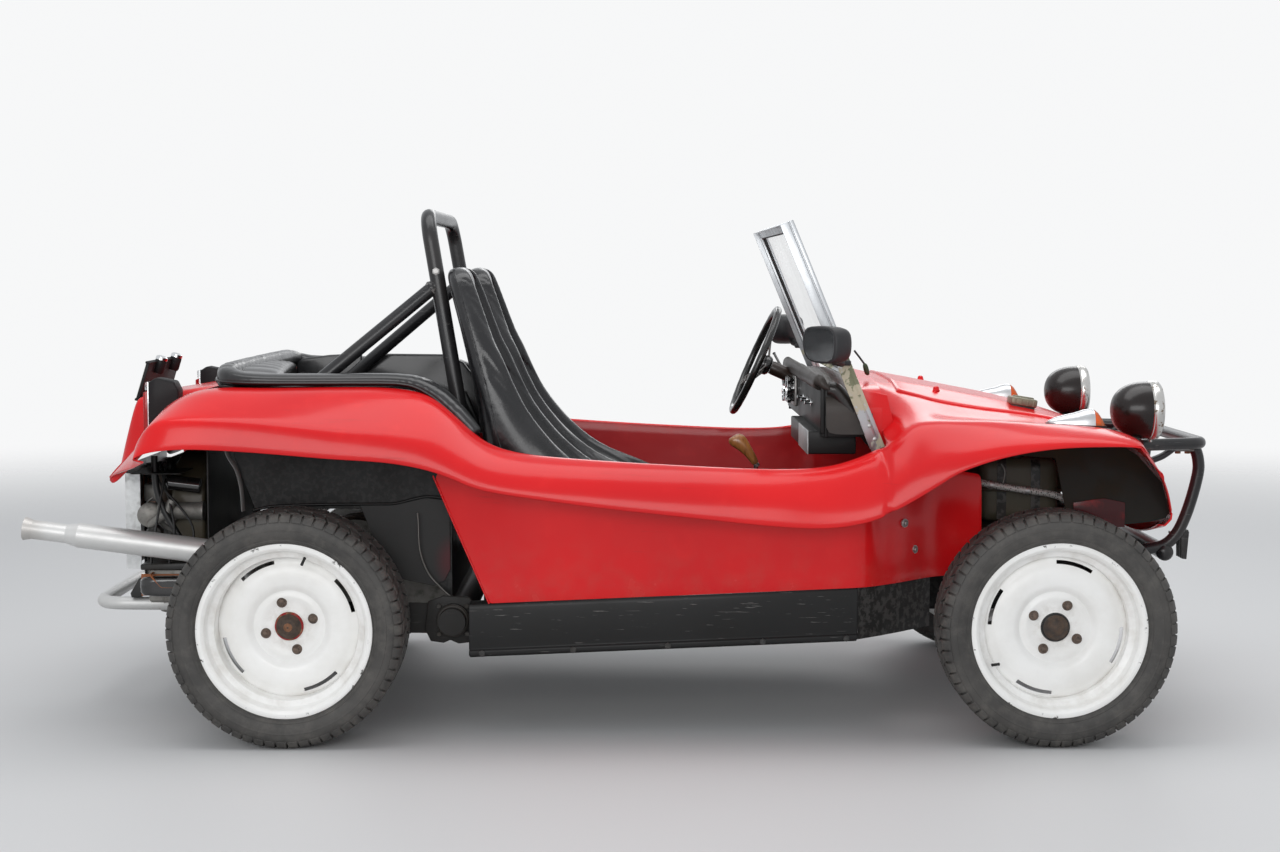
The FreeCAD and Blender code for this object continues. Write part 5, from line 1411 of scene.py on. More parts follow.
def seatSection(cushion, roll, back, half, rollWidth):
    front, crest, rear = [Vector((spot[0], 0, spot[1])) for spot in (cushion, roll, back)]
    into = (rear - front).normalized()
    seam = half - rollWidth
    at = lambda spot, y: Vector((spot.x, y, spot.z))
    line = [at(front - into * 0.01, 0), at(front - into * 0.008, seam * 0.45), at(front - into * 0.002,
        seam * 0.8), at(front + into * 0.008, seam * 0.95), at(front + into * 0.012, seam),
        at(front.lerp(crest, 0.55) + into * 0.003, seam + 0.006), at(front.lerp(crest, 0.93),
        seam + rollWidth * 0.26), at(crest - into * 0.002, seam + rollWidth * 0.52),
        at(crest.lerp(rear, 0.1), half - rollWidth * 0.16), at(crest.lerp(rear, 0.34), half - 0.002),
        at(crest.lerp(rear, 0.62), half), at(crest.lerp(rear, 0.86), half - 0.007), at(rear, half - 0.03),
        at(rear + into * 0.004, half * 0.5), at(rear + into * 0.005, 0)]
    return line + [Vector((spot.x, -spot.y, spot.z)) for spot in line[-2:0:-1]]


def bucketSeat():
    rings = [seatSection(*station) for station in bucket]
    shellLoft = loftOf("bucketSeat", rings, vinyl, 1)
    faceOut(shellLoft)
    seams, sideSeams = [], []
    for flip in (1, -1):
        seams.append(curved([Vector((ring[4].x, ring[4].y * flip, ring[4].z)) for ring in rings[1:-1]], 6))
        sideSeams.append(curved([Vector((ring[10].x, ring[10].y * flip, ring[10].z))
            for ring in rings[3:-1]], 6))
    board = treeOf([spot for ring in rings for spot in ring[11:17]])
    sewn = treeOf([spot for line in seams + sideSeams for spot in line])

    def held(spot):
        if sewn.find(spot)[2] < padding["seamReach"]:
            return 1.0
        return 0.85 if board.find(spot)[2] < padding["boardReach"] else 0.0

    seat = swelled(shellLoft, padding["seatCap"], held)
    cross = []
    for ring in (rings[5], rings[8]):
        cross.append([Vector((ring[0].x, ring[4].y * share, ring[0].z))
            for share in [i / 20 - 1 for i in range(41)]])
    pressedIn(seat, seams, 0.0035, 0.006)
    pressedIn(seat, sideSeams, 0.0016, 0.004)
    pressedIn(seat, cross, 0.006, 0.007)
    settled(seat)
    trims = [pipingOn(seat, "seatPiping", line, 0.0032, piping, 0.0012) for line in seams]
    trims += [pipingOn(seat, "sideSeam", line, 0.0018, piping, 0.0002, 6) for line in sideSeams]
    return seat, trims


def faceOut(thing):
    shape = bmesh.new()
    shape.from_mesh(thing.data)
    bmesh.ops.recalc_face_normals(shape, faces=shape.faces)
    shape.to_mesh(thing.data)
    shape.free()
    return thing


def seatStand():
    low, high = seatBase["low"], seatBase["high"]
    pieces = []
    for side in (-1, 1):
        pieces.append(block("runner", (low[0] - 0.02, side * 0.165 - 0.014, 0.268),
            (high[0] + 0.02, side * 0.165 + 0.014, 0.29), chassisBlack, 0.003))
        for x in (low[0] + 0.02, high[0] - 0.02):
            pieces.append(block("leg", (x - 0.014, side * 0.165 - 0.006, 0.288),
                (x + 0.014, side * 0.165 + 0.006, 0.402), chassisBlack, 0.002))
        pieces.append(block("stretcher", (low[0], side * 0.165 - 0.01, 0.384),
            (high[0], side * 0.165 + 0.01, 0.402), chassisBlack, 0.003))
    return joined("seatStand", pieces)


seatCover, seatTrims = bucketSeat()
seatTrim = joined("seatTrim", seatTrims)
stand = seatStand()
for label, side in sides:
    shift = Matrix.Translation((0, side * 0.34, 0))
    cover = copied(seatCover, "bucketSeat_" + label, shift)
    ridden(cover, replaces=("seat_" + label,))
    ridden(copied(seatTrim, "seatTrim_" + label, shift))
    ridden(copied(stand, "seatStand_" + label, shift))
for thing in (seatCover, seatTrim, stand):
    bpy.data.objects.remove(thing)
print("bucket seats done")


# rolled edge round the rear tub: x, y, z of its middle, half width, half height
edgeRoll = [(-0.372, 0.617, 0.802, 0.022, 0.017), (-0.396, 0.611, 0.832, 0.025, 0.019),
    (-0.43, 0.601, 0.868, 0.028, 0.02), (-0.475, 0.583, 0.908, 0.033, 0.02), (-0.53, 0.563, 0.935,
    0.038, 0.0195), (-0.6, 0.549, 0.943, 0.041, 0.0185), (-0.75, 0.546, 0.943, 0.042, 0.018),
    (-0.9, 0.546, 0.943, 0.042, 0.018), (-0.99, 0.543, 0.945, 0.04, 0.02), (-1.036, 0.527, 0.95,
    0.033, 0.026), (-1.053, 0.48, 0.956, 0.027, 0.0285), (-1.055, 0.4, 0.958, 0.026, 0.029),
    (-1.055, 0.2, 0.959, 0.026, 0.029), (-1.055, 0.0, 0.959, 0.026, 0.029),]


def rollPad():
    stations = edgeRoll + [(x, -y, z, wide, high) for x, y, z, wide, high in edgeRoll[-2::-1]]
    middle = curved([station[:3] for station in stations], 10)
    sizes = curved([(station[3], station[4], 0) for station in stations], 10)
    chance = random.Random(11)
    rings = []
    run = 0.0
    for index, (spot, size) in enumerate(zip(middle, sizes)):
        ahead = middle[min(index + 1, len(middle) - 1)] - middle[max(index - 1, 0)]
        across = ahead.cross(Vector((0, 0, 1))).normalized()
        over = across.cross(ahead).normalized()
        if index:
            run += (spot - middle[index - 1]).length
        pleat = 0.0
        if spot.x < -1.02:
            pleat = 0.11 * (1 - abs(math.sin(run * math.pi / 0.052))) ** 2.2
        elif -0.58 < spot.x < -0.43:
            pleat = 0.13 * (1 - abs(math.sin(run * math.pi / 0.017 + 0.8 * math.sin(run * 40)))) ** 1.5
        pleat += 0.012 * chance.uniform(-1, 1)
        end = min(index, len(middle) - 1 - index)
        taper = min(1.0, 0.35 + end * 0.22)
        ring = []
        for step in range(20):
            turn = 2 * math.pi * step / 20
            c, s = math.cos(turn), math.sin(turn)
            squareC = math.copysign(abs(c) ** 0.8, c)
            squareS = math.copysign(abs(s) ** 0.8, s)
            low = 0.86 if s < 0 else 1.0
            ring.append(spot + across * squareC * size.x * taper * (1 - pleat * 0.4)
                        + over * squareS * size.y * taper * low * (1 - pleat))
        rings.append(ring)
    pad = faceOut(loftOf("edgeRoll", rings, rollVinyl, 0))
    return pad, middle, sizes


roll, rollLine, rollSizes = rollPad()
underside = treeOf(rollLine)
swelled(roll, padding["rollCap"], lambda spot: 0.9 if spot.z < underside.find(spot)[0].z - 0.008
    else 0.15, padding["rollVoxel"])
outer = []
for index, (spot, size) in enumerate(zip(rollLine, rollSizes)):
    ahead = rollLine[min(index + 1, len(rollLine) - 1)] - rollLine[max(index - 1, 0)]
    across = ahead.cross(Vector((0, 0, 1))).normalized()
    outer.append(spot + across * size.x - Vector((0, 0, size.y * 0.35)))
rollPiping = pipingOn(roll, "rollPiping", outer[3:-3], 0.003, piping, 0.0008)
settled(roll)
ridden(roll, replaces=("rear_padding",))
ridden(rollPiping)


def cushionOf(name, low, high, crown, look, cap, lines=()):
    # a box whose middle rises and whose sides pull in, then swelled
    across, deep, tall = [high[i] - low[i] for i in range(3)]
    steps = 14
    shape = bmesh.new()
    bmesh.ops.create_cube(shape, size=1)
    bmesh.ops.subdivide_edges(shape, edges=shape.edges, cuts=steps, use_grid_fill=True)
    for spot in shape.verts:
        u, v, w = spot.co * 2
        rise = (1 - u ** 4) * (1 - v ** 6)
        pull = 0.012 * (1 - w * w)
        spot.co = Vector(((low[0] + high[0]) / 2 + u * (across / 2 - 0.006 + pull * (1 - v * v) * 0.4),
            (low[1] + high[1]) / 2 + v * (deep / 2 - 0.006 + pull * (1 - u * u) * 0.4),
            low[2] + (w + 1) / 2 * (tall - crown) + (crown * rise if w > 0 else 0) * (w if w > 0 else 0)))
    mesh = bpy.data.meshes.new(name)
    shape.to_mesh(mesh)
    shape.free()
    thing = allSmooth(linked(name, mesh, look))
    allSmooth(applied(thing, rounded(0.012, 3, 60)))
    swelled(thing, cap, lambda spot: 0.9 if spot.z < low[2] + 0.01 else 0.0)
    if lines:
        pressedIn(thing, lines, *padding["benchSeam"])
    return settled(thing)


def rearQuilt():
    # gathered pad over the back of the tub, behind and above the bench
    shape = [(-0.505, 0.932), (-0.485, 0.95), (-0.44, 0.96), (-0.3, 0.969), (-0.15, 0.9705), (0.0, 0.97),
             (0.15, 0.967), (0.3, 0.963), (0.44, 0.958), (0.485, 0.949), (0.505, 0.932)]
    rings = []
    for index, spot in enumerate(curved([(y, top, 0) for y, top in shape], 9)):
        y, top = spot.xy
        share = (y + 0.505) / 1.01
        back = -1.104 + 0.03 * max(0.0, abs(y) / 0.505 - 0.8) / 0.2
        front = -0.905 - 0.125 * share
        pleat = 0.0055 * (1 - abs(math.sin(index * math.pi / 7))) ** 1.6
        low = 0.918
        ring = [Vector((back, y, low)), Vector((back - 0.004, y, (low + top) / 2)),
            Vector((back + 0.008, y, top - 0.01 - pleat)), Vector((back + 0.03, y, top - pleat)),
            Vector((back + 0.075, y, top + 0.002 - pleat * 1.2)), Vector((front - 0.05, y,
            top - 0.001 - pleat * 1.2)), Vector((front - 0.016, y, top - 0.006 - pleat)),
            Vector((front, y, top - 0.02)), Vector((front - 0.002, y, low))]
        rings.append(ring)
    pad = faceOut(loftOf("rearQuilt", rings, rollVinyl, 1))
    swelled(pad, padding["rollCap"], lambda spot: 0.95 if spot.z < 0.925 else 0.2, padding["quiltVoxel"])
    return pad


quilt = rearQuilt()
ridden(quilt)
board = slab("sideBoard", [(-1.03, 0.8), (-1.03, 0.942), (-1.01, 0.957), (-0.926, 0.968), (-0.822, 0.973),
    (-0.818, 0.8)], 0.478, 0.495, rollVinyl, 0.006)
ridden(board)
trim = slab("innerTrim", [(-0.815, 0.79), (-0.815, 0.925), (-0.8, 0.958), (-0.765, 0.972), (-0.56, 0.97),
    (-0.5, 0.945), (-0.455, 0.885), (-0.415, 0.82), (-0.4, 0.78), (-0.405, 0.72), (-0.485, 0.72),
    (-0.505, 0.79)], 0.4775, 0.4955, rollVinyl, 0.007)
ridden(trim)
benchLines = [[Vector((-0.918 + i * 0.0102, y, 0.688)) for i in range(22)] for y in (-0.325,
    -0.165, 0.0, 0.165, 0.325)]
benchSeat = cushionOf("benchSeat", (-0.919, -0.484, 0.603), (-0.708, 0.484, 0.689), 0.022, rollVinyl,
    padding["rollCap"], benchLines)
backLines = [[Vector((-0.922, y, 0.66 + i * 0.012)) for i in range(22)] for y in (-0.325,
    -0.165, 0.0, 0.165, 0.325)]
benchBack = slab("benchBack", [(-1.022, 0.745), (-0.936, 0.662), (-0.929, 0.69), (-0.927, 0.865),
    (-0.94, 0.892), (-0.965, 0.915), (-1.022, 0.916)], -0.482, 0.482, rollVinyl, 0.016)
swelled(benchBack, padding["rollCap"], lambda spot: 0.9 if spot.x < -1.0 else 0.0)
pressedIn(benchBack, backLines, *padding["benchSeam"])
settled(benchBack)
ridden(benchSeat, replaces=("rear_bench",))
ridden(benchBack)
print("rear padding and bench done")


# windscreen: leaned frame, rubber and glass; measured up the slope from its foot

screen = {"foot": (0.7045, 0.77), "lean": 22.4, "deep": 0.037, "long": 0.646, "half": 0.592, "wide": 0.022,
          "top": (0.622, 0.646), "bottom": (0.216, 0.24), "pane": (0.232, 0.63)}


def onScreen(along, forward, y):
    # along the post from its foot, and forward of its front face
    lean = math.radians(screen["lean"])
    return Vector((screen["foot"][0] - along * math.sin(lean) + forward * math.cos(lean), y,
                   screen["foot"][1] + along * math.cos(lean) + forward * math.sin(lean)))


def postSection(along, side):
    deep, out, wide = screen["deep"], screen["half"], screen["wide"]
    outline = [(0.0, out), (-0.01, out), (-0.0115, out - 0.0015), (-0.0135, out - 0.0015),
        (-0.015, out), (-deep, out), (-deep, out - 0.0035), (-0.022, out - 0.0045), (-0.022, out - wide),
        (-0.013, out - wide), (-0.013, out - wide + 0.004), (-0.009, out - wide + 0.004),
        (-0.009, out - wide), (0.0, out - wide)]
    return [onScreen(along, forward, side * y) for forward, y in outline]


def eased(thing, width=0.0007):
    # outward faces, small bevels and crisp corners
    applied(faceOut(thing), rounded(width, 2, 40))
    tidy(thing, 35)
    return thing


def screenFrame():
    pieces = []
    for side in (1, -1):
        rings = [postSection(along, side) for along in (0.0, 0.2, 0.4, screen["long"])]
        pieces.append(eased(loftOf("screenPost", rings, frameMetal, 0)))
        plate = [(0.005, 0.002), (0.075, 0.002), (0.095, -0.012), (0.095, -0.028),
            (0.078, -0.036), (0.005, -0.036)]
        foot = loftOf("screenFoot", [[onScreen(along, forward - 0.001, side * y) for along,
            forward in plate] for y in (screen["half"] - 0.0225, screen["half"] - 0.0265)], galvanised, 0)
        pieces.append(eased(foot, 0.0008))
        for along in (0.028, 0.066):
            spot = onScreen(along, -0.017, side * (screen["half"] - 0.001))
            pieces.append(lathe("footScrew", [(0, 0.0062), (0.0018, 0.0058), (0.0026, 0.004), (0.0029, 0)],
                spot, (0, side, 0), steel, 14, 40))
    span = screen["half"] - 0.0215
    for along, deepness in ((screen["top"], 0.036), (screen["bottom"], 0.03)):
        low, high = along
        rise = 1 if low > 0.5 else -1
        edge = high if rise > 0 else low
        inner = low if rise > 0 else high
        outline = [(edge, 0.0), (edge, -deepness), (edge - rise * 0.003, -deepness), (edge - rise * 0.005,
            -0.022), (inner, -0.021), (inner, -0.013), (inner + rise * 0.004, -0.013),
            (inner + rise * 0.004, -0.009), (inner, -0.009), (inner, -0.0005)]
        rings = [[onScreen(at, forward, y) for at, forward in outline] for y in (-span,
            -span / 2, 0, span / 2, span)]
        pieces.append(eased(loftOf("screenBar", rings, frameMetal, 0)))
    return joined("screenFrame", pieces)


def screenSeal():
    low, high = screen["bottom"][1] + 0.001, screen["top"][0] - 0.001
    side = screen["half"] - screen["wide"] - 0.001
    corners = [(low, -side), (high, -side), (high, side), (low, side)]
    pieces = []
    for (alongA, yA), (alongB, yB) in zip(corners, corners[1:] + corners[:1]):
        way = [onScreen(alongA + (alongB - alongA) * s, -0.011, yA + (yB - yA) * s)
            for s in (0, 0.25, 0.5, 0.75, 1)]
        pieces.append(tubeAlong("sealRun", way, 0.0048, rubber, 8))
    return joined("screenSeal", pieces)


def screenPane():
    low, high = screen["pane"]
    low, high, side = low + 0.004, high - 0.004, 0.571
    rings = []
    for forward in (-0.0135, -0.0085):
        rings.append([onScreen(along, forward, y) for along, y in ((low, -side), (high, -side),
            (high, side), (low, side))])
    return faceOut(loftOf("screenPane", rings, pane, 0))


ridden(screenFrame(), replaces=("windscreen_frame",))
ridden(screenSeal())
ridden(screenPane(), replaces=("windscreen_glass",))


# mirrors

mirror = {"middle": (0.547, 0.69, 1.043), "arm": (0.585, 0.606, 0.992), "toeIn": 32}


def sideMirror(side):
    # rounded trapezoid shell: narrower outboard, deepest in its middle
    outline = [(-0.074, 0.02), (-0.066, 0.04), (-0.045, 0.0485), (0.02, 0.0495), (0.055, 0.046),
        (0.07, 0.034), (0.0745, 0.01), (0.073, -0.02), (0.064, -0.04), (0.04, -0.049), (-0.02, -0.0485),
        (-0.05, -0.042), (-0.066, -0.026), (-0.0735, -0.004)]
    x, y, z = mirror["middle"]
    rings = []
    for forward, size in ((-0.0355, 0.9), (-0.035, 0.975), (-0.03, 1.0), (-0.01, 1.0), (0.01, 0.97),
            (0.024, 0.86), (0.032, 0.62), (0.0355, 0.25)):
        rings.append([Vector((x + forward, side * (y + across * size), z + up * size))
            for across, up in outline])
    shellPiece = faceOut(loftOf("mirrorShell", rings, mirrorShell, 1))
    face = [Vector((x - 0.0358, side * (y + across * 0.86), z + up * 0.86)) for across, up in outline]
    behind = [Vector((x - 0.034, side * (y + across * 0.86), z + up * 0.86)) for across, up in outline]
    glass = creased(faceOut(loftOf("mirrorGlass", [face, behind], mirrorGlass, 0)), 30)
    turn = (Matrix.Translation((x, side * y, z))
            @ Matrix.Rotation(math.radians(-side * mirror["toeIn"]), 4, "Z")
            @ Matrix.Translation((-x, -side * y, -z)))
    placed(shellPiece, turn)
    placed(glass, turn)
    armX, armY, armZ = mirror["arm"]
    arm = tubeAlong("mirrorArm", curved([(x + 0.012, side * (y - 0.03), z - 0.04),
        (x + 0.034, side * (y - 0.058), z - 0.05), (armX, side * (armY + 0.012), armZ)], 6),
        [0.011] * 6 + [0.01] * 6 + [0.009], mirrorShell, 12)
    foot = block("mirrorFoot", (armX - 0.024, side * armY - 0.01, armZ - 0.007),
        (armX + 0.026, side * armY + 0.01, armZ + 0.007), mirrorShell, 0.004)
    return [shellPiece, glass, arm, foot]


ridden(joined("doorMirrors", sideMirror(-1) + sideMirror(1)), replaces=("mirrors",))
print("windscreen and mirrors done")


# scuttle, dashboard and instruments

def scuttleTop():
    rows = []
    for x, crown, middle, shoulder in ((0.5505, 948, 944, 915), (0.6, 947, 943, 916), (0.65, 945, 941, 917),
                                       (0.699, 943, 939, 918)):
        line = [(0, crown), (150, crown - 1), (250, middle), (380, middle - 9), (470, shoulder + 8),
            (520, shoulder + 1), (545, shoulder - 8), (562, shoulder - 22), (569, shoulder - 42),
            (569.5, shoulder - 80), (569.5, 800)]
        rows.append([Vector((x, y / 1000, z / 1000)) for y, z in line])
    whole = bothSides(rows)
    top = sheetOf("scuttleTop", whole, dashVinyl, (0, 0, 1), 0.004, wellBlack)
    top.data.materials.append(red)
    for face in top.data.polygons:
        # ahead of the windscreen's line the cowl is painted
        if face.material_index == 0 and face.center.x > 0.6985 - (face.center.z - 0.77) * 0.412:
            face.material_index = 2
    pieces = [top]
    for side in (1, -1):
        way = curved([(0.556, side * 0.546, 0.921), (0.578, side * 0.5475, 0.915),
            (0.603, side * 0.548, 0.886), (0.636, side * 0.548, 0.84), (0.668, side * 0.5475, 0.795),
            (0.683, side * 0.547, 0.772)], 6)
        rollPiece = tubeAlong("slantRoll", way,
            [0.02] * 4 + [0.0215] * (len(way) - 8) + [0.0185] * 4, slantVinyl, 16)
        applied(rollPiece, smoother(1))
        cheek = slab("dashCheek", [(0.5385, 0.927), (0.566, 0.927), (0.6, 0.89), (0.664, 0.8),
            (0.655, 0.792), (0.5385, 0.792)], side * 0.545, side * 0.553, wellBlack, 0.0015)
        cowl = slab("cowlCheek", [(0.642, 0.92), (0.712, 0.905), (0.728, 0.84), (0.728, 0.756),
            (0.694, 0.756)], side * 0.5605, side * 0.568, red, 0.001)
        pieces += [rollPiece, cheek, cowl]
    return joined("scuttleTop", pieces)


slantVinyl = upholstery("slantVinyl", (0.014, 0.011, 0.01), 0.26, 520, 0.35)
ridden(scuttleTop(), replaces=("scuttle",))


def dashPieces():
    board = block("dashBoard", (0.5365, -0.558, 0.801), (0.549, 0.558, 0.93), wellBlack, 0.003)
    # padded roll along the top and down both ends
    way = bentPath([(0.56, -0.55, 0.915), (0.535, -0.55, 0.938), (0.533, -0.53, 0.938), (0.533, 0.53, 0.938),
                    (0.535, 0.55, 0.938), (0.56, 0.55, 0.915)], 0.012, 5)
    rings = []
    for index, spot in enumerate(way):
        ahead = way[min(index + 1, len(way) - 1)] - way[max(index - 1, 0)]
        run = ahead.normalized()
        deep = Vector((1, 0, 0))
        other = run.cross(deep).normalized()
        wide, high = 0.0165, 0.0225
        rings.append([spot + deep * math.cos(t) * wide + other * math.sin(t) * high
                      for t in [2 * math.pi * i / 16 for i in range(16)]])
    pad = faceOut(loftOf("dashPad", rings, dashVinyl, 1))
    knee = block("dashTray", (0.507, -0.519, 0.743), (0.636, 0.059, 0.805), wellBlack, 0.004)
    plate = block("trayEnd", (0.5055, -0.5195, 0.7425), (0.5085, -0.23, 0.806), galvanised, 0.0012)
    lower = block("dashLower", (0.548, -0.556, 0.79), (0.556, 0.556, 0.85), wellBlack, 0.002)
    panelFace = block("gaugePanel", (0.528, 0.198, 0.824), (0.5375, 0.442, 0.924), steel, 0.003)
    bits = [board, knee, plate, lower, panelFace]
    for y, z, size in ((0.255, 0.874, 0.04), (0.352, 0.874, 0.04),
            (0.418, 0.895, 0.021), (0.418, 0.847, 0.021)):
        bits += gaugeAt((0.528, y, z), size)
    for y, z in ((0.215, 0.842), (0.215, 0.872), (0.215, 0.902), (0.306, 0.842), (0.306, 0.904)):
        bits.append(lathe("dashKnob", [(0, 0.004), (0.008, 0.004), (0.009, 0.0085), (0.018, 0.0095),
            (0.0205, 0.008), (0.021, 0)], (0.528, y, z), (-1, 0, 0), glossBlack, 16, 40))
    for y in (-0.3, -0.18, -0.05):
        bits.append(lathe("dashSwitch", [(0, 0.01), (0.003, 0.01), (0.004, 0.005), (0.016, 0.004),
            (0.02, 0.006), (0.022, 0)], (0.5365, y, 0.868), (-1, 0, 0), chrome, 16, 40))
    return joined("dashBoard", bits + [pad])


def gaugeAt(spot, size):
    body = lathe("gaugeCan", [(-0.006, 0), (-0.006, size * 0.92), (0.01, size * 0.92), (0.014, size),
        (0.019, size * 1.02), (0.021, size * 0.98), (0.02, size * 0.9), (0.013, size * 0.88), (0.013, 0)],
        spot, (-1, 0, 0), chrome, 40, 35)
    face = lathe("gaugeFace", [(0.0128, 0), (0.0128, size * 0.885), (0.014, size * 0.885), (0.014, 0)],
        spot, (-1, 0, 0), dialFace, 40, 35)
    mark = block("dialMark", (-0.0003, -0.0006, size * 0.66), (0.0003, 0.0006, size * 0.8), dialMark, 0)
    placed(mark, Matrix.Rotation(math.pi / 2, 4, "Z"))
    marks = repeated("dialMarks", mark, ringTree, dialMark, Count=20, Start=0.0)
    placed(marks, Matrix.Translation((spot[0] - 0.0144, spot[1],
        spot[2])) @ Matrix.Rotation(math.pi / 2, 4, "Z"))
    needle = block("needle", (-0.0004, -0.0007, -size * 0.12), (0.0004, 0.0007, size * 0.62), dialMark, 0)
    placed(needle, Matrix.Translation((spot[0] - 0.0152, spot[1], spot[2])) @ Matrix.Rotation(0.9, 4, "X"))
    hub = lathe("needleHub", [(0.013, 0), (0.013, 0.004), (0.0165, 0.0035), (0.0165, 0)], spot,
        (-1, 0, 0), dialFace, 16, 40)
    return [body, face, marks, needle, hub]


ridden(dashPieces(), replaces=("dashboard",))


# steering wheel, column and small controls

steer = {"middle": (0.416, 0.32, 0.958), "run": (0.9143, 0, -0.4051), "ring": 0.17, "wire": 0.011}


def steeringWheel():
    middle, run = Vector(steer["middle"]), Vector(steer["run"]).normalized()
    upward = Vector((0, 1, 0)).cross(run)
    if upward.z < 0:
        upward = -upward
    aside = Vector((0, 1, 0))
    rim, count = [], 120
    for index in range(count):
        turn = 2 * math.pi * index / count
        rim.append(middle + (upward * math.cos(turn) + aside * math.sin(turn)) * steer["ring"])
    swell = [steer["wire"] * (1 + 0.018 * math.sin(24 * 2 * math.pi * i / count)) for i in range(count)]
    ringPiece = tubeAlong("wheelRim", rim, swell, gripBlack, 18, closed=True)
    pieces = [ringPiece]
    for turn in (0, 120, 240):
        out = upward * math.cos(math.radians(turn)) + aside * math.sin(math.radians(turn))
        over = run.cross(out)
        inner, outer = 0.028, steer["ring"] - 0.006
        holes = 6
        for edge in (-1, 1):
            way = [middle + out * (inner + (outer - inner) * s) + over * edge
                * (0.0135 - 0.004 * math.sin(math.pi * s)) + run * (0.034 * (1 - s) ** 1.4)
                for s in [i / 10 for i in range(11)]]
            pieces.append(tubeAlong("spokeEdge", way, 0.0024, steelDark, 8))
        for hole in range(holes + 1):
            s = 0.04 + 0.92 * hole / holes
            spot = middle + out * (inner + (outer - inner) * s) + run * (0.034 * (1 - s) ** 1.4)
            width = 0.0135 - 0.004 * math.sin(math.pi * s)
            pieces.append(tubeAlong("spokeBridge", [spot - over * width, spot + over * width],
                0.0022, steelDark, 8, up=out))
    hub = lathe("wheelHub", [(0.016, 0), (0.016, 0.012), (0.018, 0.022), (0.023, 0.029), (0.034, 0.0315),
        (0.044, 0.03), (0.05, 0.024), (0.0515, 0)], middle, run, glossBlack, 40, 35)
    pieces.append(hub)
    return joined("steeringRing", pieces)


def columnPieces():
    middle, run = Vector(steer["middle"]), Vector(steer["run"]).normalized()
    tube = lathe("columnTube", [(0.052, 0.0), (0.052, 0.02), (0.06, 0.0215), (0.12, 0.0215),
        (0.126, 0.019), (0.376, 0.019), (0.38, 0.0)], middle, run, columnBrown, 32, 40)
    sleeve = lathe("columnClamp", [(0.132, 0.0192), (0.132, 0.0219), (0.15, 0.0219), (0.15, 0.0192)],
        middle, run, steelDark, 32, 40)
    return joined("columnTube", [tube, sleeve])


gripBlack = plastic("gripBlack", (0.012, 0.011, 0.01), 0.22, 0.5, 0.15)
steelDark = metal("darkSteel", (0.2, 0.19, 0.18), 0.4, 0.9, grime=0.4)
columnBrown = plastic("columnBrown", (0.03, 0.016, 0.011), 0.35, 0.3)
ridden(steeringWheel(), "steering", ("steering_wheel",))
ridden(columnPieces(), replaces=("steering_column",))


def controlPieces():
    stalk = tubeAlong("stalk", curved([(0.515, 0.338, 0.916), (0.508, 0.372, 0.925), (0.497, 0.41, 0.945),
        (0.482, 0.438, 0.975)], 8), [0.006] * 6 + [0.0042] * 18 + [0.0055], glossBlack, 10)
    switch = block("columnSwitch", (0.51, 0.296, 0.878), (0.546, 0.328, 0.906), glossBlack, 0.004)
    return joined("columnStalk", [stalk, switch])


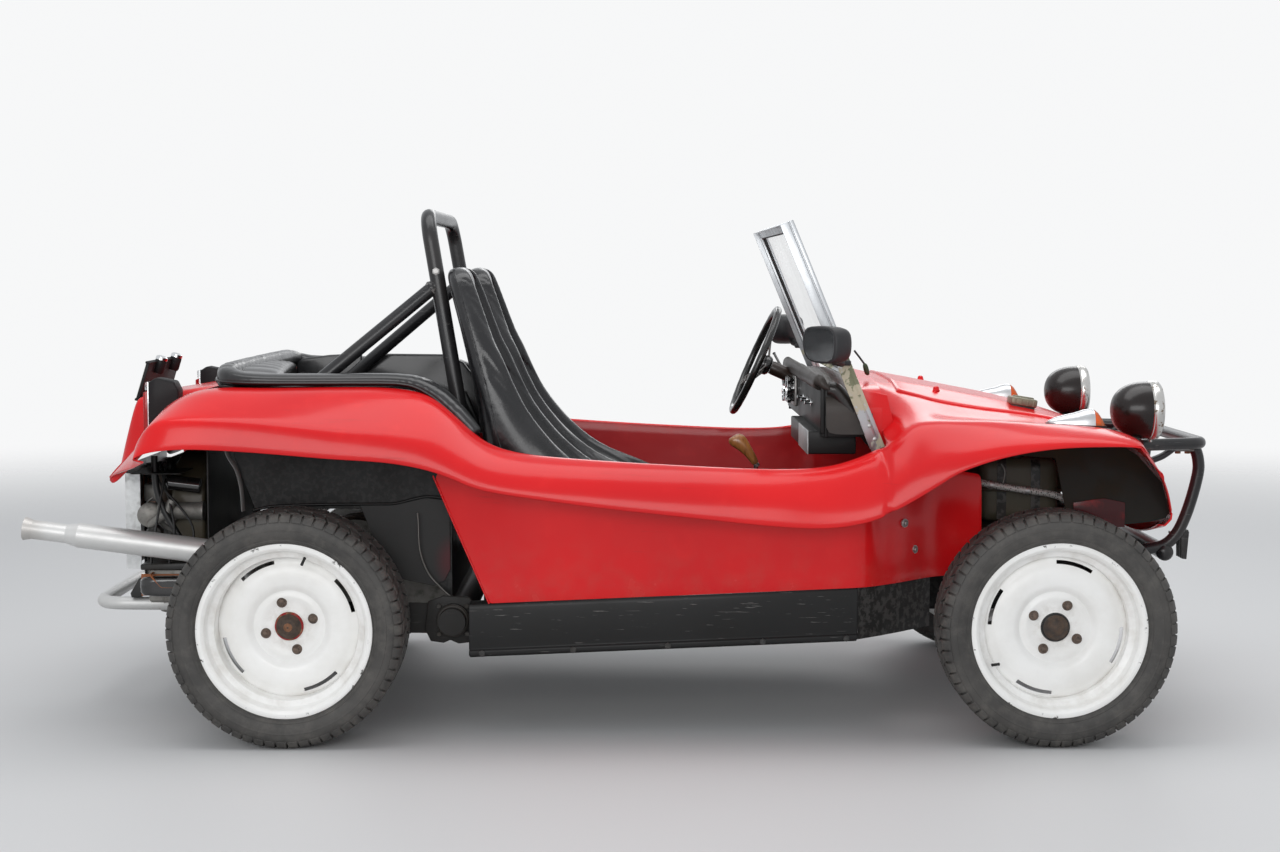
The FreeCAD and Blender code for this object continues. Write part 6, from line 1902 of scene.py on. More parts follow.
def leverPieces():
    foot, top = Vector((0.399, 0, 0.361)), Vector((0.399, 0, 0.668))
    rod = tubeAlong("gearRod", curved([foot, (0.404, 0, 0.47), (0.403, 0, 0.58), top], 6), 0.0065, chrome, 14)
    boot = lathe("gearBoot", [(-0.004, 0), (-0.004, 0.043), (0.004, 0.042), (0.008, 0.034), (0.014, 0.033),
        (0.018, 0.026), (0.025, 0.025), (0.029, 0.019), (0.037, 0.018), (0.042, 0.012), (0.052, 0.011),
        (0.053, 0)], foot, (0, 0, 1), rubber, 28, 50)
    slant = (Vector((0.352, 0, 0.748)) - top).normalized()
    across = Vector((0, 1, 0)).cross(slant).normalized()
    if across.x > 0:
        across = -across
    rings = []
    for along, back, wide, deep in ((-0.002, 0, 0.0085, 0.0085), (0.003, 0, 0.0105, 0.0105),
            (0.02, 0.0, 0.0125, 0.013), (0.045, 0.002, 0.014, 0.0155), (0.064, 0.006, 0.015, 0.02),
            (0.078, 0.01, 0.0155, 0.0245), (0.09, 0.013, 0.0145, 0.0255), (0.099, 0.015, 0.0115, 0.021),
            (0.104, 0.016, 0.006, 0.012)):
        middle = top + slant * along + across * back
        rings.append([middle + across * math.cos(t) * deep + Vector((0, 1, 0)) * math.sin(t) * wide
                      for t in [2 * math.pi * i / 20 for i in range(20)]])
    knob = faceOut(loftOf("gearKnob", rings, knobWood, 1))
    collar = lathe("knobCollar", [(-0.01, 0), (-0.01, 0.0082), (-0.003, 0.0092), (0.0, 0)],
        top, slant, steel, 24, 40)
    brakeBody = block("handbrakeBase", (0.105, 0.01, 0.361), (0.165, 0.038, 0.378), engineBlack, 0.003)
    brake = tubeAlong("handbrake", curved([(0.14, 0.024, 0.37), (0.138, 0.024, 0.395),
        (0.132, 0.024, 0.412)], 4), 0.0075, steel, 12)
    grip = tubeAlong("handbrakeGrip", [(0.1315, 0.024, 0.405), (0.1305, 0.024, 0.412),
        (0.1295, 0.024, 0.425), (0.129, 0.024, 0.43)], [0.009, 0.0105, 0.0105, 0.007], gripBlack, 16)
    pieces = [rod, boot, knob, collar, brakeBody, brake, grip]
    for y, wide in ((0.4, 0.026), (0.32, 0.026), (0.23, 0.024)):
        arm = tubeAlong("pedalArm", curved([(0.612, y, 0.268), (0.616, y, 0.32), (0.606, y, 0.352)], 5),
            0.0065, chassisBlack, 10)
        pad = block("pedalPad", (0.593, y - wide, 0.345), (0.604, y + wide, 0.399), rubber, 0.004)
        pieces += [arm, pad]
        rib = block("padRib", (-0.0012, -wide + 0.004, -0.0015), (0.0012, wide - 0.004, 0.0015), rubber, 0)
        ribs = repeated("padRibs", rib, rowTree, rubber, Count=6, Step=(0, 0, 0.008))
        placed(ribs, Matrix.Translation((0.5925, y, 0.352)))
        pieces.append(ribs)
    return joined("levers", pieces)


ridden(leverPieces(), replaces=("controls",))
ridden(controlPieces())


# wiper: a folded arm beside the screen's foot
wiperGreen = plastic("wiperGreen", (0.035, 0.055, 0.022), 0.5)
wiperRod = tubeAlong("wiperRod", curved([(0.65, -0.33, 1.014), (0.664, -0.33, 0.996),
    (0.682, -0.33, 0.972)], 4), 0.0028, mirrorShell, 8)
wiperHead = loftOf("wiperHead", [[Vector((0.679 + a + h * 0.25, -0.33 + b, 0.98 - h)) for a,
    b in ((-s, -s), (s, -s), (s, s), (-s, s))] for h, s in ((0.0, 0.005), (0.01, 0.0085), (0.026, 0.0085),
    (0.036, 0.006))], wiperGreen, 1)
ridden(joined("wiperArm", [wiperRod, faceOut(wiperHead)]))


# roll bar: bolts through its saddle joints and feet
barBits = []
for side in (1, -1):
    barBits.append(lathe("barBolt", [(0, 0.0105), (0.003, 0.0105), (0.004, 0.007), (0.009, 0.0068),
        (0.0095, 0)], (-0.498, side * 0.4015, 1.232), (0.1, side, 0.05), steel, 6, 25))
    barBits.append(lathe("barWeld", [(-0.006, 0.0195), (0.0, 0.0225), (0.007, 0.0195)],
        (-0.511, side * 0.385, 1.186), (-0.745, side * 0.17, -0.62), barBlack, 28, 60))
    for x in (-0.372, -0.302):
        for shift in (-0.03, 0.03):
            barBits.append(lathe("footBolt", [(0, 0.009), (0.006, 0.009), (0.007, 0.008), (0.007, 0)],
                                 (x + 0.001, side * 0.43 + shift, 0.2755), (0, 0, 1), steel, 6, 25))
ridden(joined("barBolts", barBits))
print("cockpit done")


# headlamps and indicators

headlamp = {"tip": 1.338, "middle": 0.856, "across": 0.44, "long": 0.101, "radius": 0.0775, "blunt": 0.82}


def headlampPieces():
    tip, size = headlamp["tip"], headlamp["radius"]
    middle = (0, -headlamp["across"], headlamp["middle"])
    face = tip + headlamp["long"]
    bowl = [(tip, 0)]
    for step in range(1, 22):
        share = step / 21
        along = tip + headlamp["long"] * (1 - math.cos(share * math.pi / 2) ** headlamp["blunt"])
        bowl.append((along, size * math.sin(share * math.pi / 2) ** headlamp["blunt"]))
    bowl += shifted(face, [(0.004, size), (0.004, size - 0.003), (0.0, size - 0.003),
        (-0.03, size - 0.012), (-0.06, 0.03), (-0.062, 0)])
    shellPiece = lathe("lampBowl", bowl, middle, (1, 0, 0), lampBrown, 56, 35)
    rim = lathe("lampRim", shifted(face, [(-0.003, size + 0.0004), (-0.001, size + 0.0022),
        (0.0015, size + 0.0016), (0.003, size + 0.0026), (0.017, size + 0.0024), (0.023, size + 0.0004),
        (0.0272, size - 0.0045), (0.0275, size - 0.009), (0.025, size - 0.01), (0.016, size - 0.004),
        (-0.003, size - 0.002)]), middle, (1, 0, 0), lampChrome, 72, 40)
    glass = lathe("lampLens", shifted(face, [(0.033, 0), (0.0326, 0.02), (0.0305, 0.045), (0.0275, 0.06),
        (0.0225, size - 0.0085), (0.0195, size - 0.0085), (0.0245, 0.06), (0.0275, 0.045), (0.0296, 0.02),
        (0.03, 0)]), middle, (1, 0, 0), clearLens, 56, 40)
    dish = lathe("lampDish", shifted(face, [(0.009, size - 0.0085), (-0.004, 0.058), (-0.022, 0.04),
        (-0.035, 0.02), (-0.037, 0.01), (-0.039, 0.01), (-0.037, 0.022), (-0.024, 0.043), (-0.006, 0.061),
        (0.007, size - 0.006)]), middle, (1, 0, 0), chrome, 48, 50)
    bulb = lathe("lampBulb", shifted(face, [(-0.038, 0), (-0.038, 0.009), (-0.02, 0.009), (-0.012, 0.007),
        (-0.008, 0)]), middle, (1, 0, 0), galvanised, 24, 40)
    ground = 0.757
    post = lathe("lampPost", [(0.0, 0), (0.0, 0.024), (0.004, 0.0235), (0.008, 0.013), (0.014, 0.0115),
        (0.02, 0.016), (0.026, 0.0165), (0.034, 0.012), (0.04, 0)], (1.401, -headlamp["across"], ground),
        (0, 0, 1), engineBlack, 24, 40)
    screw = lathe("rimScrew", [(0, 0.0045), (0.006, 0.0045), (0.0075, 0.003), (0.0075, 0)],
        (face + 0.008, -headlamp["across"], headlamp["middle"] - size - 0.0095), (0, 0, 1), steel, 12, 40)
    return [shellPiece, rim, glass, dish, bulb, post, screw]


def indicatorPieces():
    base = lambda x: 0.8325 - (x - 1.133) * 0.048
    def ringAt(x, half, high, lift=0.0):
        return [Vector((x, -0.59 + half * math.cos(t), base(x) + lift + high * max(0.0, math.sin(t)) ** 0.85))
                for t in [math.pi * i / 14 for i in range(15)]] + \
               [Vector((x, -0.59 + half * s, base(x) + lift - 0.001)) for s in (-0.6, 0, 0.6)]
    body = [(1.1335, 0.003, 0.004), (1.14, 0.01, 0.009), (1.155, 0.0175, 0.0165), (1.18, 0.025, 0.0245),
        (1.205, 0.0305, 0.031), (1.23, 0.0335, 0.0405), (1.245, 0.0345, 0.043), (1.2545, 0.0345, 0.0425)]
    shellPiece = creased(faceOut(loftOf("indicatorShell",
        [ringAt(*spot) for spot in body], flasherMetal, 0)), 60)
    front = [(1.254, 0.0338, 0.0418), (1.258, 0.0335, 0.0405), (1.266, 0.0318, 0.0345),
        (1.274, 0.0285, 0.023), (1.2825, 0.02, 0.007)]
    glass = creased(faceOut(loftOf("indicatorLens", [ringAt(*spot) for spot in front], amber, 0)), 60)
    outline = [(1.13, -0.005), (1.15, -0.021), (1.2, -0.034), (1.255, -0.038), (1.286, -0.024),
        (1.286, 0.024), (1.255, 0.038), (1.2, 0.034), (1.15, 0.021), (1.13, 0.005)]
    low = [Vector((x, -0.59 + y, base(x) - 0.006)) for x, y in outline]
    high = [Vector((x, -0.59 + y, base(x) + 0.0008)) for x, y in outline]
    gasket = creased(faceOut(loftOf("indicatorGasket", [low, high], rubber, 0)), 35)
    return [shellPiece, glass, gasket]


lampBrown = Finish("lampBrown", IOR=1.5, CoatRoughness=0.16, SpecularIORLevel=0.3, CoatWeight=0.25)
lampHaze = lampBrown.noise(15, 4, 0.6).step(0.45, 0.85)
lampBrown.set(BaseColor=lampBrown.mix(lampHaze * 0.4, (0.0105, 0.007, 0.0062), (0.02, 0.016, 0.014)),
    Roughness=0.26 + lampHaze * 0.2)
lampBrown = lampBrown.material
lampChrome = Finish("lampChrome")
peeled = lampChrome.noise(75, 5, 0.7).step(0.56, 0.6) * lampChrome.noise(14, 3, 0.5).step(0.4, 0.55)
haze = lampChrome.noise(9, 3, 0.5)
lampChrome.set(BaseColor=lampChrome.mix(peeled, lampChrome.mix(haze, (0.74, 0.73, 0.71), (0.5, 0.49,
    0.47)), (0.16, 0.12, 0.08)), Metallic=0.97 - peeled * 0.7, Roughness=0.16 + haze * 0.16 + peeled * 0.4)
lampChrome = lampChrome.material
flasherMetal = metal("flasherMetal", (0.66, 0.67, 0.68), 0.24, 1.0, (0.2, 0.18, 0.15), 0.3, bumps=0.05)
lampSide = joined("frontLampsRight", headlampPieces() + indicatorPieces())
ridden(onBothSides(lampSide, "frontLamps"), replaces=("front_lamps",))
print("front lamps done")


# fuel tank with its strap, hose and filler

tank = {"low": (1.0, -0.3, 0.53), "high": (1.24, 0.3, 0.712), "fill": (1.12, -0.285)}


def tankPieces():
    low, high = tank["low"], tank["high"]
    body = block("tankBody", (low[0] + 0.007, low[1] + 0.007, low[2]),
        (high[0] - 0.007, high[1] - 0.007, high[2]), tankPaint, 0.034, 6)
    lip = block("tankLip", (low[0], low[1], 0.617), (high[0], high[1], 0.6205), tankPaint, 0.0012, 2)
    applied(lip, rounded(0.001, 1))
    pieces = [body, lip]
    for x in (1.07, 1.165):
        way = bentPath([(x, low[1] + 0.006, low[2] + 0.01), (x, low[1] + 0.006, high[2] + 0.001),
            (x, high[1] - 0.006, high[2] + 0.001), (x, high[1] - 0.006, low[2] + 0.01)], 0.036, 6)
        rings = []
        for index, spot in enumerate(way):
            ahead = (way[min(index + 1, len(way) - 1)] - way[max(index - 1, 0)]).normalized()
            out = Vector((1, 0, 0)).cross(ahead).normalized()
            rings.append([spot + Vector((1, 0, 0)) * a + out * b for a,
                b in ((-0.013, -0.001), (0.013, -0.001), (0.013, 0.0012), (-0.013, 0.0012))])
        pieces.append(creased(faceOut(loftOf("tankStrap", rings, engineBlack, 0)), 40))
    x, y = tank["fill"]
    neck = tubeAlong("fillerNeck", curved([(x, y + 0.04, 0.7), (x, y + 0.03, 0.745), (x, y, 0.8),
        (x, y, 0.852)], 5), 0.0225, engineBlack, 24)
    lean = Matrix.Translation((x + 0.004, y, 0.857)) @ Matrix.Rotation(math.radians(9), 4, "Y")
    bits = [block("fillerCap", (-0.037, -0.033, 0.001), (0.037, 0.033, 0.0235), oliveCap, 0.005, 3),
            block("fillerSkirt", (-0.033, -0.029, -0.016), (0.033, 0.029, 0.003), engineBlack, 0.004, 2),
            block("fillerGrip", (-0.028, -0.008, 0.022), (0.03, 0.008, 0.0275), oliveCap, 0.002, 2)]
    for across in (-0.026, -0.009, 0.009, 0.026):
        bits.append(block("capRib", (across - 0.003, -0.0345, 0.003),
            (across + 0.003, 0.0345, 0.021), oliveCap, 0.001))
    for bit in bits:
        placed(bit, lean)
    return joined("fuelTank", pieces + [neck] + bits)


def braidedHose():
    way = curved([(0.925, -0.352, 0.667), (0.95, -0.352, 0.66), (1.03, -0.345, 0.642),
        (1.12, -0.338, 0.627), (1.21, -0.33, 0.612), (1.25, -0.322, 0.59), (1.268, -0.3, 0.56)], 8)
    core = tubeAlong("hoseCore", way, 0.0092, braid, 14)
    pieces = [core]
    bead = lathe("braidBead", [(-0.0016, 0.0088), (0.0, 0.0102), (0.0016, 0.0088)], (0, 0, 0),
        (0, 0, 1), braid, 14, 60)
    rings = repeated("braidRings", bead, pathTree, braid, way=way[8:40], Count=66)
    pieces.append(rings)
    for spot, ahead in ((way[16], way[17] - way[15]), (way[25], way[26] - way[24]),
            (way[38], way[39] - way[37])):
        pieces.append(lathe("hoseClip", [(-0.006, 0.0095), (-0.006, 0.0118), (0.006, 0.0118),
            (0.006, 0.0095)], spot, ahead, galvanised, 24, 40))
    for start, end, size in (((1.265, -0.305, 0.575), (1.3, -0.36, 0.528), 0.004), ((1.255, -0.315, 0.585),
            (1.29, -0.4, 0.548), 0.003), ((1.062, -0.352, 0.645), (1.058, -0.352, 0.7), 0.0025)):
        start, end = Vector(start), Vector(end)
        pieces.append(tubeAlong("brakeLine",
            curved([start, start.lerp(end, 0.5) + Vector((0.008, 0, 0.006)), end], 6), size, steelDark, 8))
    return joined("fuelHose", pieces)


oliveCap = metal("oliveCap", (0.24, 0.22, 0.16), 0.36, 0.6, (0.06, 0.05, 0.03), 0.5)
braid = Finish("hoseBraid", Metallic=0.3)
weave = braid.cells(190, "F1").step(0.26, 0.4)
braid.set(BaseColor=braid.mix(weave, (0.03, 0.03, 0.03), (0.62, 0.62, 0.6)), Roughness=0.6 - weave * 0.2)
braid = braid.material
ridden(tankPieces(), replaces=("fuel_tank",))
ridden(braidedHose())


def innerWing():
    # a dark splash panel under each wing from the tank to the nose, with a strip at its foot in body red
    # darkened to stand for the shade there (painted shade)
    high = [(0.985, 0.826), (1.1, 0.818), (1.24, 0.8), (1.345, 0.776), (1.42, 0.73),
        (1.488, 0.655), (1.512, 0.575)]
    low = [(0.985, 0.735), (1.1, 0.728), (1.196, 0.722), (1.232, 0.548), (1.36, 0.536),
        (1.45, 0.545), (1.5, 0.556)]
    rings = []
    for across in (0.4045, 0.4085):
        top = [Vector((x, -across, z)) for x, z in high]
        foot = [Vector((x, -across, z)) for x, z in low]
        rings.append((top, foot))
    points, faces, count = [], [], len(high)
    for top, foot in rings:
        points += top + foot
    for index in range(count - 1):
        a, b, c, d = index, index + 1, count + index + 1, count + index
        e = 2 * count
        faces += [(a, b, c, d), (a + e, d + e, c + e, b + e), (a, a + e, b + e, b), (d, c, c + e, d + e)]
    faces += [(0, count, 3 * count, 2 * count), (count - 1, 3 * count - 1, 4 * count - 1, 2 * count - 1)]
    sheet = faceOut(meshOf("splashPanel", points, faces, wingInside, 0))
    # painted shade: this strip is the body red made dark for the shade under the wing
    strip = slab("wingFoot", [(1.246, 0.532), (1.246, 0.6), (1.33, 0.612), (1.388, 0.6), (1.388, 0.532)],
        -0.4125, -0.4095, deepShadeRed, 0.001)
    chin = []
    for step in range(25):
        y = -0.436 + 0.872 * step / 24
        s = (abs(y) / 0.436) ** 2
        outer = [(1.5525 - 0.04 * s, 0.572), (1.5515 - 0.041 * s, 0.556), (1.544 - 0.04 * s, 0.522 + 0.026
            * s), (1.524 - 0.03 * s, 0.494 + 0.044 * s), (1.495 - 0.02 * s, 0.482 + 0.058 * s)]
        line = [Vector((x, y, z)) for x, z in outer]
        inside = [Vector((x - 0.0045, y, z + 0.003)) for x, z in outer][::-1]
        chin.append(line + inside)
    return [sheet, strip], creased(faceOut(loftOf("noseChin", chin, red, 0)), 50)


wingParts, noseLip = innerWing()
wings = joined("innerWingRight", wingParts)
ridden(onBothSides(wings, "innerWings"))
ridden(noseLip)


# front bumper: tubes and hoops with their struts, brackets and slatted plates

def bumperBits():
    pieces = []
    loop = bentPath([(1.43, -0.4, 0.757), (1.618, -0.34, 0.757), (1.618, 0.34, 0.757),
        (1.43, 0.4, 0.757)], 0.055, 10)
    pieces.append(tubeAlong("upperTube", loop, 0.0168, barBlack, 22))
    pieces.append(tubeAlong("lowerRod", [(1.53, -0.292, 0.446), (1.53, 0.0, 0.446),
        (1.53, 0.292, 0.446)], 0.0225, barBlack, 32))
    for side in (1, -1):
        pieces.append(tubeAlong("bumperStrut", curved([(1.545, side * 0.335, 0.748),
            (1.51, side * 0.335, 0.722), (1.47, side * 0.335, 0.706)], 5), 0.0095, barBlack, 14))
        hoop = curved([(1.596, side * 0.29, 0.752), (1.6125, side * 0.29, 0.733),
            (1.6205, side * 0.29, 0.705), (1.621, side * 0.29, 0.672), (1.608, side * 0.29, 0.612),
            (1.588, side * 0.29, 0.548), (1.564, side * 0.29, 0.498), (1.53, side * 0.29, 0.466),
            (1.48, side * 0.29, 0.454), (1.4, side * 0.29, 0.444), (1.318, side * 0.29, 0.418)], 6)
        pieces.append(tubeAlong("bumperHoop", hoop, 0.0165, barBlack, 20))
        pieces.append(lathe("lowerRodEnd", [(-0.004, 0), (-0.004, 0.0235), (0.01, 0.0235), (0.018, 0.019),
            (0.022, 0.01), (0.023, 0)], (1.53, side * 0.292, 0.446), (0, side, 0), barBlack, 32, 40))
        pieces.append(block("bumperBracket", (1.53, side * 0.3 - 0.01, 0.731),
            (1.604, side * 0.3 + 0.01, 0.741), steelDark, 0.002))
        for x in (1.56, 1.587):
            pieces.append(lathe("bumperBolt", [(0, 0.008), (0.006, 0.008), (0.007, 0.007), (0.007, 0)],
                                (x, side * 0.3, 0.7315), (0, 0, -1), rust, 6, 25))
        slat = slab("bumperSlat", [(0.0, 0.0), (0.002, -0.082), (0.016, -0.084), (0.022, -0.008),
            (0.019, 0.0)], -0.0025, 0.0025, barBlack, 0.0012, "y", 2)
        slats = repeated("bumperSlats", slat, rowTree, barBlack, Count=4, Step=(0, 0.018, 0))
        placed(slats, Matrix.Translation((1.5795, side * 0.255 - 0.027, 0.508)))
        strip = block("slatStrip", (1.56, side * 0.255 - 0.036, 0.49),
            (1.599, side * 0.255 + 0.036, 0.497), barBlack, 0.001)
        pieces += [slats, strip]
    return joined("bumperBits", pieces)


ridden(bumperBits(), replaces=("front_bumper",))
print("front done")


# rear lamps and blank number plate

def rearLampPieces(side):
    across = side * 0.33
    outline = [(-1.2985, 0.766), (-1.2985, 0.926), (-1.276, 0.9405), (-1.226, 0.93), (-1.214, 0.905),
        (-1.214, 0.862), (-1.28, 0.764)]
    housing = slab("rearLampBox", outline, across - 0.0305, across + 0.0305, lampBox, 0.005, "y", 3)
    glass = slab("rearLens", [(-1.299, 0.768), (-1.3115, 0.773), (-1.3115, 0.899), (-1.299, 0.904)],
        across - 0.03, across + 0.03, redLens, 0.002, "y", 2)
    rim = slab("rearLampRim", [(-1.2965, 0.766), (-1.2995, 0.766), (-1.2995, 0.9285), (-1.2965, 0.9295)],
        across - 0.031, across + 0.031, chrome, 0.001, "y", 2)
    rim = joined("rearLampTrim", [rim, slab("rearReflector", [(-1.299, 0.905), (-1.306, 0.906),
        (-1.306, 0.926), (-1.299, 0.929)], across - 0.03, across + 0.03, clearLens, 0.0015, "y", 2)])
    return [housing, glass, rim]


def platePieces():
    foot, top = Vector((-1.374, 0, 0.869)), Vector((-1.341, 0, 0.976))
    run = (top - foot).normalized()
    out = Vector((-run.z, 0, run.x))
    def board(name, half, low, high, near, far, look, edge):
        rings = []
        for depth in (near, far):
            rings.append([foot + run * up + out * depth + Vector((0, across, 0))
                          for across, up in ((-half, low), (half, low), (half, high), (-half, high))])
        return eased(loftOf(name, rings, look, 0), edge)
    long = (top - foot).length
    pieces = [board("plateHolder", 0.195, 0.0, long, -0.01, -0.001, lampBox, 0.0015),
              board("plateFace", 0.191, 0.004, long - 0.004, -0.001, 0.0008, plateWhite, 0.0006),
              board("plateEdge", 0.1965, -0.002, 0.004, -0.011, 0.002, lampBox, 0.001),
              board("plateEdgeTop", 0.1965, long - 0.004, long + 0.002, -0.011, 0.002, lampBox, 0.001)]
    for across in (-0.095, 0.095):
        spot = foot + run * (long - 0.002) - out * 0.018 + Vector((0, across, 0))
        pieces.append(lathe("plateLamp", [(-0.03, 0), (-0.03, 0.014), (-0.024, 0.0165), (0.006, 0.0165),
            (0.01, 0.015), (0.011, 0)], spot, run, lampBox, 24, 40))
        pieces.append(lathe("plateLampCap", [(0.008, 0.015), (0.01, 0.0172), (0.018, 0.0165),
            (0.021, 0.011), (0.022, 0)], spot, run, chrome, 24, 40))
    for across in (-0.11, 0.11):
        pieces.append(tubeAlong("plateLeg", [foot + run * 0.03 - out * 0.012 + Vector((0, across, 0)), foot
            + Vector((0.012, across, -0.03)), foot + Vector((0.02, across, -0.06))], 0.006, lampBox, 10))
    return joined("numberPlate", pieces)


lampBox = coatedBlack("lampBox", (0.009, 0.009, 0.0095), 0.55, 0.2, 0.1, (0.03, 0.03, 0.03), 0.14, 0.05)
ridden(joined("rearLamps", rearLampPieces(1) + rearLampPieces(-1)),
    replaces=("rear_lamps",))
ridden(platePieces(), replaces=("number_plate",))
print("rear lamps and plate done")


# engine: case, finned cylinders, rocker covers with wire bails, fan shroud, generator and belt

motor = {"case": ((-1.331, -0.15, 0.25), (-1.011, 0.15, 0.465)), "bores": (-1.243, -1.117),
    "middle": 0.368, "fins": 11}


def finnedCylinders(side):
    pieces = []
    for x in motor["bores"]:
        barrel = lathe("barrel", [(0.14, 0), (0.14, 0.044), (0.3, 0.044), (0.3, 0)],
            (x, 0, motor["middle"]), (0, side, 0), castAlloy, 32, 40)
        fin = lathe("fin", [(-0.001, 0.042), (-0.001, 0.0505), (0.001, 0.0505), (0.001, 0.042)], (0, 0, 0),
            (0, 1, 0), castAlloy, 28, 40)
        fins = repeated("fins", fin, rowTree, castAlloy, Count=motor["fins"], Step=(0, 0.0118, 0))
        placed(fins, Matrix.Translation((x, side * 0.16 if side > 0
            else -0.16 - 0.0118 * (motor["fins"] - 1), motor["middle"])))
        pieces += [barrel, fins]
    low, high = (-1.301, 0.288, 0.32), (-1.061, 0.383, 0.416)
    head = block("cylinderHead", (low[0], min(side * low[1], side * high[1]), low[2]),
        (high[0], max(side * low[1], side * high[1]), high[2]), castAlloy, 0.008)
    pieces.append(head)
    rib = block("headRib", (-0.117, -0.0012, -0.051), (0.117, 0.0012, 0.051), castAlloy, 0)
    ribs = repeated("headRibs", rib, rowTree, castAlloy, Count=6, Step=(0, 0.013, 0))
    placed(ribs, Matrix.Translation((-1.181, side * 0.3 if side > 0 else -0.3 - 0.065, motor["middle"])))
    pieces.append(ribs)
    tin = slab("coolingTin", [(-1.318, 0.412), (-1.318, 0.428), (-1.06, 0.44), (-1.04, 0.43), (-1.04, 0.412)],
               side * 0.152, side * 0.4, engineBlack, 0.004)
    pieces.append(tin)
    outline = [(-1.3185, 0.346), (-1.312, 0.34), (-1.078, 0.34), (-1.0715, 0.346), (-1.0715, 0.392),
        (-1.08, 0.3985), (-1.31, 0.3985), (-1.3185, 0.392)]
    rings = []
    for out, size in ((0.384, 1.0), (0.4055, 1.0), (0.42, 0.965), (0.4285, 0.86), (0.4295, 0.5)):
        rings.append([Vector((-1.195 + (x + 1.195) * size, side * out,
            0.3692 + (z - 0.3692) * size)) for x, z in outline])
    cover = faceOut(loftOf("rockerCover", rings, glossBlack, 1))
    pieces.append(cover)
    bail = bentPath([(-1.285, side * 0.392, 0.4035), (-1.285, side * 0.429, 0.4015),
        (-1.255, side * 0.4295, 0.368), (-1.135, side * 0.4295, 0.368), (-1.105, side * 0.429, 0.4015),
        (-1.105, side * 0.392, 0.4035)], 0.012, 5)
    pieces.append(tubeAlong("coverBail", [spot - Vector((0, side * 0.0028, 0))
        for spot in bail], 0.0028, bailOrange, 8))
    pieces.append(block("coverSeam", (-1.319, min(side * 0.3835, side * 0.3885), 0.339),
        (-1.0705, max(side * 0.3835, side * 0.3885), 0.3995), bailOrange, 0.001))
    for x in motor["bores"]:
        for shift in (-0.03, 0.03):
            pieces.append(lathe("pushrodTube", [(0.145, 0), (0.145, 0.009), (0.29, 0.009), (0.29, 0)],
                (x + shift, 0, 0.305), (0, side, 0), steelDark, 12, 40))
    return pieces


def enginePieces():
    low, high = motor["case"]
    case = block("crankcase", low, high, castAlloy, 0.016, 3)
    sump = block("sump", (-1.262, -0.105, 0.247), (-1.075, 0.105, 0.262), castAlloy, 0.006)
    pieces = [case, sump]
    rib = block("caseRib", (-0.0035, -0.152, -0.07), (0.0035, 0.152, 0.06), castAlloy, 0)
    ribs = repeated("caseRibs", rib, rowTree, castAlloy, Count=6, Step=(0.052, 0, 0))
    placed(ribs, Matrix.Translation((-1.3, 0, 0.345)))
    pieces.append(ribs)
    for side in (1, -1):
        pieces += finnedCylinders(side)
    return joined("engineBlock", pieces)


def shroudPieces():
    outline = [(-0.28, 0.468), (-0.28, 0.6), (-0.262, 0.652), (-0.215, 0.692), (-0.13, 0.716),
        (0.0, 0.724), (0.13, 0.716), (0.215, 0.692), (0.262, 0.652), (0.28, 0.6), (0.28, 0.468)]
    housing = slab("shroudHousing", outline, -1.2575, -1.164, shroudPaint, 0.01, "x", 3)
    pieces = [housing]
    pieces.append(lathe("fanRing", [(-1.166, 0.045), (-1.166, 0.108), (-1.15, 0.104), (-1.146, 0.098),
        (-1.146, 0.086), (-1.158, 0.082), (-1.158, 0.045)], (0, 0, 0.6), (1, 0, 0), shroudPaint, 40, 40))
    pieces.append(lathe("generator", [(-1.256, 0), (-1.256, 0.046), (-1.262, 0.051), (-1.3, 0.0515),
        (-1.302, 0.0505), (-1.346, 0.0505), (-1.349, 0.0515), (-1.362, 0.05), (-1.366, 0.03),
        (-1.371, 0.016), (-1.371, 0)][::-1], (0, 0, 0.6), (1, 0, 0), steelDark, 40, 35))
    pieces.append(lathe("upperPulley", [(-1.3905, 0), (-1.3905, 0.012), (-1.388, 0.02), (-1.388, 0.052),
        (-1.3895, 0.0685), (-1.3875, 0.07), (-1.381, 0.06), (-1.3745, 0.07), (-1.3725, 0.0685),
        (-1.374, 0.05), (-1.372, 0.014), (-1.372, 0)], (0, 0, 0.6), (1, 0, 0), copper, 48, 35))
    pieces.append(lathe("sidePipe", [(-1.286, 0.0), (-1.286, 0.024), (-1.282, 0.0262), (-1.276, 0.0262),
        (-1.272, 0.0245), (-1.17, 0.0245), (-1.166, 0.027), (-1.16, 0.027), (-1.158, 0.0)],
        (0, -0.306, 0.566), (1, 0, 0), castAlloy, 32, 40))
    belt = []
    upper, lower = (0.6, 0.0635), (0.377, 0.0785)
    for step in range(17):
        turn = math.pi * step / 16
        belt.append(Vector((-1.381, math.cos(turn) * upper[1], upper[0] + math.sin(turn) * upper[1])))
    for step in range(17):
        turn = math.pi + math.pi * step / 16
        belt.append(Vector((-1.381, math.cos(turn) * lower[1], lower[0] + math.sin(turn) * lower[1])))
    pieces.append(tubeAlong("fanBelt", belt, 0.0048, rubber, 8, closed=True))
    return joined("fanShroud", pieces)


def crankPieces():
    return lathe("crankPulley", [(-1.3315, 0), (-1.3315, 0.022), (-1.36, 0.022), (-1.362, 0.05),
        (-1.3745, 0.082), (-1.3735, 0.085), (-1.3755, 0.0852), (-1.3812, 0.075), (-1.3825, 0.085),
        (-1.3828, 0.0835), (-1.3815, 0.06), (-1.3815, 0.026), (-1.3828, 0.02), (-1.3828, 0)][::-1],
        (0, 0, 0.377), (1, 0, 0), steelDark, 48, 35)


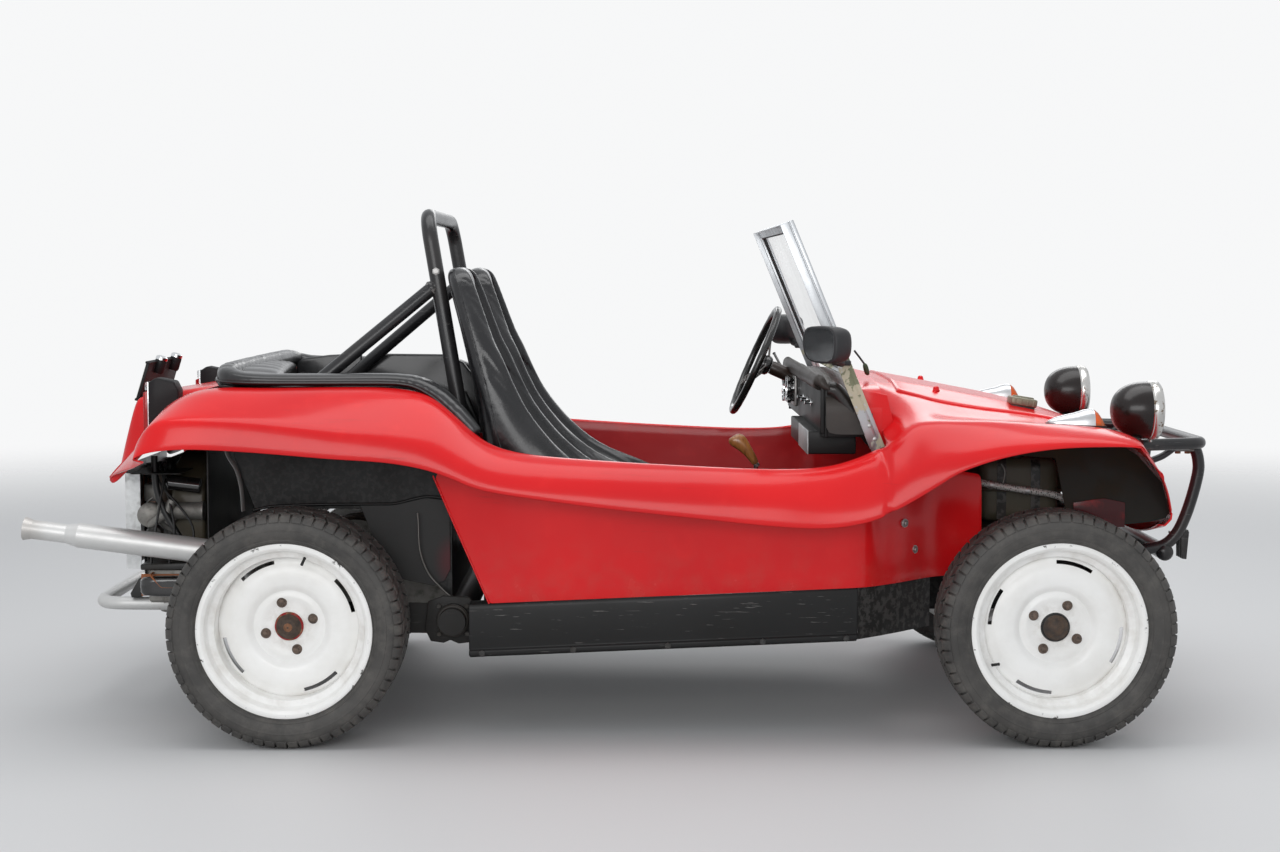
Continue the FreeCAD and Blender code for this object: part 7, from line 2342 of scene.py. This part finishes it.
def carbPieces():
    x, y = -1.311, -0.15
    bits = [block("intakeFlange", (x - 0.028, y - 0.024, 0.56), (x + 0.028, y + 0.024, 0.569), castAlloy,
        0.002), block("floatBowl", (x - 0.048, y - 0.036, 0.578), (x + 0.002, y + 0.03, 0.628),
        castAlloy, 0.007), lathe("throat", [(0.565, 0), (0.565, 0.021), (0.575, 0.019), (0.6, 0.022),
        (0.64, 0.022), (0.643, 0)], (x + 0.018, y, 0), (0, 0, 1), castAlloy, 28, 40), block("chokeHousing",
        (x - 0.012, y - 0.03, 0.618), (x + 0.048, y + 0.022, 0.64), castAlloy, 0.006), lathe("chokeDisc",
        [(0, 0), (0, 0.021), (0.008, 0.021), (0.012, 0.017), (0.018, 0.016), (0.018, 0)],
        (x + 0.01, y - 0.034, 0.606), (0, -1, 0), steelDark, 28, 40), tubeAlong("throttleLever",
        curved([(x - 0.02, y - 0.04, 0.59), (x - 0.036, y - 0.044, 0.575), (x - 0.03, y - 0.046, 0.552)],
        5), 0.003, steel, 8), lathe("airCleaner", [(0.64, 0), (0.64, 0.026), (0.645, 0.044), (0.65, 0.049),
        (0.654, 0.05), (0.656, 0.047), (0.674, 0.047), (0.676, 0.05), (0.681, 0.0495), (0.685, 0.044),
        (0.687, 0.018), (0.69, 0.009), (0.69, 0)], (x, y, 0), (0, 0, 1), engineBlack, 48, 35),
        tubeAlong("intakePipe", bentPath([(x, y, 0.56), (x, y, 0.515), (-1.27, -0.15, 0.492),
        (-1.2, -0.2, 0.47), (-1.19, -0.3, 0.425)], 0.03, 6), 0.0165, castAlloy, 18)]
    return bits


def bayPieces():
    pieces = []
    hose = curved([(-1.29, -0.332, 0.722), (-1.2895, -0.334, 0.69), (-1.285, -0.336, 0.632),
        (-1.268, -0.338, 0.578), (-1.235, -0.34, 0.517), (-1.205, -0.342, 0.47)], 8)
    pieces.append(tubeAlong("warmAirHose", hose, 0.0092, hoseRubber, 14))
    distributor = (-1.276, -0.262, 0.64)
    pieces.append(lathe("distributor", [(-0.075, 0), (-0.075, 0.014), (-0.02, 0.016), (-0.018, 0.026),
        (0.006, 0.027), (0.012, 0.024), (0.022, 0.02), (0.03, 0.012), (0.031, 0)], distributor,
        (0.05, -0.25, 1), plugBrown, 32, 40))
    chance = random.Random(5)
    for index in range(4):
        turn = 2 * math.pi * index / 4 + 0.4
        start = Vector(distributor) + Vector((math.cos(turn) * 0.014, -0.007 + math.sin(turn) * 0.014, 0.028))
        side = -1 if index < 3 else 1
        end = Vector((-1.29 + 0.05 * index, side * 0.395 if side < 0 else 0.3, 0.428))
        way = curved([start, start + Vector((0.0, 0, 0.03)), start + Vector((chance.uniform(-0.03, 0.02),
            side * 0.05, 0.02 - 0.02 * index)), Vector((end.x + 0.01, end.y * 0.93, 0.53)), end], 8)
        pieces.append(tubeAlong("plugLead", way, 0.0034, hoseRubber, 8))
    coil = (-1.215, -0.305, 0.64)
    pieces.append(lathe("ignitionCoil", [(-0.045, 0), (-0.045, 0.021), (0.04, 0.021), (0.043, 0.018),
        (0.048, 0.011), (0.06, 0.008), (0.061, 0)], coil, (-1, 0, 0.12), glossBlack, 28, 35))
    pieces.append(lathe("fuelPump", [(0, 0), (0, 0.027), (0.016, 0.029), (0.02, 0.033), (0.026, 0.033),
        (0.03, 0.026), (0.042, 0.02), (0.046, 0.008), (0.046, 0)], (-1.325, 0.085, 0.468),
        (0, 0, 1), castAlloy, 32, 40))
    pieces.append(tubeAlong("fuelPipe", curved([(-1.325, 0.1, 0.505), (-1.335, 0.06, 0.54),
        (-1.33, -0.03, 0.56), (-1.33, -0.12, 0.59)], 8), 0.004, copper, 8))
    for x, z, size, look in ((-1.318, 0.552, 0.034, castAlloy), (-1.262, 0.545, 0.022, steelDark),
            (-1.305, 0.5, 0.024, engineBlack)):
        pieces.append(lathe("bayDrum", [(0, 0), (0, size * 0.9), (0.006, size), (0.03, size),
            (0.036, size * 0.8), (0.037, 0)], (x, -0.268, z), (0.1, -1, 0), look, 28, 40))
    pieces.append(tubeAlong("heatPipe", bentPath([(-1.345, -0.235, 0.53), (-1.31, -0.3, 0.528),
        (-1.26, -0.33, 0.56), (-1.24, -0.335, 0.6)], 0.03, 6), 0.013, castAlloy, 16))
    # painted shade: a black sheet between engine and tub that stands for the shadow there
    wall = slab("fireWall", [(-0.49, 0.5), (-0.49, 0.8), (-0.43, 0.862), (0.43, 0.862), (0.49, 0.8),
        (0.49, 0.5)], -1.112, -1.107, wellBlack, 0.001, "x", 1)
    pieces.append(wall)
    for side in (1, -1):
        way = curved([(-1.056, side * 0.515, 0.772), (-1.048, side * 0.515, 0.738),
            (-1.026, side * 0.515, 0.7), (-1.014, side * 0.515, 0.65), (-1.01, side * 0.515, 0.59)], 6)
        pieces.append(tubeAlong("bodyStay", way, 0.016, dullGrey, 10, squash=0.3, up=(0, 1, 0)))
    pieces.append(block("bumperFoot", (-1.262, -0.292, 0.262), (-1.222, -0.252, 0.3), engineBlack, 0.003))
    pieces.append(block("bumperFoot", (-1.262, 0.252, 0.262), (-1.222, 0.292, 0.3), engineBlack, 0.003))
    for side in (1, -1):
        pieces.append(slab("bumperArm", [(-1.375, 0.33), (-1.35, 0.372), (-1.318, 0.372), (-1.318, 0.35),
            (-1.345, 0.318), (-1.372, 0.318)], side * 0.268, side * 0.29, engineBlack, 0.002))
    return pieces


bailOrange = plastic("bailOrange", (0.34, 0.1, 0.025), 0.5, 0.0, 0.2, 0.6)
plugBrown = plastic("plugBrown", (0.045, 0.028, 0.018), 0.45, 0.1)
dullGrey = plastic("dullGrey", (0.2, 0.2, 0.195), 0.55, 0.0, 0.3, 0.6)
ridden(enginePieces(), replaces=("engine_block",))
ridden(shroudPieces(), replaces=("fan_shroud",))
ridden(crankPieces(), replaces=("crank_pulley",))
ridden(joined("carburettor", carbPieces()), replaces=("carburettor",))
ridden(joined("engineBay", bayPieces()))
better(metal("treadPlate", (0.66, 0.67, 0.67), 0.4, 0.85, (0.2, 0.19, 0.17), 0.5, bumps=0.5), "engine_guard")
print("engine done")


# wheel-well panels, torsion covers, brake pipes

def wellPanels():
    # lighter lower panel let into each side of the tub, with the folded edge above it; a red patch painted on
    # each panel stands in for the red body's reflection (painted reflection)
    look = Finish("wellGreyPaintedReflection", IOR=1.45, SpecularIORLevel=0.3)
    # painted reflection: the red patch mixed in below is centred here and stands for the red body reflected
    # in the panel
    reflectionMiddle = look.place((-0.45, 0, 0.452))
    reach = ((look.axis(0, reflectionMiddle) * 1.5) ** 2.0 + look.axis(2, reflectionMiddle) ** 2.0) ** 0.5
    paintedRedReflection = (1 - reach.step(0.015, 0.085)) * 0.5
    cloud = look.noise(9, 4, 0.6)
    look.set(BaseColor=look.mix(paintedRedReflection, look.mix(cloud, (0.019, 0.019, 0.019), (0.034, 0.033, 0.032)),
        (0.13, 0.012, 0.02)), Roughness=0.42 + cloud * 0.14)
    pieces = []
    outline = [(-0.7, 0.611), (-0.655, 0.604), (-0.6, 0.606), (-0.52, 0.624), (-0.4555, 0.617),
        (-0.4555, 0.43), (-0.47, 0.4), (-0.5, 0.385), (-0.585, 0.403), (-0.64, 0.47), (-0.672, 0.54)]
    for side in (1, -1):
        pieces.append(slab("wellPanel", outline, side * 0.5005, side * 0.504, look.material, 0.001, "y", 1))
        ledge = curved([(-0.985, side * 0.5035, 0.59), (-0.93, side * 0.5035, 0.601),
            (-0.8, side * 0.5035, 0.606), (-0.655, side * 0.5035, 0.607), (-0.6, side * 0.5035, 0.609),
            (-0.52, side * 0.5035, 0.627), (-0.456, side * 0.5035, 0.62)], 6)
        pieces.append(tubeAlong("foldedEdge", ledge, 0.0042, wellBlack, 8))
    return joined("wellPanels", pieces)


ridden(wellPanels())


def torsionBits():
    pieces = []
    for side in (1, -1):
        spot = (-0.444, side * 0.5705, 0.301)
        pieces.append(lathe("torsionCover", [(-0.012, 0), (-0.012, 0.044), (0.0, 0.044), (0.0035, 0.041),
            (0.004, 0.0375), (0.01, 0.0355), (0.02, 0.034), (0.0245, 0.03), (0.025, 0.026),
            (0.0225, 0.024), (0.0225, 0)], spot, (0, side, 0), engineBlack, 40, 35))
        for turn in (45, 135, 225, 315):
            c, s = math.cos(math.radians(turn)), math.sin(math.radians(turn))
            pieces.append(lathe("coverBolt", [(0, 0.007), (0.006, 0.007), (0.007, 0.006), (0.007, 0)],
                (spot[0] + c * 0.053, side * 0.5565, spot[2] + s * 0.053),
                (0, side, 0), engineBlack, 6, 25))
        plate = slab("coverPlate", [(-0.52, 0.275), (-0.505, 0.243), (-0.47, 0.238), (-0.452, 0.246),
            (-0.43, 0.236), (-0.395, 0.24), (-0.38, 0.262), (-0.382, 0.34), (-0.4, 0.362), (-0.47, 0.366),
            (-0.512, 0.35)], side * 0.545, side * 0.556, chassisBlack, 0.003)
        pieces.append(plate)
        way = curved([(-0.541, side * 0.522, 0.585), (-0.539, side * 0.522, 0.56),
            (-0.535, side * 0.522, 0.483), (-0.513, side * 0.522, 0.422), (-0.476, side * 0.522, 0.379),
            (-0.455, side * 0.522, 0.36)], 8)
        pieces.append(tubeAlong("brakePipe", way, 0.0024, steelDark, 8))
    return joined("torsionBits", pieces)


ridden(torsionBits())
print("running gear done")


# rear bumper loop and the tin above the engine

rearLoop = {"back": -1.473, "front": -1.12, "half": 0.262, "spread": 0.018, "high": 0.2985,
    "radius": 0.0185, "bend": 0.085}


def bumperLoop():
    size = rearLoop
    corners = [(size["front"], -size["half"] - size["spread"], size["high"]),
        (size["back"], -size["half"], size["high"]), (size["back"], size["half"], size["high"]),
        (size["front"], size["half"] + size["spread"], size["high"])]
    return tubeAlong("rearLoop", bentPath(corners, size["bend"], 12), size["radius"], silver, 28)


ridden(bumperLoop(), replaces=("rear_bumper",))
engineTin = slab("engineTin", [(-1.345, -0.382), (-1.338, -0.39), (-1.205, -0.39), (-1.205, 0.39),
    (-1.338, 0.39), (-1.345, 0.382)], 0.676, 0.6785, engineBlack, 0.0008, "z", 1)
ridden(engineTin)
print("rear bumper done")
